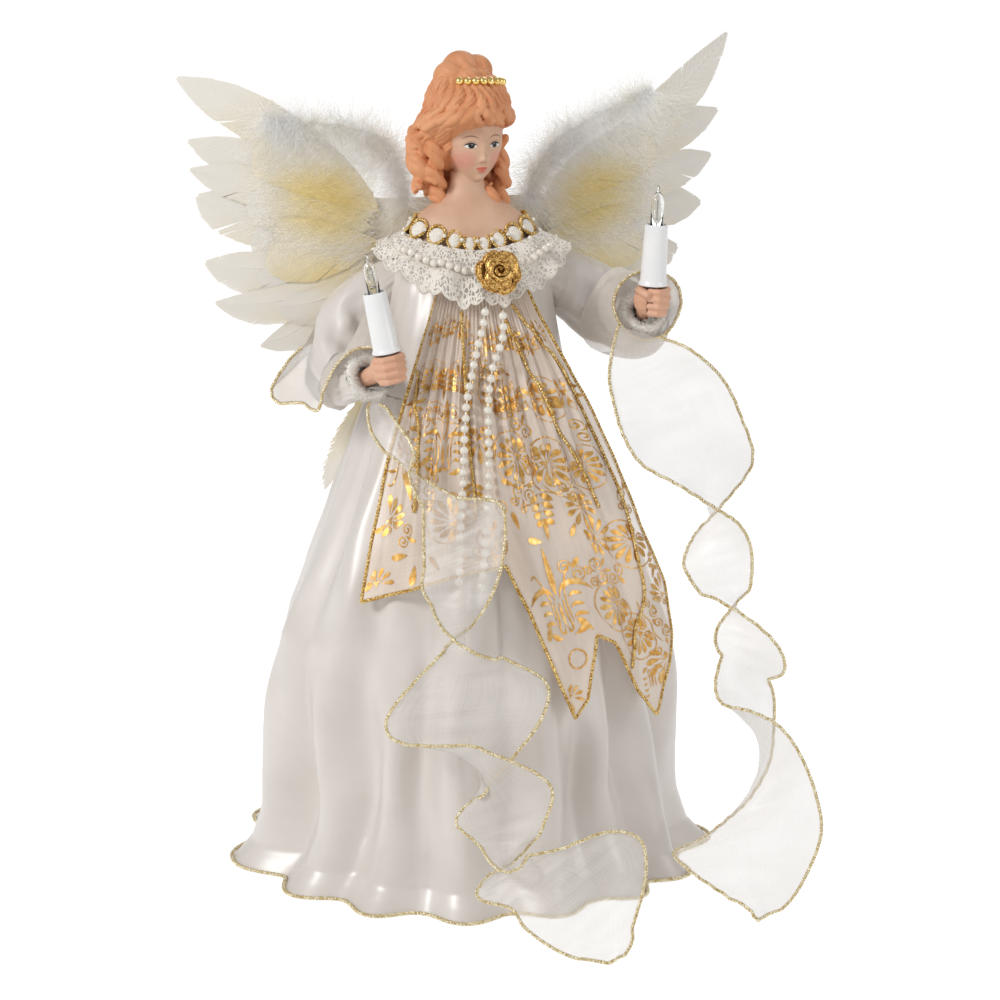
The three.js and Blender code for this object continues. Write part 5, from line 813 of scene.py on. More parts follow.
# %% Scarves
SCARF_REACH, SCARF_HEIGHT, SCARF_WIDTH = 107, 357, 24
SCARF_EDGES = {
    "right": (
        [(-0.1473, 0.591, 0.5985), (-0.12, 0.69, 0.567), (-0.079, 0.745, 0.531), (-0.042, 0.77, 0.508),
         (-0.007, 0.83, 0.505), (-0.002, 0.87, 0.472), (-0.009, 0.91, 0.415), (-0.025, 0.935, 0.364),
         (-0.042, 1, 0.342), (-0.068, 1.03, 0.287), (-0.078, 1.04, 0.251), (-0.067, 1.05, 0.231),
         (-0.023, 1.07, 0.229), (0.014, 1.16, 0.195), (0.013, 1.14, 0.141), (-0.001, 1.12, 0.09),
         (-0.021, 1.12, 0.068), (-0.022, 1.16, 0.055), (-0.007, 1.23, 0.051), (-0.001, 1.27, 0.032),
         (0.009, 1.32, 0.014), (0.019, 1.39, 0.004), (0.031, 1.47, 0.002)],
        [(-0.1287, 0.5685, 0.599), (-0.085, 0.67, 0.565), (-0.073, 0.725, 0.527), (-0.067, 0.74, 0.499),
         (-0.065, 0.77, 0.456), (-0.063, 0.8, 0.423), (-0.062, 0.84, 0.398), (-0.042, 0.9, 0.366),
         (-0.01, 0.96, 0.333), (0.02, 0.99, 0.3), (0.018, 1.01, 0.26), (-0.001, 1.01, 0.211),
         (-0.02, 1, 0.17), (-0.036, 1.01, 0.136), (-0.024, 1.04, 0.112), (-0.013, 1.12, 0.102),
         (0.002, 1.19, 0.11), (0.019, 1.24, 0.121), (0.041, 1.27, 0.137), (0.056, 1.31, 0.126),
         (0.056, 1.36, 0.09), (0.046, 1.42, 0.04), (0.038, 1.46, 0.006)]),
    "left": (
        [(0.1536, 0.652, 0.682), (0.135, 0.665, 0.657), (0.117, 0.7, 0.628), (0.108, 0.76, 0.597),
         (0.104, 0.82, 0.567), (0.112, 0.88, 0.532), (0.128, 1, 0.505), (0.144, 1.11, 0.474),
         (0.157, 1.17, 0.451), (0.167, 1.2, 0.417), (0.169, 1.2, 0.373), (0.168, 1.17, 0.337),
         (0.162, 1.14, 0.316), (0.157, 1.12, 0.295), (0.144, 1.12, 0.258), (0.139, 1.17, 0.237),
         (0.142, 1.28, 0.231), (0.149, 1.38, 0.212), (0.153, 1.46, 0.177), (0.154, 1.53, 0.127),
         (0.15, 1.57, 0.082), (0.138, 1.55, 0.036), (0.122, 1.54, 0.014), (0.105, 1.53, 0.012)],
        [(0.173, 0.806, 0.664), (0.17, 0.86, 0.662), (0.173, 0.94, 0.65), (0.186, 1.04, 0.615),
         (0.197, 1.11, 0.565), (0.203, 1.16, 0.505), (0.194, 1.05, 0.456), (0.174, 0.96, 0.426),
         (0.153, 0.95, 0.402), (0.146, 0.99, 0.385), (0.145, 1.06, 0.362), (0.152, 1.17, 0.322),
         (0.161, 1.24, 0.283), (0.174, 1.29, 0.235), (0.18, 1.29, 0.19), (0.178, 1.28, 0.14),
         (0.168, 1.22, 0.1), (0.15, 1.16, 0.08), (0.125, 1.12, 0.068), (0.104, 1.11, 0.066),
         (0.097, 1.23, 0.058), (0.1, 1.4, 0.038), (0.103, 1.52, 0.02)]),
}


def scarf_grid(side, rows=260, columns=15):
    first, second = SCARF_EDGES[side]
    grid = []
    for share in np.linspace(0, 1, rows):
        (t0, r0, h0), (t1, r1, h1) = rows_along(first, share), rows_along(second, share)
        start = around(t0 * TURN, r0 * SCARF_REACH, max(h0 * SCARF_HEIGHT, 0.8))
        end = around(t1 * TURN, r1 * SCARF_REACH, max(h1 * SCARF_HEIGHT, 0.8))
        middle = (start + end) / 2
        outward = unit(np.array([middle[0], middle[1], 0]))
        width = SCARF_WIDTH * min(1, 0.35 + share * 2)
        hidden = math.sqrt(max(0, width**2 - np.sum((start - end) ** 2)))
        settled = min(1, (1 - share) * 12)
        start = start - outward * hidden * settled * 0.3
        end = end + outward * hidden * settled * 0.7
        grid.append(np.linspace(start, end, columns))
    grid = np.array(grid)
    along = unit(np.gradient(grid, axis=0))
    normal = unit(np.cross(along, unit(np.gradient(grid, axis=1))))
    t, s = np.meshgrid(np.linspace(0, 1, columns), np.linspace(0, 1, rows), indexing="xy")
    sag = np.sin(math.pi * t) * (0.9 * ripple(s * 70, t * 4, 31, 3) + 0.5 * ripple(s * 200, t * 8, 7, 1))
    pucker = 0.21 * np.cos(s * 380) * np.abs(2 * t - 1) ** 4
    grid = grid + normal * (sag + pucker)[:, :, None]
    grid[:, :, 2] = np.maximum(grid[:, :, 2], 0.8)
    return grid


for side in SIDES:
    grid = scarf_grid(side)
    scarf = cloth_piece(f"organza_scarf_{side}", grid, scarf_organza, "organza", f"scarf_{side}")
    cords = [edge_cord(f"scarf_{side}_{which}_cord", path, pale_gold_cord)
             for which, path in (("inner", grid[:, 0]), ("outer", grid[:, -1]), ("end", grid[-1]))]
    wide, long = (float(line_lengths(grid, axis).mean()) for axis in (1, 0))
    cloth_size(scarf, wide, long, cords)

# %% [markdown]
# ## Where the arms are
# Each fist holds its candle upright, so a hand is placed by the middle of the fist, the candle's way
# and a turn about it. The wrist leaves the hand towards the sleeve. These are the CAD part's values.

# %% Arms
ARMS = {
    "right": {"fist": (-42, -45.5, 229.5), "candle": (-0.19, 0.03, 0.98), "turn": 0, "wrist": (-0.5, 0.8, -0.33),
              "route": [((-29, 5, 262), 9), ((-42, 7, 252), 12.5), ((-54, 5, 240), 13), ((-60, -5, 227), 12),
                        ((-58, -17, 220.5), 11)]},
    "left": {"fist": (70.5, -46, 254.7), "candle": (0.045, -0.01, 1), "turn": 72, "wrist": (-0.78, 0.12, -0.52),
             "route": [((29, 5, 262), 9), ((44, 6, 256), 13), ((58, 1, 248.5), 14.5), ((67, -9, 243), 13.5),
                       ((70.5, -19, 241), 11.5)]},
}
WRIST_LENGTH, CUFF_LENGTH, SLEEVE_MOUTH, ARM_STEPS = 15, 6, 8.4, 72
PALM = np.array([-3.4, 2.4, -0.4])
for side, arm in ARMS.items():
    arm["fist"] = np.array(arm["fist"], float)
    candle = Vector(arm["candle"]).normalized()
    lean = Vector((0, 0, 1)).rotation_difference(candle).to_matrix()
    arm["pose"] = np.array(lean @ Matrix.Rotation(math.radians(arm["turn"]), 3, "Z"))
    arm["mirror"] = np.array([-SIDES[side], 1, 1])
    arm["wrist"] = unit(np.array(arm["wrist"], float))


def in_hand(arm, points):
    """Points given in the hand's own frame, candle upright, put where the hand is."""
    return (np.asarray(points, float) * arm["mirror"]) @ arm["pose"].T + arm["fist"]


def on_axis(arm, points):
    return np.asarray(points, float) @ arm["pose"].T + arm["fist"]


for arm in ARMS.values():
    arm["palm"] = in_hand(arm, PALM)
    arm["wrist_end"] = in_hand(arm, PALM + arm["wrist"] * WRIST_LENGTH)
    arm["forearm"] = unit(arm["palm"] - arm["wrist_end"])
    arm["cuff"] = arm["wrist_end"] + arm["forearm"] * CUFF_LENGTH * 0.55
    stations = arm["route"] + [(arm["wrist_end"] - arm["forearm"] * 0.175, SLEEVE_MOUTH)]
    arm["line"] = smooth_curve([place for place, _ in stations], ARM_STEPS)
    widths = [[radius] for _, radius in stations]
    arm["radii"] = np.array([rows_along(widths, s)[0] for s in np.linspace(0, 1, ARM_STEPS)])

# %% [markdown]
# ## Sleeves
# The sleeves are puffed satin, set into the armhole with gathers and drawn in again at the wrist.
# They hang fuller below the arm, and soft rings of creases run round them where the arm bends.

# %% Sleeves
def sleeve_frames(arm):
    ahead = unit(np.gradient(arm["line"], axis=0))
    ahead[-1] = arm["forearm"]
    first = unit(np.cross((0.0, 0, 1), ahead))
    return ahead, first, np.cross(ahead, first)


for side, arm in ARMS.items():
    ahead, first, second = sleeve_frames(arm)
    s, t = np.meshgrid(np.linspace(0, 1, ARM_STEPS), np.linspace(0, TURN, 90, endpoint=False), indexing="ij")
    lower = 1 + 0.35 * np.sin(math.pi * s) * np.clip(-np.sin(t), 0, 1)
    ends = np.clip(1 - s * 5, 0, 1) + np.clip(s * 5 - 4, 0, 1)
    gathers = 0.05 * np.cos(t * 5 + s * 4) + 0.035 * np.cos(t * 17 + 2 * np.sin(3 * t)) * ends
    creases = 0.085 * ripple(s * 16 + np.cos(t) * 2, t * 2 - s * 5, 40 + SIDES[side], 3) - 0.03
    radius = (arm["radii"][:, None] - 0.35) * (1 + gathers + creases * np.sin(math.pi * s) ** 0.5)
    grid = (arm["line"][:, None] + first[:, None] * (np.cos(t) * radius)[:, :, None]
            + second[:, None] * (np.sin(t) * radius * lower)[:, :, None])
    sleeve = cloth_piece(f"satin_sleeve_{side}", grid, satin, "satin", f"sleeve_{side}", wrapped=True)
    wide = float(line_lengths(np.concatenate([grid, grid[:, :1]], 1), 1).mean())
    cloth_size(sleeve, wide, float(line_lengths(grid, 0).mean()))

# %% [markdown]
# ## Organza bells
# Over each sleeve hangs a bell of sheer organza, with a gold cord in its rim. The right one is open at
# the crook of the arm and hangs as a wide flap; the left one is drawn close round the fist.

# %% Organza bells
BELL_REACH, BELL_BULGE = 40, 3
BELL_RIMS = {
    "right": [(-0.12, 0.33, 0.16), (-0.32, 0.33, 0.15), (-0.5, 0.33, 0.02), (-0.66, 0.37, -0.28),
              (-0.72, 0.485, -0.53), (-0.865, 0.765, -0.5), (-1.085, 1.06, -0.55), (-1.13, 1.27, -0.46),
              (-1, 1.3, -0.23), (-0.795, 1.335, -0.02), (-0.52, 1.21, 0.13), (-0.29, 0.87, 0.12), (-0.17, 0.54, 0.12)],
    "left": [(0.36, 0.19, -0.06), (0.31, 0.2, 0.14), (0.17, 0.23, 0.25), (-0.02, 0.23, 0.28),
             (-0.2, 0.2, 0.24), (-0.33, 0.18, 0.12), (-0.38, 0.18, -0.06), (-0.32, 0.18, -0.24),
             (-0.18, 0.18, -0.4), (0, 0.17, -0.45), (0.18, 0.17, -0.4), (0.31, 0.18, -0.23)],
}
BELL_THROAT = {"right": 0.3, "left": 0.5}


def clear_of_sleeve(arm, point):
    """Moves a point outwards until it clears the sleeve."""
    index = int(np.argmin(np.linalg.norm(arm["line"] - point, axis=1)))
    ahead, first, second = (f[index] for f in sleeve_frames(arm))
    away = point - arm["line"][index]
    lengthways = away.dot(ahead)
    away = away - ahead * lengthways
    angle = math.atan2(away.dot(second), away.dot(first))
    droop = 0.35 * math.sin(math.pi * index / (ARM_STEPS - 1)) * max(0, -math.sin(angle))
    least = arm["radii"][index] * 1.07 * (1 + droop) + 1.2
    size = np.linalg.norm(away)
    if size >= least:
        return point
    return arm["line"][index] + ahead * lengthways + away / size * least


for side, arm in ARMS.items():
    closed = side == "left"
    columns, rows = (120, 26) if closed else (90, 26)
    rim = smooth_curve(np.array(BELL_RIMS[side]) * BELL_REACH + arm["fist"], 600, closed=True)
    span = 1 if closed else 0.7
    edge = rim[(np.linspace(0, span, columns, endpoint=not closed) * 600).astype(int) % 600]
    throat = arm["line"][int(BELL_THROAT[side] * (ARM_STEPS - 1))]
    middle = edge.mean(0)
    axis = unit(middle - throat)
    across = unit(np.cross((0.0, 0, 1), axis))
    above = np.cross(axis, across)
    grid = np.zeros((rows, columns, 3))
    for j, end in enumerate(edge):
        away = end - middle
        angle = math.atan2(away.dot(above), away.dot(across))
        out = across * math.cos(angle) + above * math.sin(angle)
        start = throat + out * SLEEVE_MOUTH
        half = (start + end) / 2 + out * BELL_BULGE
        column = smooth_curve([start, half, end], rows)
        grid[:, j] = [clear_of_sleeve(arm, p) for p in column]
    for _ in range(4):
        inner = grid[1:-1].copy()
        sideways = (np.roll(inner, 1, 1) + np.roll(inner, -1, 1)) / 2
        if not closed:
            sideways[:, 0], sideways[:, -1] = inner[:, 0], inner[:, -1]
        grid[1:-1] = inner * 0.4 + sideways * 0.3 + (grid[:-2] + grid[2:]) * 0.15
    grid = np.array([[clear_of_sleeve(arm, p) for p in row] for row in grid])
    s, t = np.meshgrid(np.linspace(0, 1, rows), np.linspace(0, 1, columns), indexing="ij")
    out = unit(grid - arm["line"][30])
    grid += out * (0.5 * (1 + np.cos(t * TURN * (18 if closed else 14))) * s * (1.3 - s))[:, :, None]
    bell = cloth_piece(f"organza_bell_cloth_{side}", grid, bell_organza, "organza", f"organza_bell_{side}", closed)
    rim_path = looped(grid[-1]) if closed else grid[-1]
    rim_cord = edge_cord(f"bell_rim_cord_{side}", rim_path, pale_gold_cord, closed=closed)
    across, down = line_lengths(grid, 1), line_lengths(grid, 0)
    wide, long = length_of(rim_path), float(down.max())
    share = min(0.99, max(0.32, float(across.mean() * down.mean()) / wide / long))
    cloth_size(bell, wide, long, [rim_cord], share)

# %% [markdown]
# ## Fur cuffs
# A strip of white plush rings each wrist. Its pile is a few millimetres of soft fibre, so a roll is
# covered with many fine tapered hairs, each one bent a little out of line.

# %% Fibres and cuffs
def fibres(roots, ways, lengths, width, curl_size, seed, steps=4, face=None):
    """Fine tapered ribbons that start at the roots and bend as they go."""
    chance = np.random.default_rng(seed)
    count = len(roots)
    bend = unit(np.cross(ways, unit(chance.normal(size=(count, 3)))))
    drift = unit(chance.normal(size=(count, 3)))
    t = np.linspace(0, 1, steps + 1)[None, :, None]
    lengths = lengths[:, None, None]
    swerve = (bend[:, None] * t**2 + drift[:, None] * t**3 * 0.5) * curl_size
    line = roots[:, None] + (ways[:, None] * t + swerve) * lengths
    square = drift[:, None] if face is None else unit(np.asarray(face) + 0.5 * drift)[:, None]
    flat = unit(np.cross(np.gradient(line, axis=1), square))
    half = flat * width / 2 * (1 - 0.85 * t**1.5)
    points = np.stack([line + half, line - half], axis=2).reshape(-1, 3)
    i, k = np.meshgrid(np.arange(count), np.arange(steps), indexing="ij")
    start = (i * (steps + 1) * 2 + k * 2).ravel()
    return points, np.stack([start, start + 1, start + 3, start + 2], axis=1)


plush = solid_finish("white_acrylic_plush", "#E6E1DA", "#F8F6F2", 300.0, 3.0, Roughness=0.85, Sheen_Weight=0.5)
CUFF_RADIUS, HAIRS = 8.2, 2600
for side, arm in ARMS.items():
    chance = np.random.default_rng(61 + SIDES[side])
    first = unit(np.cross((0.0, 0, 1), arm["forearm"]))
    top = np.cross(arm["forearm"], first)
    t = np.linspace(0, TURN, 48, endpoint=False)
    ring_path = arm["cuff"] + (first * np.cos(t)[:, None] + top * np.sin(t)[:, None]) * CUFF_RADIUS
    core = tube(ring_path, 1.9 * (1 + 0.1 * np.cos(t * 5)), 10, closed=True)
    a, b = chance.uniform(0, TURN, HAIRS), chance.uniform(0, TURN, HAIRS)
    out = first * np.cos(a)[:, None] + top * np.sin(a)[:, None]
    way = out * np.cos(b)[:, None] + arm["forearm"] * np.sin(b)[:, None]
    roots = arm["cuff"] + out * CUFF_RADIUS + way * 1.7
    ways = unit(way + chance.normal(size=(HAIRS, 3)) * 0.3)
    hairs = fibres(roots, ways, chance.uniform(1.0, 2.2, HAIRS), 0.22, 0.4, 71)
    make_piece(f"plush_cuff_{side}", *gather([core, hairs]), plush, "fur", f"fur_cuff_{side}")

# %% [markdown]
# ## Bisque
# The bust, the hands and the hair are bisque: unglazed porcelain, painted by hand. Bisque is matt and
# a little translucent, so it has a soft edge to its shadows. The hair is painted a warm peach, and the
# flesh is a beige pink. The hands are fused from their CAD solids and smoothed, as slip casting does.

# %% Bisque hands
def bisque(name, dark, light):
    material = solid_finish(name, dark, light, 90.0, 3.0, Roughness=0.55, IOR=1.5, Subsurface_Weight=0.08,
                            Subsurface_Scale=0.001)
    place = add_node(material, "TexCoord").outputs["Object"]
    grain = add_node(material, "TexNoise", {"Vector": place, "Scale": 2500.0, "Detail": 2.0})
    bump = add_node(material, "Bump", {"Height": grain.outputs[0], "Strength": 0.15, "Distance": 0.0001})
    feed(material, "Normal", bump.outputs[0])
    return material


flesh = bisque("painted_flesh_bisque", "#D9A586", "#E4B497")


def fused(name, points, faces, finish, voxel, smoothing, node, body=FIGURE):
    """Solids that overlap, fused into one skin and smoothed."""
    piece = make_piece(name, points, faces, finish, "porcelain", body=None)
    remesh = piece.modifiers.new("fuse", "REMESH")
    remesh.mode, remesh.voxel_size, remesh.use_smooth_shade = "VOXEL", voxel * MM, True
    soften = piece.modifiers.new("soften", "SMOOTH")
    soften.iterations, soften.factor = smoothing, 0.5
    bpy.context.view_layer.update()
    shown = bpy.data.meshes.new_from_object(piece.evaluated_get(bpy.context.evaluated_depsgraph_get()))
    piece.modifiers.clear()
    piece.data = shown
    shown.polygons.foreach_set("use_smooth", [True] * len(shown.polygons))
    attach(piece, body)
    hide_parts(node)
    print(name, len(shown.vertices), "points")
    return piece


for side in SIDES:
    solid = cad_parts[f"hand_{side}"].data
    fused(f"bisque_hand_{side}", np.array([v.co[:] for v in solid.vertices]) / MM,
          [list(face.vertices) for face in solid.polygons], flesh, 0.3, 4, f"hand_{side}", f"{side}_hand")

# %% [markdown]
# ## Candle lamps
# Each candle is a moulded white plastic tube on the lamp's socket. The lamp is a clear glass
# miniature with two lead-in wires and a thin filament; its tip is drawn out where the glass was
# sealed. Glass has an IOR of 1.5 and hardly any roughness.

# %% Candle lamps
white_plastic = solid_finish("moulded_white_polystyrene", "#EDEDEE", "#F4F4F3", 60.0, Roughness=0.28, IOR=1.55)
clear_glass = new_finish("clear_soda_glass", "#FBFCFC", Roughness=0.02, IOR=1.5, Transmission_Weight=1.0)
dumet = new_finish("bright_lead_in_wire", "#8E8A86", Metallic=1.0, Roughness=0.3)

CANDLE_SEAT, CANDLE_TOP, SOCKET_TOP, SOCKET_LENGTH, GLASS_FOOT = 6.9, 32.9, 31.4, 17, 30.4


def raised(height, *rows):
    """Rows of radius and height, with the heights counted from the given one."""
    return [(radius, height + rise) for radius, rise in rows]


CANDLE = [*raised(CANDLE_SEAT, (4.9, 0), (6.15, 0), (6.3, 0.3), (6.2, 0.9), (5.8, 1.5), (5.6, 2.2)),
          *raised(CANDLE_TOP, (4.95, -1.2), (4.9, -0.5), (4.65, -0.1), (4.45, 0), (4.2, -0.1), (4.2, -2)),
          *raised(CANDLE_SEAT, (4.2, 13), (4.9, 0))]
SOCKET = raised(SOCKET_TOP, (0, -SOCKET_LENGTH), (3.7, -SOCKET_LENGTH), (3.7, -0.3), (3.5, 0), (3.2, 0),
                (3.1, -0.3), (3.1, -14), (0, -14))
PLUG = raised(GLASS_FOOT, (0, -10), (2.7, -10), (2.7, -0.5), (2, -0.3), (1.4, -0.3), (1.4, 2), (0.9, 2.6), (0, 2.7))
GLASS = raised(GLASS_FOOT, (2.7, 0), (2.7, 11.5), (2.619, 12.8), (2.214, 14.2), (1.35, 15.4), (0.756, 16.2),
               (0.54, 17.8), (0.378, 18.8), (0, 19), (0, 15.9), (0.486, 15.5), (1.674, 13.8), (2.15, 12.4),
               (2.25, 11.2), (2.25, 0), (2.7, 0))
TURNED_PIECES = (("candle_tube", "candle_cover", "hand", CANDLE, 64, white_plastic, "white_plastic"),
                 ("lamp_socket_tube", "lamp_socket", "hand", SOCKET, 48, white_plastic, "white_plastic"),
                 ("lamp_plug", "lamp_base", "lamp", PLUG, 40, white_plastic, "white_plastic"),
                 ("lamp_envelope", "lamp_glass", "lamp", GLASS, 48, clear_glass, "glass"))
for side, arm in ARMS.items():
    for name, node, body, profile, facets, finish, slot in TURNED_PIECES:
        points, faces = turned(profile, facets)
        make_piece(f"{name}_{side}", on_axis(arm, points), faces, finish, slot, f"{node}_{side}", f"{side}_{body}")
    arch = smooth_curve([(x, 0, GLASS_FOOT + z) for x, z in
                         ((-1, 1.4), (-1, 9.5), (-0.7, 12.9), (0.7, 12.9), (1, 9.5), (1, 1.4))], 90)
    bead = GLASS_FOOT + 5.2
    points, faces = gather([tube(arch[:34], 0.2, 8, side=(0, 1, 0)), tube(arch[-34:], 0.2, 8, side=(0, 1, 0)),
                            tube(arch[30:-30], 0.09, 6, side=(0, 1, 0)), ball((0, 0, bead), 0.55),
                            tube(np.array([(-1, 0, bead), (1, 0, bead)]), 0.35, 8)])
    make_piece(f"lamp_filament_{side}", on_axis(arm, points), faces, dumet, "steel_wire", body=f"{side}_lamp")

# %% [markdown]
# ## Leads, wires, card and wood
# The twin lead is two grey plastic wires side by side. The pieces under the dress stay as the CAD
# made them and get their own finishes: steel arm wires, the cardboard cone and wing card, the beech
# dowel, and the moulded junction where the two leads meet.

# %% Leads and inner parts
grey_vinyl = solid_finish("grey_vinyl_lead", "#8C8986", "#A3A09C", 150.0, Roughness=0.45, IOR=1.53)


def cone_radius(height):
    return 72 + (8.6 - 72) * height / 238


LEAD_OFFSET, JUNCTION_HEIGHT, FIST_DEPTH = 3.6, 24, 12.6
for side, arm in ARMS.items():
    sign = SIDES[side]
    down = np.array([0, 0, -LEAD_OFFSET])
    below = in_hand(arm, (0, 0, -FIST_DEPTH * 0.62))
    beside = [(sign * 2.88, cone_radius(h) + 2.4, h) for h in (225, 150, 80, JUNCTION_HEIGHT + 20)]
    route = [*[in_hand(arm, (0, 0, z)) for z in (SOCKET_TOP - SOCKET_LENGTH - 0.7, CANDLE_SEAT, -FIST_DEPTH * 0.45)],
             below - arm["forearm"] * 2,
             arm["wrist_end"] + arm["forearm"] * CUFF_LENGTH * 0.9 + down * 1.4,
             arm["wrist_end"] - arm["forearm"] * CUFF_LENGTH * 0.4 + down * 1.3,
             *[np.array(place) + down for place, _ in arm["route"][::-1][1:]],
             (sign * 20, 10, 250), (sign * 9, 14, 243), *beside, (sign * 1.512, cone_radius(32) + 4.3, 32.35)]
    path = evenly(smooth_curve(route, 900), 420)
    print("lead", side, round(length_of(path)), "mm")
    lobe = frames_along(path, side=arm["forearm"])[0] * 0.55
    points, faces = gather([tube(path + lobe, 0.62, 8), tube(path - lobe, 0.62, 8)])
    twin = make_piece(f"twin_lead_{side}", points, faces, grey_vinyl, "grey_lead", f"lamp_lead_{side}", None)
    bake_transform(twin)

cardboard = solid_finish("pressed_cream_cardboard", "#DED4BF", "#EDE5D4", 300.0, 4.0, (0.3, 0.0002), Roughness=0.9)
steel_wire = solid_finish("drawn_steel_wire", "#7E7E80", "#A6A6A8", 800.0, 4.0, (0.3, 0.0002), Roughness=0.35,
                          Metallic=1.0)
beech = new_finish("turned_beech", Roughness=0.6)
place = add_node(beech, "TexCoord").outputs["Object"]
place = add_node(beech, "Mapping", {"Vector": place, "Scale": (700, 700, 40)}).outputs[0]
grained(beech, place, 1.0, ((0.3, "#B98F62"), (0.7, "#D5B083")), 3.0)
for node, finish in (("inner_cone", cardboard), ("wing_card", cardboard), ("neck_dowel", beech),
                     ("lead_junction", grey_vinyl), ("arm_wire_right", steel_wire), ("arm_wire_left", steel_wire)):
    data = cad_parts[node].data
    data.materials.clear()
    data.materials.append(finish)

# %% [markdown]
# ## Bust and face
# The bust is a slip-cast shell: shoulders, neck and head in one. The face is painted in a few thin
# colours: cheeks, lips, brows and dark eyes. A white dot in each eye is a painted highlight, and the lid
# creases and the nostrils get painted shade. The painting is done in the material, from the place on
# the face seen from its own front, so its edges stay crisp at any size.

# %% Bust and face
# The face looks a little less far round than the head, so it has a frame of its own
HEAD_PLACE, TO_HEAD = np.array([-2, -1, 323]), turned_round(math.radians(27))
FACE_PLACE, TO_FACE = HEAD_PLACE + [2.6, 0.3, 0], turned_round(math.radians(15))
FACE_RADIUS, FACE_HALF_HEIGHT, FACE_DROP, HAIR_RADIUS = 13, 19, 2.5, 20


def in_head(points):
    """Points in the head's own frame, facing the front, put where the head is."""
    return np.asarray(points, float) @ TO_HEAD.T + HEAD_PLACE


# Sideways and upward place, spread and height of each feature, as shares of the face. One that lies
# to the side is on both sides.
FACE_FEATURES = [
    (0, -0.24, 0.08, 0.16, 0.06), (0, -0.43, 0.11, 0.075, 0.15), (0.12, -0.47, 0.055, 0.04, 0.05),
    (0.39, -0.1, 0.2, 0.1, -0.075), (0.39, -0.115, 0.13, 0.06, 0.055), (0, 0.1, 0.5, 0.1, 0.02),
    (0, -0.635, 0.15, 0.032, 0.05), (0, -0.71, 0.12, 0.042, 0.06), (0, -0.672, 0.17, 0.013, -0.025),
    (0, -0.785, 0.12, 0.035, -0.02), (0, -0.93, 0.22, 0.1, 0.15), (0.52, -0.42, 0.26, 0.2, 0.05)]
polar = np.linspace(0.02, 0.98, 150)[:, None] * math.pi
turn_round = np.linspace(0, TURN, 160, endpoint=False)[None, :]
rise = -np.cos(polar) + 0 * turn_round
jaw = 1 - 0.3 * np.clip(-rise - 0.1, 0, 1) ** 1.4
sideways = np.sin(turn_round) * np.sin(polar) ** 0.85 * jaw
front = np.cos(turn_round) + 0 * polar
lift = sum(h * np.exp(-((sideways - hand * x) / sx) ** 2 - ((rise - z) / sz) ** 2)
           for x, z, sx, sz, h in FACE_FEATURES for hand in (BOTH if x else ONE))
forward = front * np.sin(polar) ** 0.72 * (1 - 0.08 * np.clip(front, 0, 1)) + np.clip(front, 0, 1) * lift
face_points = np.stack([sideways * FACE_RADIUS, -forward * FACE_RADIUS * 1.08,
                        rise * FACE_HALF_HEIGHT - FACE_DROP], axis=2).reshape(-1, 3)

# Share of the height, half width and half depth of the shoulders and neck
BUST_ROWS = [(0, 1, 1), (0.2, 1, 1.02), (0.42, 0.97, 1), (0.55, 0.88, 0.86), (0.65, 0.69, 0.69),
             (0.75, 0.45, 0.56), (0.84, 0.31, 0.49), (1, 0.25, 0.45)]
smooth_rows = smooth_curve(BUST_ROWS, 60)
t = np.linspace(0, TURN, 64, endpoint=False)
bust_rings = []
for share in np.linspace(0, 1, 40):
    w, d = (np.interp(share, smooth_rows[:, 0], smooth_rows[:, k]) for k in (1, 2))
    ring_points = around(t, ellipse(w * 26.4, d * 15.2, t), 262 + 44 * share)
    bust_rings.append(ring_points + [-4 * max(0, share - 0.5), 0, 0])
bust = fused("bisque_bust", *gather([(face_points @ TO_FACE.T + FACE_PLACE, closed_faces(150, 160)),
                                     (np.concatenate(bust_rings), closed_faces(40, 64))]),
             flesh, 0.33, 2, "head_and_bust")

# The face's own front view as a UV map in metres: x to the angel's left, y upwards
local = (np.array([v.co[:] for v in bust.data.vertices]) / MM - FACE_PLACE) @ TO_FACE
OFF_THE_FACE = 80  # Past all the paint, for what faces back
front_view = np.stack([np.where(local[:, 1] < -2, local[:, 0], OFF_THE_FACE), local[:, 2]], axis=1) * MM
corners = np.zeros(len(bust.data.loops), np.int32)
bust.data.loops.foreach_get("vertex_index", corners)
layer = bust.data.uv_layers.new(name="face_front")
layer.data.foreach_set("uv", front_view[corners].astype(np.float32).ravel())

face_paint = new_finish("painted_face_bisque", Roughness=0.5, IOR=1.5, Subsurface_Weight=0.08, Subsurface_Scale=0.001)
place = add_node(face_paint, "TexCoord").outputs["Object"]
blotch = add_node(face_paint, "TexNoise", {"Vector": place, "Scale": 90.0, "Detail": 3.0})
skin = add_node(face_paint, "ValToRGB", {"Fac": blotch.outputs[0]}, ((0.3, "#CFA689"), (0.7, "#DBB59B")))
painted = skin.outputs[0]
front_place = add_node(face_paint, "UVMap", uv_map="face_front").outputs[0]
apart = add_node(face_paint, "SeparateXYZ", {0: front_place})
either_side = add_node(face_paint, "Math", {0: apart.outputs["X"]}, operation="ABSOLUTE").outputs[0]

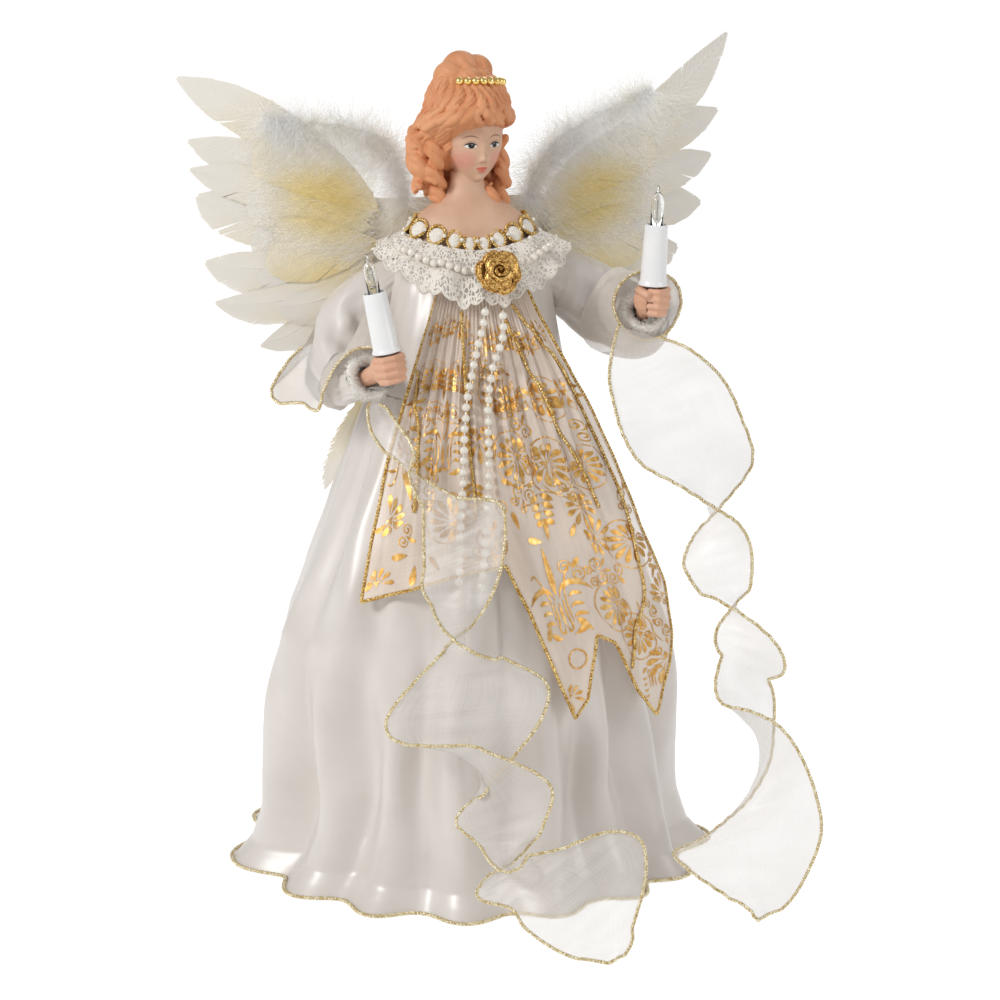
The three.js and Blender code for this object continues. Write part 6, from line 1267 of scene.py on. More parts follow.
# Each soft-edged oval of paint lies on both sides of the face: colour, place across and up, half width,
# half height and bow in mm, softness, and strength
PAINT = [
    ("#DE8B7E", 7.4, -11.2, 4.2, 3.8, 0, 0.95, 0.5), ("#8A5F48", 5.7, -0.6, 3.2, 0.34, 1.2, 0.6, 0.85),
    # The soft brownish band in each lid crease (#B08A78) is painted shade.
    ("#B08A78", 5.6, -3.1, 2.9, 0.42, 0.9, 0.7, 0.7), ("#F1EAE4", 5.6, -4.8, 2.5, 1.1, 0, 0.22, 1),
    ("#1C1411", 5.4, -4.75, 1.32, 1.25, 0, 0.22, 1), ("#050404", 5.4, -4.75, 0.75, 0.75, 0, 0.25, 1),
    # The white dot in each eye (#FFFFFF) is a painted highlight.
    ("#FFFFFF", 5.2, -4.15, 0.3, 0.3, 0, 0.3, 1), ("#2A1F1B", 5.65, -3.85, 2.85, 0.42, 1, 0.35, 1),
    # The small dark spots at the nostrils (#A86C55) are painted shade.
    ("#8F6A58", 5.65, -5.95, 2.2, 0.14, -0.6, 0.6, 0.6), ("#A86C55", 1.1, -12.1, 0.5, 0.3, 0, 0.6, 0.6),
    ("#D5705A", 0, -14.65, 2.7, 0.6, 0.2, 0.3, 1), ("#DA7A66", 0, -15.85, 2.1, 0.75, -0.3, 0.35, 1),
    ("#A24F3C", 0, -15.2, 2.7, 0.13, 0, 0.6, 0.8)]
for colour, x, z, half_width, half_height, bow, soft, strength in PAINT:
    across = add_node(face_paint, "Math", {0: either_side, 1: x * MM}, operation="SUBTRACT").outputs[0]
    across = add_node(face_paint, "Math", {0: across, 1: half_width * MM}, operation="DIVIDE").outputs[0]
    square = add_node(face_paint, "Math", {0: across, 1: across}, operation="MULTIPLY").outputs[0]
    up = add_node(face_paint, "Math", {0: apart.outputs["Y"], 1: z * MM}, operation="SUBTRACT").outputs[0]
    up = add_node(face_paint, "Math", {0: square, 1: bow * MM, 2: up}, operation="MULTIPLY_ADD").outputs[0]
    up = add_node(face_paint, "Math", {0: up, 1: half_height * MM}, operation="DIVIDE").outputs[0]
    total = add_node(face_paint, "Math", {0: up, 1: up, 2: square}, operation="MULTIPLY_ADD").outputs[0]
    cover = add_node(face_paint, "MapRange", {"Value": total, "From Min": 1 - soft, "From Max": 1 + soft,
                     "To Min": strength, "To Max": 0.0}, interpolation_type="SMOOTHSTEP")
    painted = add_node(face_paint, "Mix", {0: cover.outputs[0], 6: painted, 7: linear(colour)},
                       data_type="RGBA").outputs[2]
feed(face_paint, "Base Color", painted)
bust.data.materials.clear()
bust.data.materials.append(face_paint)

# %% [markdown]
# ## Hair
# The hair is part of the casting: deep locks that sweep up from the brow to a top knot, and ringlets
# beside the face. Each lock is a tapered roll laid on the head, and all are fused and softened, so
# they read as one carved and painted form.

# %% Hair
peach_hair = bisque("painted_peach_hair", "#D28A5B", "#E3A275")
locks = []


def lock(points, thick, count=26, wave=0.0, seed=0.0, flat=1.0):
    way = smooth_curve(points, count)
    t = np.linspace(0, 1, count)
    way = way + frames_along(way)[0] * (wave * np.sin(t * TURN * 1.6 + seed))[:, None]
    radius = thick * np.sqrt(np.sin(math.pi * (0.06 + 0.88 * t))) * (1 + 0.08 * np.sin(t * 19 + seed))
    return tube(way, radius, 9, flat)


# The crown is a shell under the locks. Rows: height, middle, half width and half depth, in mm
CROWN_ROWS = np.array([
    (-17, 9.5, 8, 5), (-14, 9, 13, 8.5), (-8, 8.5, 17.5, 10.5), (-3, 7.5, 19.5, 12), (2, 4.8, 20, 14.5),
    (6, 1.6, 19.4, 15.8), (11, -0.4, 17.6, 16.2), (16, -0.8, 16, 15.2), (20, -0.8, 14, 13.6), (24, 0.4, 11, 10.6)])


def on_crown(turn, height, out=0.0):
    """Places on the crown: the turn from the front, the height in mm and how far outside the shell."""
    turn, height, out = np.broadcast_arrays(turn, height, out)
    middle, wide, deep = (np.interp(height, CROWN_ROWS[:, 0], CROWN_ROWS[:, k]) for k in (1, 2, 3))
    across, back = np.sin(turn * TURN) * (wide + out), middle - np.cos(turn * TURN) * (deep + out)
    return np.stack([across, back, height], axis=-1)


turn, height = np.meshgrid(np.linspace(0, 1, 420, endpoint=False), np.linspace(-17, 24, 110), indexing="xy")
swept = turn + 0.011 * np.sin(height * 0.36 + 3 * turn * TURN) - 0.1 * np.sin(turn * TURN) * (24 - height) / 40
ridge = np.abs(np.sin(swept * 27 * math.pi + 1.2 * np.sin(height * 0.33))) ** 0.75
strand = np.abs(np.sin(swept * 71 * math.pi + 2 * np.sin(height * 0.21 + turn * 20))) ** 0.8
wave = np.sin(height * 0.42 + 3 * np.sin(turn * 3 * TURN) + 1.4)
crown = on_crown(turn, height, 1.9 * ridge + 0.75 * strand + 0.7 * wave - 0.6)
locks.append((crown.reshape(-1, 3), closed_faces(110, 420)))
# The lobes that roll over at the hairline
for i in range(17):
    turn = -0.27 + 0.54 * i / 16
    hand = 1 if turn > -0.06 else -1
    edge = 5.6 - 17 * abs(turn + 0.05) ** 1.15 + 1.3 * math.sin(i * 2.4)
    ways = [on_crown(turn + hand * ahead, edge + rise, out) for ahead, rise, out in
            ((-0.045, 8, 0.9), (-0.02, 4, 2.1), (0.012, 0.5, 1.6), (0.035, -1.5, -0.6))]
    locks.append(lock(ways, 1.9 + 0.35 * math.sin(i * 1.7), 20, 0.5, i))
# Waves that roll back from the temples, over the ears
for hand in BOTH:
    for i, (low, out) in enumerate(((-1, 1.6), (-5, 2.4), (-9, 2.6), (-13, 1.8))):
        ways = [on_crown(hand * turn, low + rise, lift) for turn, rise, lift in
                ((0.2, 2.5, 0.2), (0.27, -0.8, out), (0.34, 1.6, out + 0.4), (0.41, -1, out), (0.48, 1, 0.8))]
        locks.append(lock(ways, 2.5, 26, 0.5, i))

# Ringlets: start, end, thickness and swing of each, as shares of the hair's radius
RINGLETS = [
    (-0.84, 0.04, -0.1, -0.72, 0.16, -1.1, 0.17), (-0.98, 0.34, -0.05, -0.84, 0.42, -1.2, 0.19),
    (-0.92, 0.64, 0.0, -0.76, 0.62, -1.3, 0.2), (-0.66, 0.3, -0.6, -0.48, 0.3, -1.62, 0.16),
    (-0.45, 0.84, -0.2, -0.38, 0.75, -1.4, 0.2), (0.86, -0.12, -0.1, 0.84, -0.06, -1.3, 0.17),
    (0.74, -0.3, -0.7, 0.8, -0.2, -1.75, 0.15), (0.6, 0.12, -0.85, 0.5, 0.05, -1.85, 0.16),
    (0.94, 0.25, 0, 0.86, 0.3, -1.4, 0.18), (0.64, 0.66, -0.1, 0.58, 0.6, -1.4, 0.19),
    (0.1, 0.9, -0.2, 0.1, 0.82, -1.4, 0.21), (0.42, -0.3, -1.15, 0.5, -0.34, -1.8, 0.12),
]
t = np.linspace(0, 1, 31)
for i, (x0, y0, z0, x1, y1, z1, thick) in enumerate(RINGLETS):
    for k, (phase, share) in enumerate(((0, 1.0), (0.3, 0.9))):
        angle = (t * (1.7 + 0.3 * math.sin(i * 2.1)) + phase + i * 0.37) * TURN
        swing = (0.085 + 0.03 * t)[:, None] * np.array([np.cos(angle), np.sin(angle), 0.35 * np.sin(2 * angle)]).T
        line = np.array([x0, y0, z0]) + np.array([x1 - x0, y1 - y0, z1 - z0]) * t[:, None] + swing
        locks.append(lock(line * HAIR_RADIUS, thick * HAIR_RADIUS * 0.9 * share, 54, 0.2, i + k, 0.8))

# Top knot: fat coils with combed strands, each with its place and size as shares of the knot
BUN_RISE, BUN = 23, 11.5
COILS = ((0.05, 0.2, 0.27, 0.7), (0.72, 0.1, 0.2, 0.6), (-0.5, 0.1, 0.02, 0.62), (-0.72, 0.3, -0.5, 0.46),
         (0.05, 0.15, -0.5, 0.95), (0.45, -0.45, -0.15, 0.5), (-0.1, -0.5, -0.1, 0.52))
polar = np.linspace(0.04, 0.96, 30)[:, None] * math.pi
turn_round = np.linspace(0, TURN, 60, endpoint=False)[None, :]
for x, y, z, size in COILS:
    comb = 1 + 0.05 * np.cos(9 * (turn_round + 0.8 * polar + x * 3))
    comb = comb + 0.02 * np.cos(23 * (turn_round + 0.9 * polar))
    roll = np.stack([np.sin(polar) * comb * np.sin(turn_round), -np.sin(polar) * comb * np.cos(turn_round),
                     -np.cos(polar) + 0 * turn_round], axis=2).reshape(-1, 3) * BUN * size
    lean = turned_round(-0.9 * x)[[0, 2, 1]][:, [0, 2, 1]]
    locks.append((roll @ lean.T + [x * BUN, y * BUN + 2.5, BUN_RISE + z * BUN], closed_faces(30, 60)))
hair_points, hair_faces = gather(locks)
fused("bisque_hair", in_head(hair_points), hair_faces, peach_hair, 0.36, 1, "head_and_bust")

# %% [markdown]
# ## Beads and pearls
# The tiara is a row of gold-plated plastic beads. The necklace and the two hanging strands are
# imitation pearls: plastic beads under a nacre lacquer, which gives a pale, soft gloss with a clear
# coat. They are moulded on their thread, which shows between them.

# %% Beads and pearls
plated = solid_finish("gold_plated_bead", "#DDB45A", "#F5DE9C", 500.0, Metallic=1.0, Roughness=0.26)
nacre = solid_finish("imitation_pearl_lacquer", "#E2DACB", "#F1EBE1", 350.0, Roughness=0.22, Coat_Weight=1.0,
                     Coat_Roughness=0.05, IOR=1.6)


def string_of_beads(name, path, radius, pitch, node, seed):
    """Pearls on their thread along a path, each one a little different."""
    chance = np.random.default_rng(seed)
    count = max(2, round(length_of(path) / pitch))
    print("string", name, count, "beads", round(length_of(path)), "mm")
    parts = [tube(evenly(path, 3 * count), 0.3, 6)]
    for place in evenly(path, 2 * count + 1)[1::2]:
        parts.append(ball(place + chance.normal(size=3) * 0.12, radius * chance.uniform(0.97, 1.03)))
    make_piece(name, *gather(parts), nacre, "pearl", node)


beads = []
for share in np.linspace(0, 1, 8):
    place = on_crown(-0.13 + 0.27 * share, 22.8 - 1.6 * share**3, 2.3 + 0.4 * math.sin(math.pi * share))
    beads += [ball(in_head(place), 1.85, 20, 13), ball(in_head(place + [0, 0, -1.6]), 0.6, 10, 7)]
make_piece("gold_bead_tiara", *gather(beads), plated, "gold_bead", "tiara_beads")

# %% [markdown]
# ## Lace collar
# The collar is machine lace: a tulle net with denser flowers and a scalloped, corded edge, gathered
# round the neckline so that it ruffles. The net and the flowers are drawn in the material as cover;
# the scallops and the ruffles are shape.

# %% Lace collar
lace = new_finish("machine_tulle_lace", "#F0EAE0", Roughness=0.7, Sheen_Weight=0.4)
place = add_node(lace, "UVMap", uv_map="cloth_metres").outputs[0]
net = add_node(lace, "TexVoronoi", {"Vector": place, "Scale": 1 / 0.0014}, feature="DISTANCE_TO_EDGE")
threads = add_node(lace, "MapRange", {"Value": net.outputs["Distance"], "From Min": 0.1, "From Max": 0.24,
                   "To Min": 1.0, "To Max": 0.22})
blossom = add_node(lace, "TexVoronoi", {"Vector": place, "Scale": 1 / 0.0085, "Randomness": 0.35})
middle = add_node(lace, "VectorMath", {0: place, 1: blossom.outputs["Position"]}, operation="SUBTRACT")
apart = add_node(lace, "SeparateXYZ", {0: middle.outputs[0]})
petals = add_node(lace, "Math", {0: apart.outputs["Y"], 1: apart.outputs["X"]}, operation="ARCTAN2")
for operation, values in (("MULTIPLY", {1: 2.5}), ("COSINE", {}), ("ABSOLUTE", {}),
                          ("MULTIPLY_ADD", {1: 0.26, 2: 0.17}), ("SUBTRACT", {1: blossom.outputs["Distance"]})):
    petals = add_node(lace, "Math", {0: petals.outputs[0], **values}, operation=operation)
flower = add_node(lace, "MapRange", {"Value": petals.outputs[0], "From Min": -0.02, "From Max": 0.03,
                  "To Min": 0.0, "To Max": 0.95})
cover = add_node(lace, "Math", {0: threads.outputs[0], 1: flower.outputs[0]}, operation="MAXIMUM")
feed(lace, "Alpha", cover.outputs[0])
bump = add_node(lace, "Bump", {"Height": cover.outputs[0], "Strength": 0.6, "Distance": 0.0004})
feed(lace, "Normal", bump.outputs[0])
white_cord = solid_finish("mercerised_cotton_cord", "#E4DCCF", "#F6F1E8", 900.0, Roughness=0.6, Sheen_Weight=0.3)


def collar_point(angle, share):
    frontness = np.clip(np.cos(angle), 0, 1) ** 1.5
    inner = ellipse(30.1, 20.1, angle)
    outer = ellipse(43, np.where(np.cos(angle) > 0, 38, 27), angle)
    ruffle = 1.8 * share * np.cos(angle * 13)
    height = 279.5 - 5 * frontness - (7 + 14 * frontness) * share**1.25 + ruffle
    return around(angle, inner + (outer - inner) * share + ruffle * 0.5, height)


SCALLOPS = 39
angle, share = np.meshgrid(np.linspace(0, TURN, 520, endpoint=False), np.linspace(0, 1, 30), indexing="xy")
share = share * (0.93 + 0.075 * np.abs(np.sin(angle * SCALLOPS / 2)))
grid = collar_point(angle, share)
grid[:, :, 2] += 0.5 * share * ripple(angle * 30, share * 5, 9, 2)
collar = cloth_piece("tulle_lace_collar", grid, lace, "lace", "lace_collar", wrapped=True)
middle_line = collar_point(np.linspace(0, TURN, 521), np.full(521, 0.55)) + [0, 0, 0.4]
cords = [edge_cord("collar_scallop_cord", looped(grid[-1]), white_cord, 0.5, 1.8, True, "lace"),
         edge_cord("collar_middle_cord", middle_line, white_cord, 0.35, 1.6, True, "lace")]
cloth_size(collar, length_of(grid[15]), float(line_lengths(grid, 0).mean()), cords)

# %% [markdown]
# ## Neckline braid
# A furnishing braid covers the seam: gold gimp laid in loops, with a white satin petal in each loop
# and a small pearl between the loops.

# %% Neckline braid
def braid_place(turn, across, up):
    """A place on the braid: the turn round the neckline, and how far across and above its middle."""
    angle = np.asarray(turn) * TURN
    base = collar_point(angle, 0 * angle)
    height = base[..., 2] + 3.6 - 1.8 * np.clip(np.cos(angle), 0, 1)
    return around(angle, np.hypot(base[..., 0], base[..., 1]) - 3.4 + across, height + up)


LOOPS = 17
t = np.linspace(0, 1, 1761)
loop = t * LOOPS * TURN
loop_path = braid_place(t + 0.64 / LOOPS * np.sin(loop), 2.7 * np.cos(loop), -4.2 * np.cos(loop))
make_piece("gold_loop_braid", *twisted_cord(loop_path, 0.8, 2.4, closed=True), gold_gimp, "gold_braid",
           "neckline_braid")
u, v = np.meshgrid(np.linspace(-1, 1, 7), np.linspace(-1, 1, 7), indexing="ij")
leaf_width = np.sqrt(np.clip(1 - u**2, 0.02, 1))
petals, pearls = [], []
for i in range(LOOPS):
    points = braid_place((i + 0.5 + u * 0.42) / LOOPS, v * leaf_width * 1.9 + 0.9 * (1 - u**2 - v**2),
                         0.2 - 3 * v * leaf_width)
    petals.append((points.reshape(-1, 3), grid_faces(7, 7)))
    pearls += [ball(braid_place(i / LOOPS, 3.4, -3.2), 1.25), ball(braid_place(i / LOOPS, 0.8, 1.6), 0.95)]
make_piece("braid_satin_petals", *gather(petals), white_cord, "gold_braid")
make_piece("braid_seed_pearls", *gather(pearls), nacre, "pearl")

# %% Necklace and strands
swag = []
for turn in np.linspace(-0.19, 0.19, 15):
    base = collar_point(turn * TURN, 0.5)
    swag.append(around(turn * TURN, math.hypot(base[0], base[1]) + 2.1, base[2] + 2.1))
string_of_beads("pearl_swag", smooth_curve(swag, 200), 1.75, 3.7, "pearl_necklace", 3)
# Turn, share of the dress's height, and how far the strand stands off
STRANDS = {
    "right": [(-0.004, 0.91, 0.04), (-0.012, 0.868, 0.02), (-0.022, 0.82, 0), (-0.031, 0.77, 0), (-0.034, 0.7, 0),
              (-0.035, 0.63, 0), (-0.036, 0.56, 0), (-0.036, 0.475, 0)],
    "left": [(0.018, 0.905, 0.045), (0.016, 0.86, 0.025), (0.006, 0.82, 0), (-0.004, 0.77, 0), (-0.007, 0.7, 0),
             (-0.01, 0.63, 0), (-0.014, 0.56, 0), (-0.018, 0.5, 0)],
}
for side, rows in STRANDS.items():
    turn, rise, out = np.array(rows).T
    height = rise * DRESS_HEIGHT
    crest = dress_radius(turn * TURN, height) + TUNIC_OFFSET + TUNIC_FOLD + 0.3
    line = smooth_curve(around(turn * TURN, crest + 2.15 + out * DRESS_HEIGHT, height), 200)
    string_of_beads(f"pearl_drop_{side}", line, 1.85, 4.6, f"pearl_strand_{side}", 5)

# %% [markdown]
# ## Ribbon rose
# The rose is gold lamé ribbon, rolled tight at the heart and folded over at the lip of each petal.
# Each petal is a curved patch: narrow at its foot, cupped, and rolled outwards at its edge.

# %% Ribbon rose
lame = metallic_yarn("gold_lame_ribbon", "#9A6222", "#F3CC7C", 0.4, 0.0006)
ROSE_RADIUS, ROSE_DEPTH, LIP = 8.6, 7.5, 0.42
rose_parts = []


def petal(reach, angle, height):
    """A patch of ribbon with a rolled lip along its last line."""
    points = np.stack([np.cos(angle) * reach, np.sin(angle) * reach, height], axis=2)
    lip = points[:, -1]
    return [(points.reshape(-1, 3), grid_faces(*points.shape[:2])), tube(lip, LIP, 8)]


# The heart is one ribbon rolled round itself
t, v = np.meshgrid(np.linspace(0, 1, 260), np.linspace(0, 1, 12), indexing="ij")
angle = t * 3.3 * TURN
swell = np.abs(np.sin(angle * 1.18 + 0.4)) ** 0.7
roll_out = np.clip(v - 0.7, 0, 1) / 0.3
reach = ROSE_RADIUS * (0.015 + 0.7 * t**0.85) * (0.5 + 0.5 * v**0.6)
reach = reach + (0.15 + 3.9 * t) * swell * roll_out**1.4 * 0.8
high = ROSE_DEPTH * (1.04 - 0.5 * t**1.6) * (0.86 + 0.14 * swell)
rose_parts += petal(reach, angle, high * np.sin(v * math.pi * 0.56) - 0.9 * roll_out**2)
u, v = np.meshgrid(np.linspace(-1, 1, 25), np.linspace(0, 1, 14), indexing="ij")
roll_out = np.clip(v - 0.7, 0, 1) / 0.3
for i in range(6):
    reach = ROSE_RADIUS * (0.45 + 0.62 * v**0.8) * (1 - 0.2 * u**4) + 0.5 * (i % 2) - 0.7 * u
    height = ROSE_DEPTH * (0.1 + 0.44 * np.sin(v * math.pi * 0.6)) * (1 - 0.25 * u**2)
    height = height - 1.5 * roll_out**2 - 0.7 * u
    rose_parts += petal(reach, i / 6 * TURN + u * (0.42 + 0.2 * np.sqrt(v)), height)
tilt = math.radians(66)
spin = np.array([[1, 0, 0], [0, math.cos(tilt), -math.sin(tilt)], [0, math.sin(tilt), math.cos(tilt)]])
points, faces = gather(rose_parts + [turned([(0, -0.9), (5.6, -0.9), (5.8, 0.9), (0, 1.4)], 24)])
make_piece("gold_ribbon_rose", points @ spin.T + [5.7, -36.4, 266.8], faces, lame, "gold_ribbon", "ribbon_rose")

# %% [markdown]
# ## Feathers
# A goose feather is a stiff shaft with hundreds of barbs on each side. The barbs lie at a slant, hook
# together into a vane and part here and there. Each barb is one thin ribbon, so the parted places and
# the ragged edge come by themselves. The wing's inner feathers are tinted yellow.

# %% Feather finishes
def feather_finish(name, pale, tint, shaft_tint):
    """Barbs: matt, tinted towards the quill along the feather's own map."""
    material = new_finish(name, Roughness=0.75, Sheen_Weight=0.3)
    apart = add_node(material, "SeparateXYZ", {0: add_node(material, "UVMap", uv_map="cloth_metres").outputs[0]})
    along = add_node(material, "MapRange", {"Value": apart.outputs["Y"], "From Min": 0.0, "From Max": 0.001})
    place = add_node(material, "TexCoord").outputs["Object"]
    cloud = add_node(material, "TexNoise", {"Vector": place, "Scale": 70.0, "Detail": 3.0})
    uneven = add_node(material, "Math", {0: cloud.outputs[0], 1: 0.5, 2: along.outputs[0]}, operation="MULTIPLY_ADD")
    stops = ((0.25, shaft_tint), (0.62, tint), (1.0, pale))
    feed(material, "Base Color", add_node(material, "ValToRGB", {"Fac": uneven.outputs[0]}, stops).outputs[0])
    return material


goose = feather_finish("bleached_goose_feather", "#E9E4DB", "#E9DFC8", "#E7D7A6")
yellow_goose = feather_finish("tinted_goose_feather", "#EBE1CA", "#EBDAA9", "#E9D08E")
down_feather = new_finish("white_marabou_down", Roughness=0.8, Sheen_Weight=0.3, Alpha=0.34)
place = add_node(down_feather, "TexCoord").outputs["Object"]
tufts = add_node(down_feather, "TexNoise", {"Vector": place, "Scale": 60.0})
white_down = add_node(down_feather, "ValToRGB", {"Fac": tufts.outputs[0]}, ((0.35, "#F8F5EC"), (0.6, "#FEFDFB")))
dye = add_node(down_feather, "SeparateXYZ", {0: add_node(down_feather, "UVMap", uv_map="cloth_metres").outputs[0]})
dyed = add_node(down_feather, "Mix", {0: dye.outputs["X"], 6: white_down.outputs[0], 7: linear("#FBE9A6")},
                data_type="RGBA")
feed(down_feather, "Base Color", dyed.outputs[2])

# %% Feather shape
# Share of the length, and of the half width
FEATHER_OUTLINE = np.array([(0, 0.12), (0.06, 0.3), (0.14, 0.62), (0.3, 0.95), (0.5, 1), (0.66, 0.88), (0.8, 0.6),
                            (0.92, 0.27), (1, 0.04)])


def feather(path, outward, half_width, seed, barbs=100, ragged=0.03):
    """Shaft and barbs along a path. outward is square to the vane. Heights run from quill to tip."""
    chance = np.random.default_rng(seed)
    path = evenly(np.asarray(path, float), 60)
    ahead = unit(np.gradient(path, axis=0))
    across = unit(np.cross(outward, ahead))
    t = np.linspace(0, 1, 60)
    parts, heights = [tube(path, 0.5 * (1 - 0.8 * t) + 0.05, 6)], [np.repeat(t, 6)]
    reach = np.linspace(0, 1, 6)[:, None]
    for hand, fullness in ((-1, 1.0), (1, 0.72)):
        gap = np.cumsum(chance.random(barbs) < 0.03)
        for k, s in enumerate(np.linspace(0.04, 0.985, barbs)):
            low, frac = int(s * 59), s * 59 % 1
            root = path[low] * (1 - frac) + path[min(low + 1, 59)] * frac
            wide = half_width * np.interp(s, *FEATHER_OUTLINE.T) * fullness * (1 - ragged * chance.random())
            slant = 0.9 + 0.6 * s + 0.09 * math.sin(gap[k] * 2.4)
            line = root + across[low] * hand * wide * reach + ahead[low] * wide * slant * reach**1.25
            line = line + outward * (0.05 * hand + 0.06 * (k % 3))
            half = ahead[low] * (0.95 * length_of(path) / barbs) * (1 - 0.35 * reach**2)
            parts.append((np.stack([line + half, line - half], axis=1).reshape(-1, 3), grid_faces(6, 2)))
            heights.append(np.full(12, s))
    return *gather(parts), np.concatenate(heights)


def quill_map(heights):
    """A feather's own map, which tells how far each point lies from the quill to the tip."""
    return np.stack([heights * 0, heights], axis=1)


WING_ROOT, WING_SPAN, WING_SWEEP, WING_CAMBER, LAYER_PITCH = (30, 29, 262), 100, math.radians(12), 7, 0.55
FEATHER_NAMES = ["primary_1", "primary_2", "primary_3", "primary_4", "primary_5", "secondary_1", "secondary_2",
                 "covert_1", "covert_2"]
# Root and tip across and up, half width and bow as shares of the span, and the layer
FEATHER_ROWS = {
    "right": [(0.06, 0.26, 0.95, 0.805, 0.125, 0.05, 0), (0.07, 0.22, 0.905, 0.53, 0.115, 0.03, 1),
              (0.08, 0.18, 0.9, 0.405, 0.105, 0.02, 2), (0.08, 0.13, 0.87, 0.285, 0.14, -0.03, 0),
              (0.08, 0.08, 0.84, -0.01, 0.12, -0.06, 1), (0.08, 0.04, 0.8, -0.19, 0.1, -0.08, 2),
              (0.1, 0, 0.6, -0.385, 0.085, -0.05, 0), (0.05, 0.22, 0.6, 0.5, 0.15, 0.04, 3),
              (0.05, 0.1, 0.52, 0.1, 0.17, -0.02, 4)],
    "left": [(0.06, 0.26, 1.01, 0.965, 0.12, -0.06, 0), (0.07, 0.22, 0.965, 0.62, 0.13, 0.05, 1),
             (0.08, 0.16, 0.93, 0.42, 0.12, 0.02, 2), (0.08, 0.11, 0.885, 0.2, 0.13, 0.05, 0),
             (0.08, 0.06, 0.76, 0.01, 0.12, -0.03, 1), (0.08, 0.02, 0.62, -0.14, 0.1, -0.05, 2),
             (0.1, -0.02, 0.45, -0.27, 0.085, -0.05, 0), (0.05, 0.22, 0.62, 0.5, 0.15, 0.04, 3),
             (0.05, 0.1, 0.52, 0.12, 0.17, -0.02, 4)],
}


def on_wing(side, points):
    """Points in the wing's own plane, x outwards and z up, put where the wing is."""
    place = np.array(WING_ROOT) * [SIDES[side], 1, 1]
    return (np.asarray(points, float) * [SIDES[side], 1, 1]) @ turned_round(SIDES[side] * WING_SWEEP).T + place


def vane_path(root_x, root_z, tip_x, tip_z, half, bow, layer):
    root, tip = np.array([root_x, 0, root_z]) * WING_SPAN, np.array([tip_x, 0, tip_z]) * WING_SPAN
    along = tip - root
    s = np.linspace(0, 1, 40)[:, None]
    line = root + along * s + unit(np.array([-along[2], 0, along[0]])) * bow * WING_SPAN * 4 * s * (1 - s)
    line[:, 1] += WING_CAMBER * (line[:, 0] / WING_SPAN) ** 2 - layer * LAYER_PITCH
    return line


UNDER_FEATHERS = 6
for side, rows in FEATHER_ROWS.items():
    for order, (name, row) in enumerate(zip(FEATHER_NAMES, rows)):
        vanes = [np.array(row)]
        if order < UNDER_FEATHERS:
            # A shorter feather fills the gap to the next one, half a layer below
            filler = (vanes[0] + rows[order + 1]) / 2
            filler[2:4] = filler[:2] + (filler[2:4] - filler[:2]) * 0.7
            filler[6] = row[6] + 0.5
            vanes.append(filler)
        parts, heights = [], []
        for k, vane in enumerate(vanes):
            seed = 100 + order * 7 + k + 50 * SIDES[side]
            points, faces, height = feather(vane_path(*vane), np.array([0.0, -1, 0]), vane[4] * WING_SPAN, seed)
            parts.append((on_wing(side, points), faces))
            heights.append(height)
        tinted = name.startswith("covert")
        make_piece(f"goose_{name}_{side}", *gather(parts), yellow_goose if tinted else goose,
                   "yellow_feather" if tinted else "feather", f"{name}_{side}", uv=quill_map(np.concatenate(heights)))

# %% [markdown]
# ## Marabou
# Marabou is down: barbs as fine as hair that stand out every way and float. A rope of it covers the
# top of each wing. Thousands of fine curved fibres make its haze, longest where it hangs over the
# feathers.

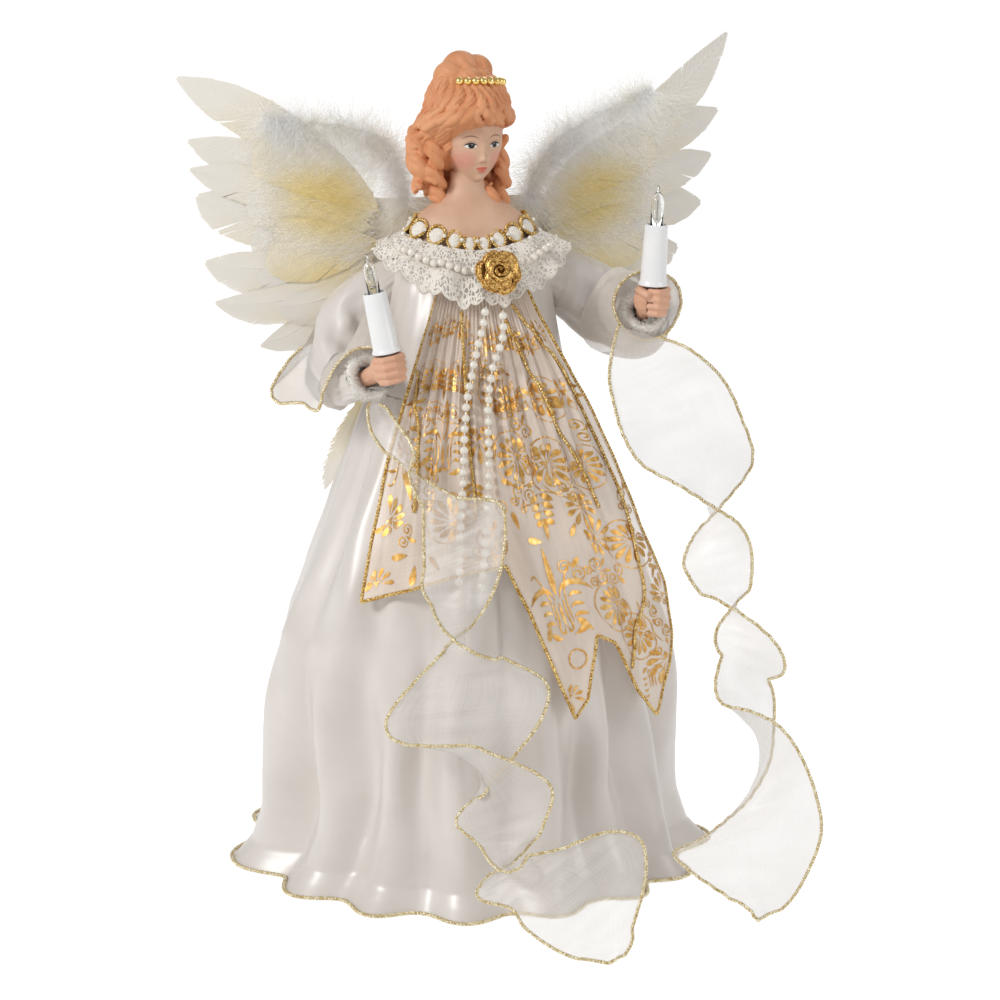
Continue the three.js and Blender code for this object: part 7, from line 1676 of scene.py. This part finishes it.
# %% Marabou
# Across and up on the wing, as shares of its span
MARABOU = {
    "right": [(-0.07, 0.26), (-0.04, 0.42), (0.04, 0.55), (0.2, 0.6), (0.4, 0.622), (0.56, 0.64)],
    "left": [(-0.02, 0.26), (0.03, 0.4), (0.14, 0.53), (0.3, 0.61), (0.46, 0.68), (0.6, 0.735)],
}
PLUME_FIBRES, INNER_FIBRES, FIBRE_WIDTH, FIBRE_FACE = 8500, 4200, 0.17, (-0.45, -0.75, 0.5)
TO_THE_FRONT = np.array([0.0, -1, 0])
for side in SIDES:
    chance = np.random.default_rng(90 + SIDES[side])
    line = smooth_curve([(x * WING_SPAN, -3.9, z * WING_SPAN) for x, z in MARABOU[side]], 200)
    line[:, 1] += WING_CAMBER * (line[:, 0] / WING_SPAN) ** 2
    count = PLUME_FIBRES
    s = chance.random(count)
    index = (s * 199).astype(int)
    ahead = unit(np.gradient(line, axis=0))[index]
    tall = np.cross((0.0, -1, 0), ahead)
    chance.random(count)  # Not used, but it keeps the draws below as they are
    down_bias = np.where(chance.random(count) < 0.62, -1.0, 1.0)
    thick = 5.0 * (0.45 + 0.55 * np.sin(math.pi * s))
    roots = (line[index] + tall * (chance.uniform(-1, 1, count) * thick)[:, None]
             + TO_THE_FRONT * chance.uniform(-1.5, 2, count)[:, None])
    ways = unit(tall * (down_bias * chance.uniform(0.2, 1.0, count))[:, None]
                + ahead * chance.normal(0, 0.5, count)[:, None]
                + TO_THE_FRONT * chance.uniform(-0.3, 0.6, count)[:, None])
    lengths = np.where(ways[:, 2] > 0, 4 + 14 * chance.random(count) ** 2, chance.uniform(8, 27, count))
    plumes = fibres(roots, ways, lengths, FIBRE_WIDTH, 0.35, 95 + SIDES[side], 5, FIBRE_FACE)
    count = INNER_FIBRES
    spread = chance.random((count, 2))
    x, z = 0.06 + 0.5 * spread[:, 0] ** 1.2, -0.02 + 0.5 * spread[:, 1]
    rise = z + 0.28 * x - 0.02
    roots = np.stack([x * WING_SPAN, -3.4 + WING_CAMBER * x**2, rise * WING_SPAN], axis=1)
    ways = unit(np.stack([chance.uniform(low, high, count) for low, high in ((0.2, 1.1), (-0.5, 0.05), (-0.7, 0.5))],
                         axis=1))
    lengths = chance.uniform(9, 24, count) * (1 - 0.35 * spread[:, 0])
    inner = fibres(roots, ways, lengths, FIBRE_WIDTH, 0.3, 98, 5, FIBRE_FACE)
    core = tube(line, 0.9 * (0.5 + 0.5 * np.sin(math.pi * np.linspace(0, 1, 200))), 8)
    # Only the inner down is dyed yellow, most of all round its middle
    dyed_share = 1 - ease(np.hypot((inner[0][:, 0] - 30) / 26, (inner[0][:, 2] - 28) / 20), 0.3, 1.2)
    yellow = np.concatenate([np.zeros(len(plumes[0])), dyed_share, np.zeros(len(core[0]))])
    points, faces = gather([plumes, inner, core])
    make_piece(f"marabou_down_{side}", on_wing(side, points), faces, down_feather, "fur", f"marabou_{side}",
               uv=np.stack([yellow, yellow], axis=1) / MM)

# %% Tail feather
high, low = 0.735 * DRESS_HEIGHT, 0.575 * DRESS_HEIGHT
s = np.linspace(0, 1, 40)
angle, height = (-0.32 + 0.012 * s) * TURN, high + (low - high) * s
path = around(angle, dress_radius(angle, height) + 1.4, height)
points, faces, heights = feather(path, unit(np.array([-0.5, -0.85, 0.1])), 6.5, 7, 70, 0.3)
make_piece("goose_tail_plume", points, faces, goose, "feather", "tail_feather", uv=quill_map(heights))
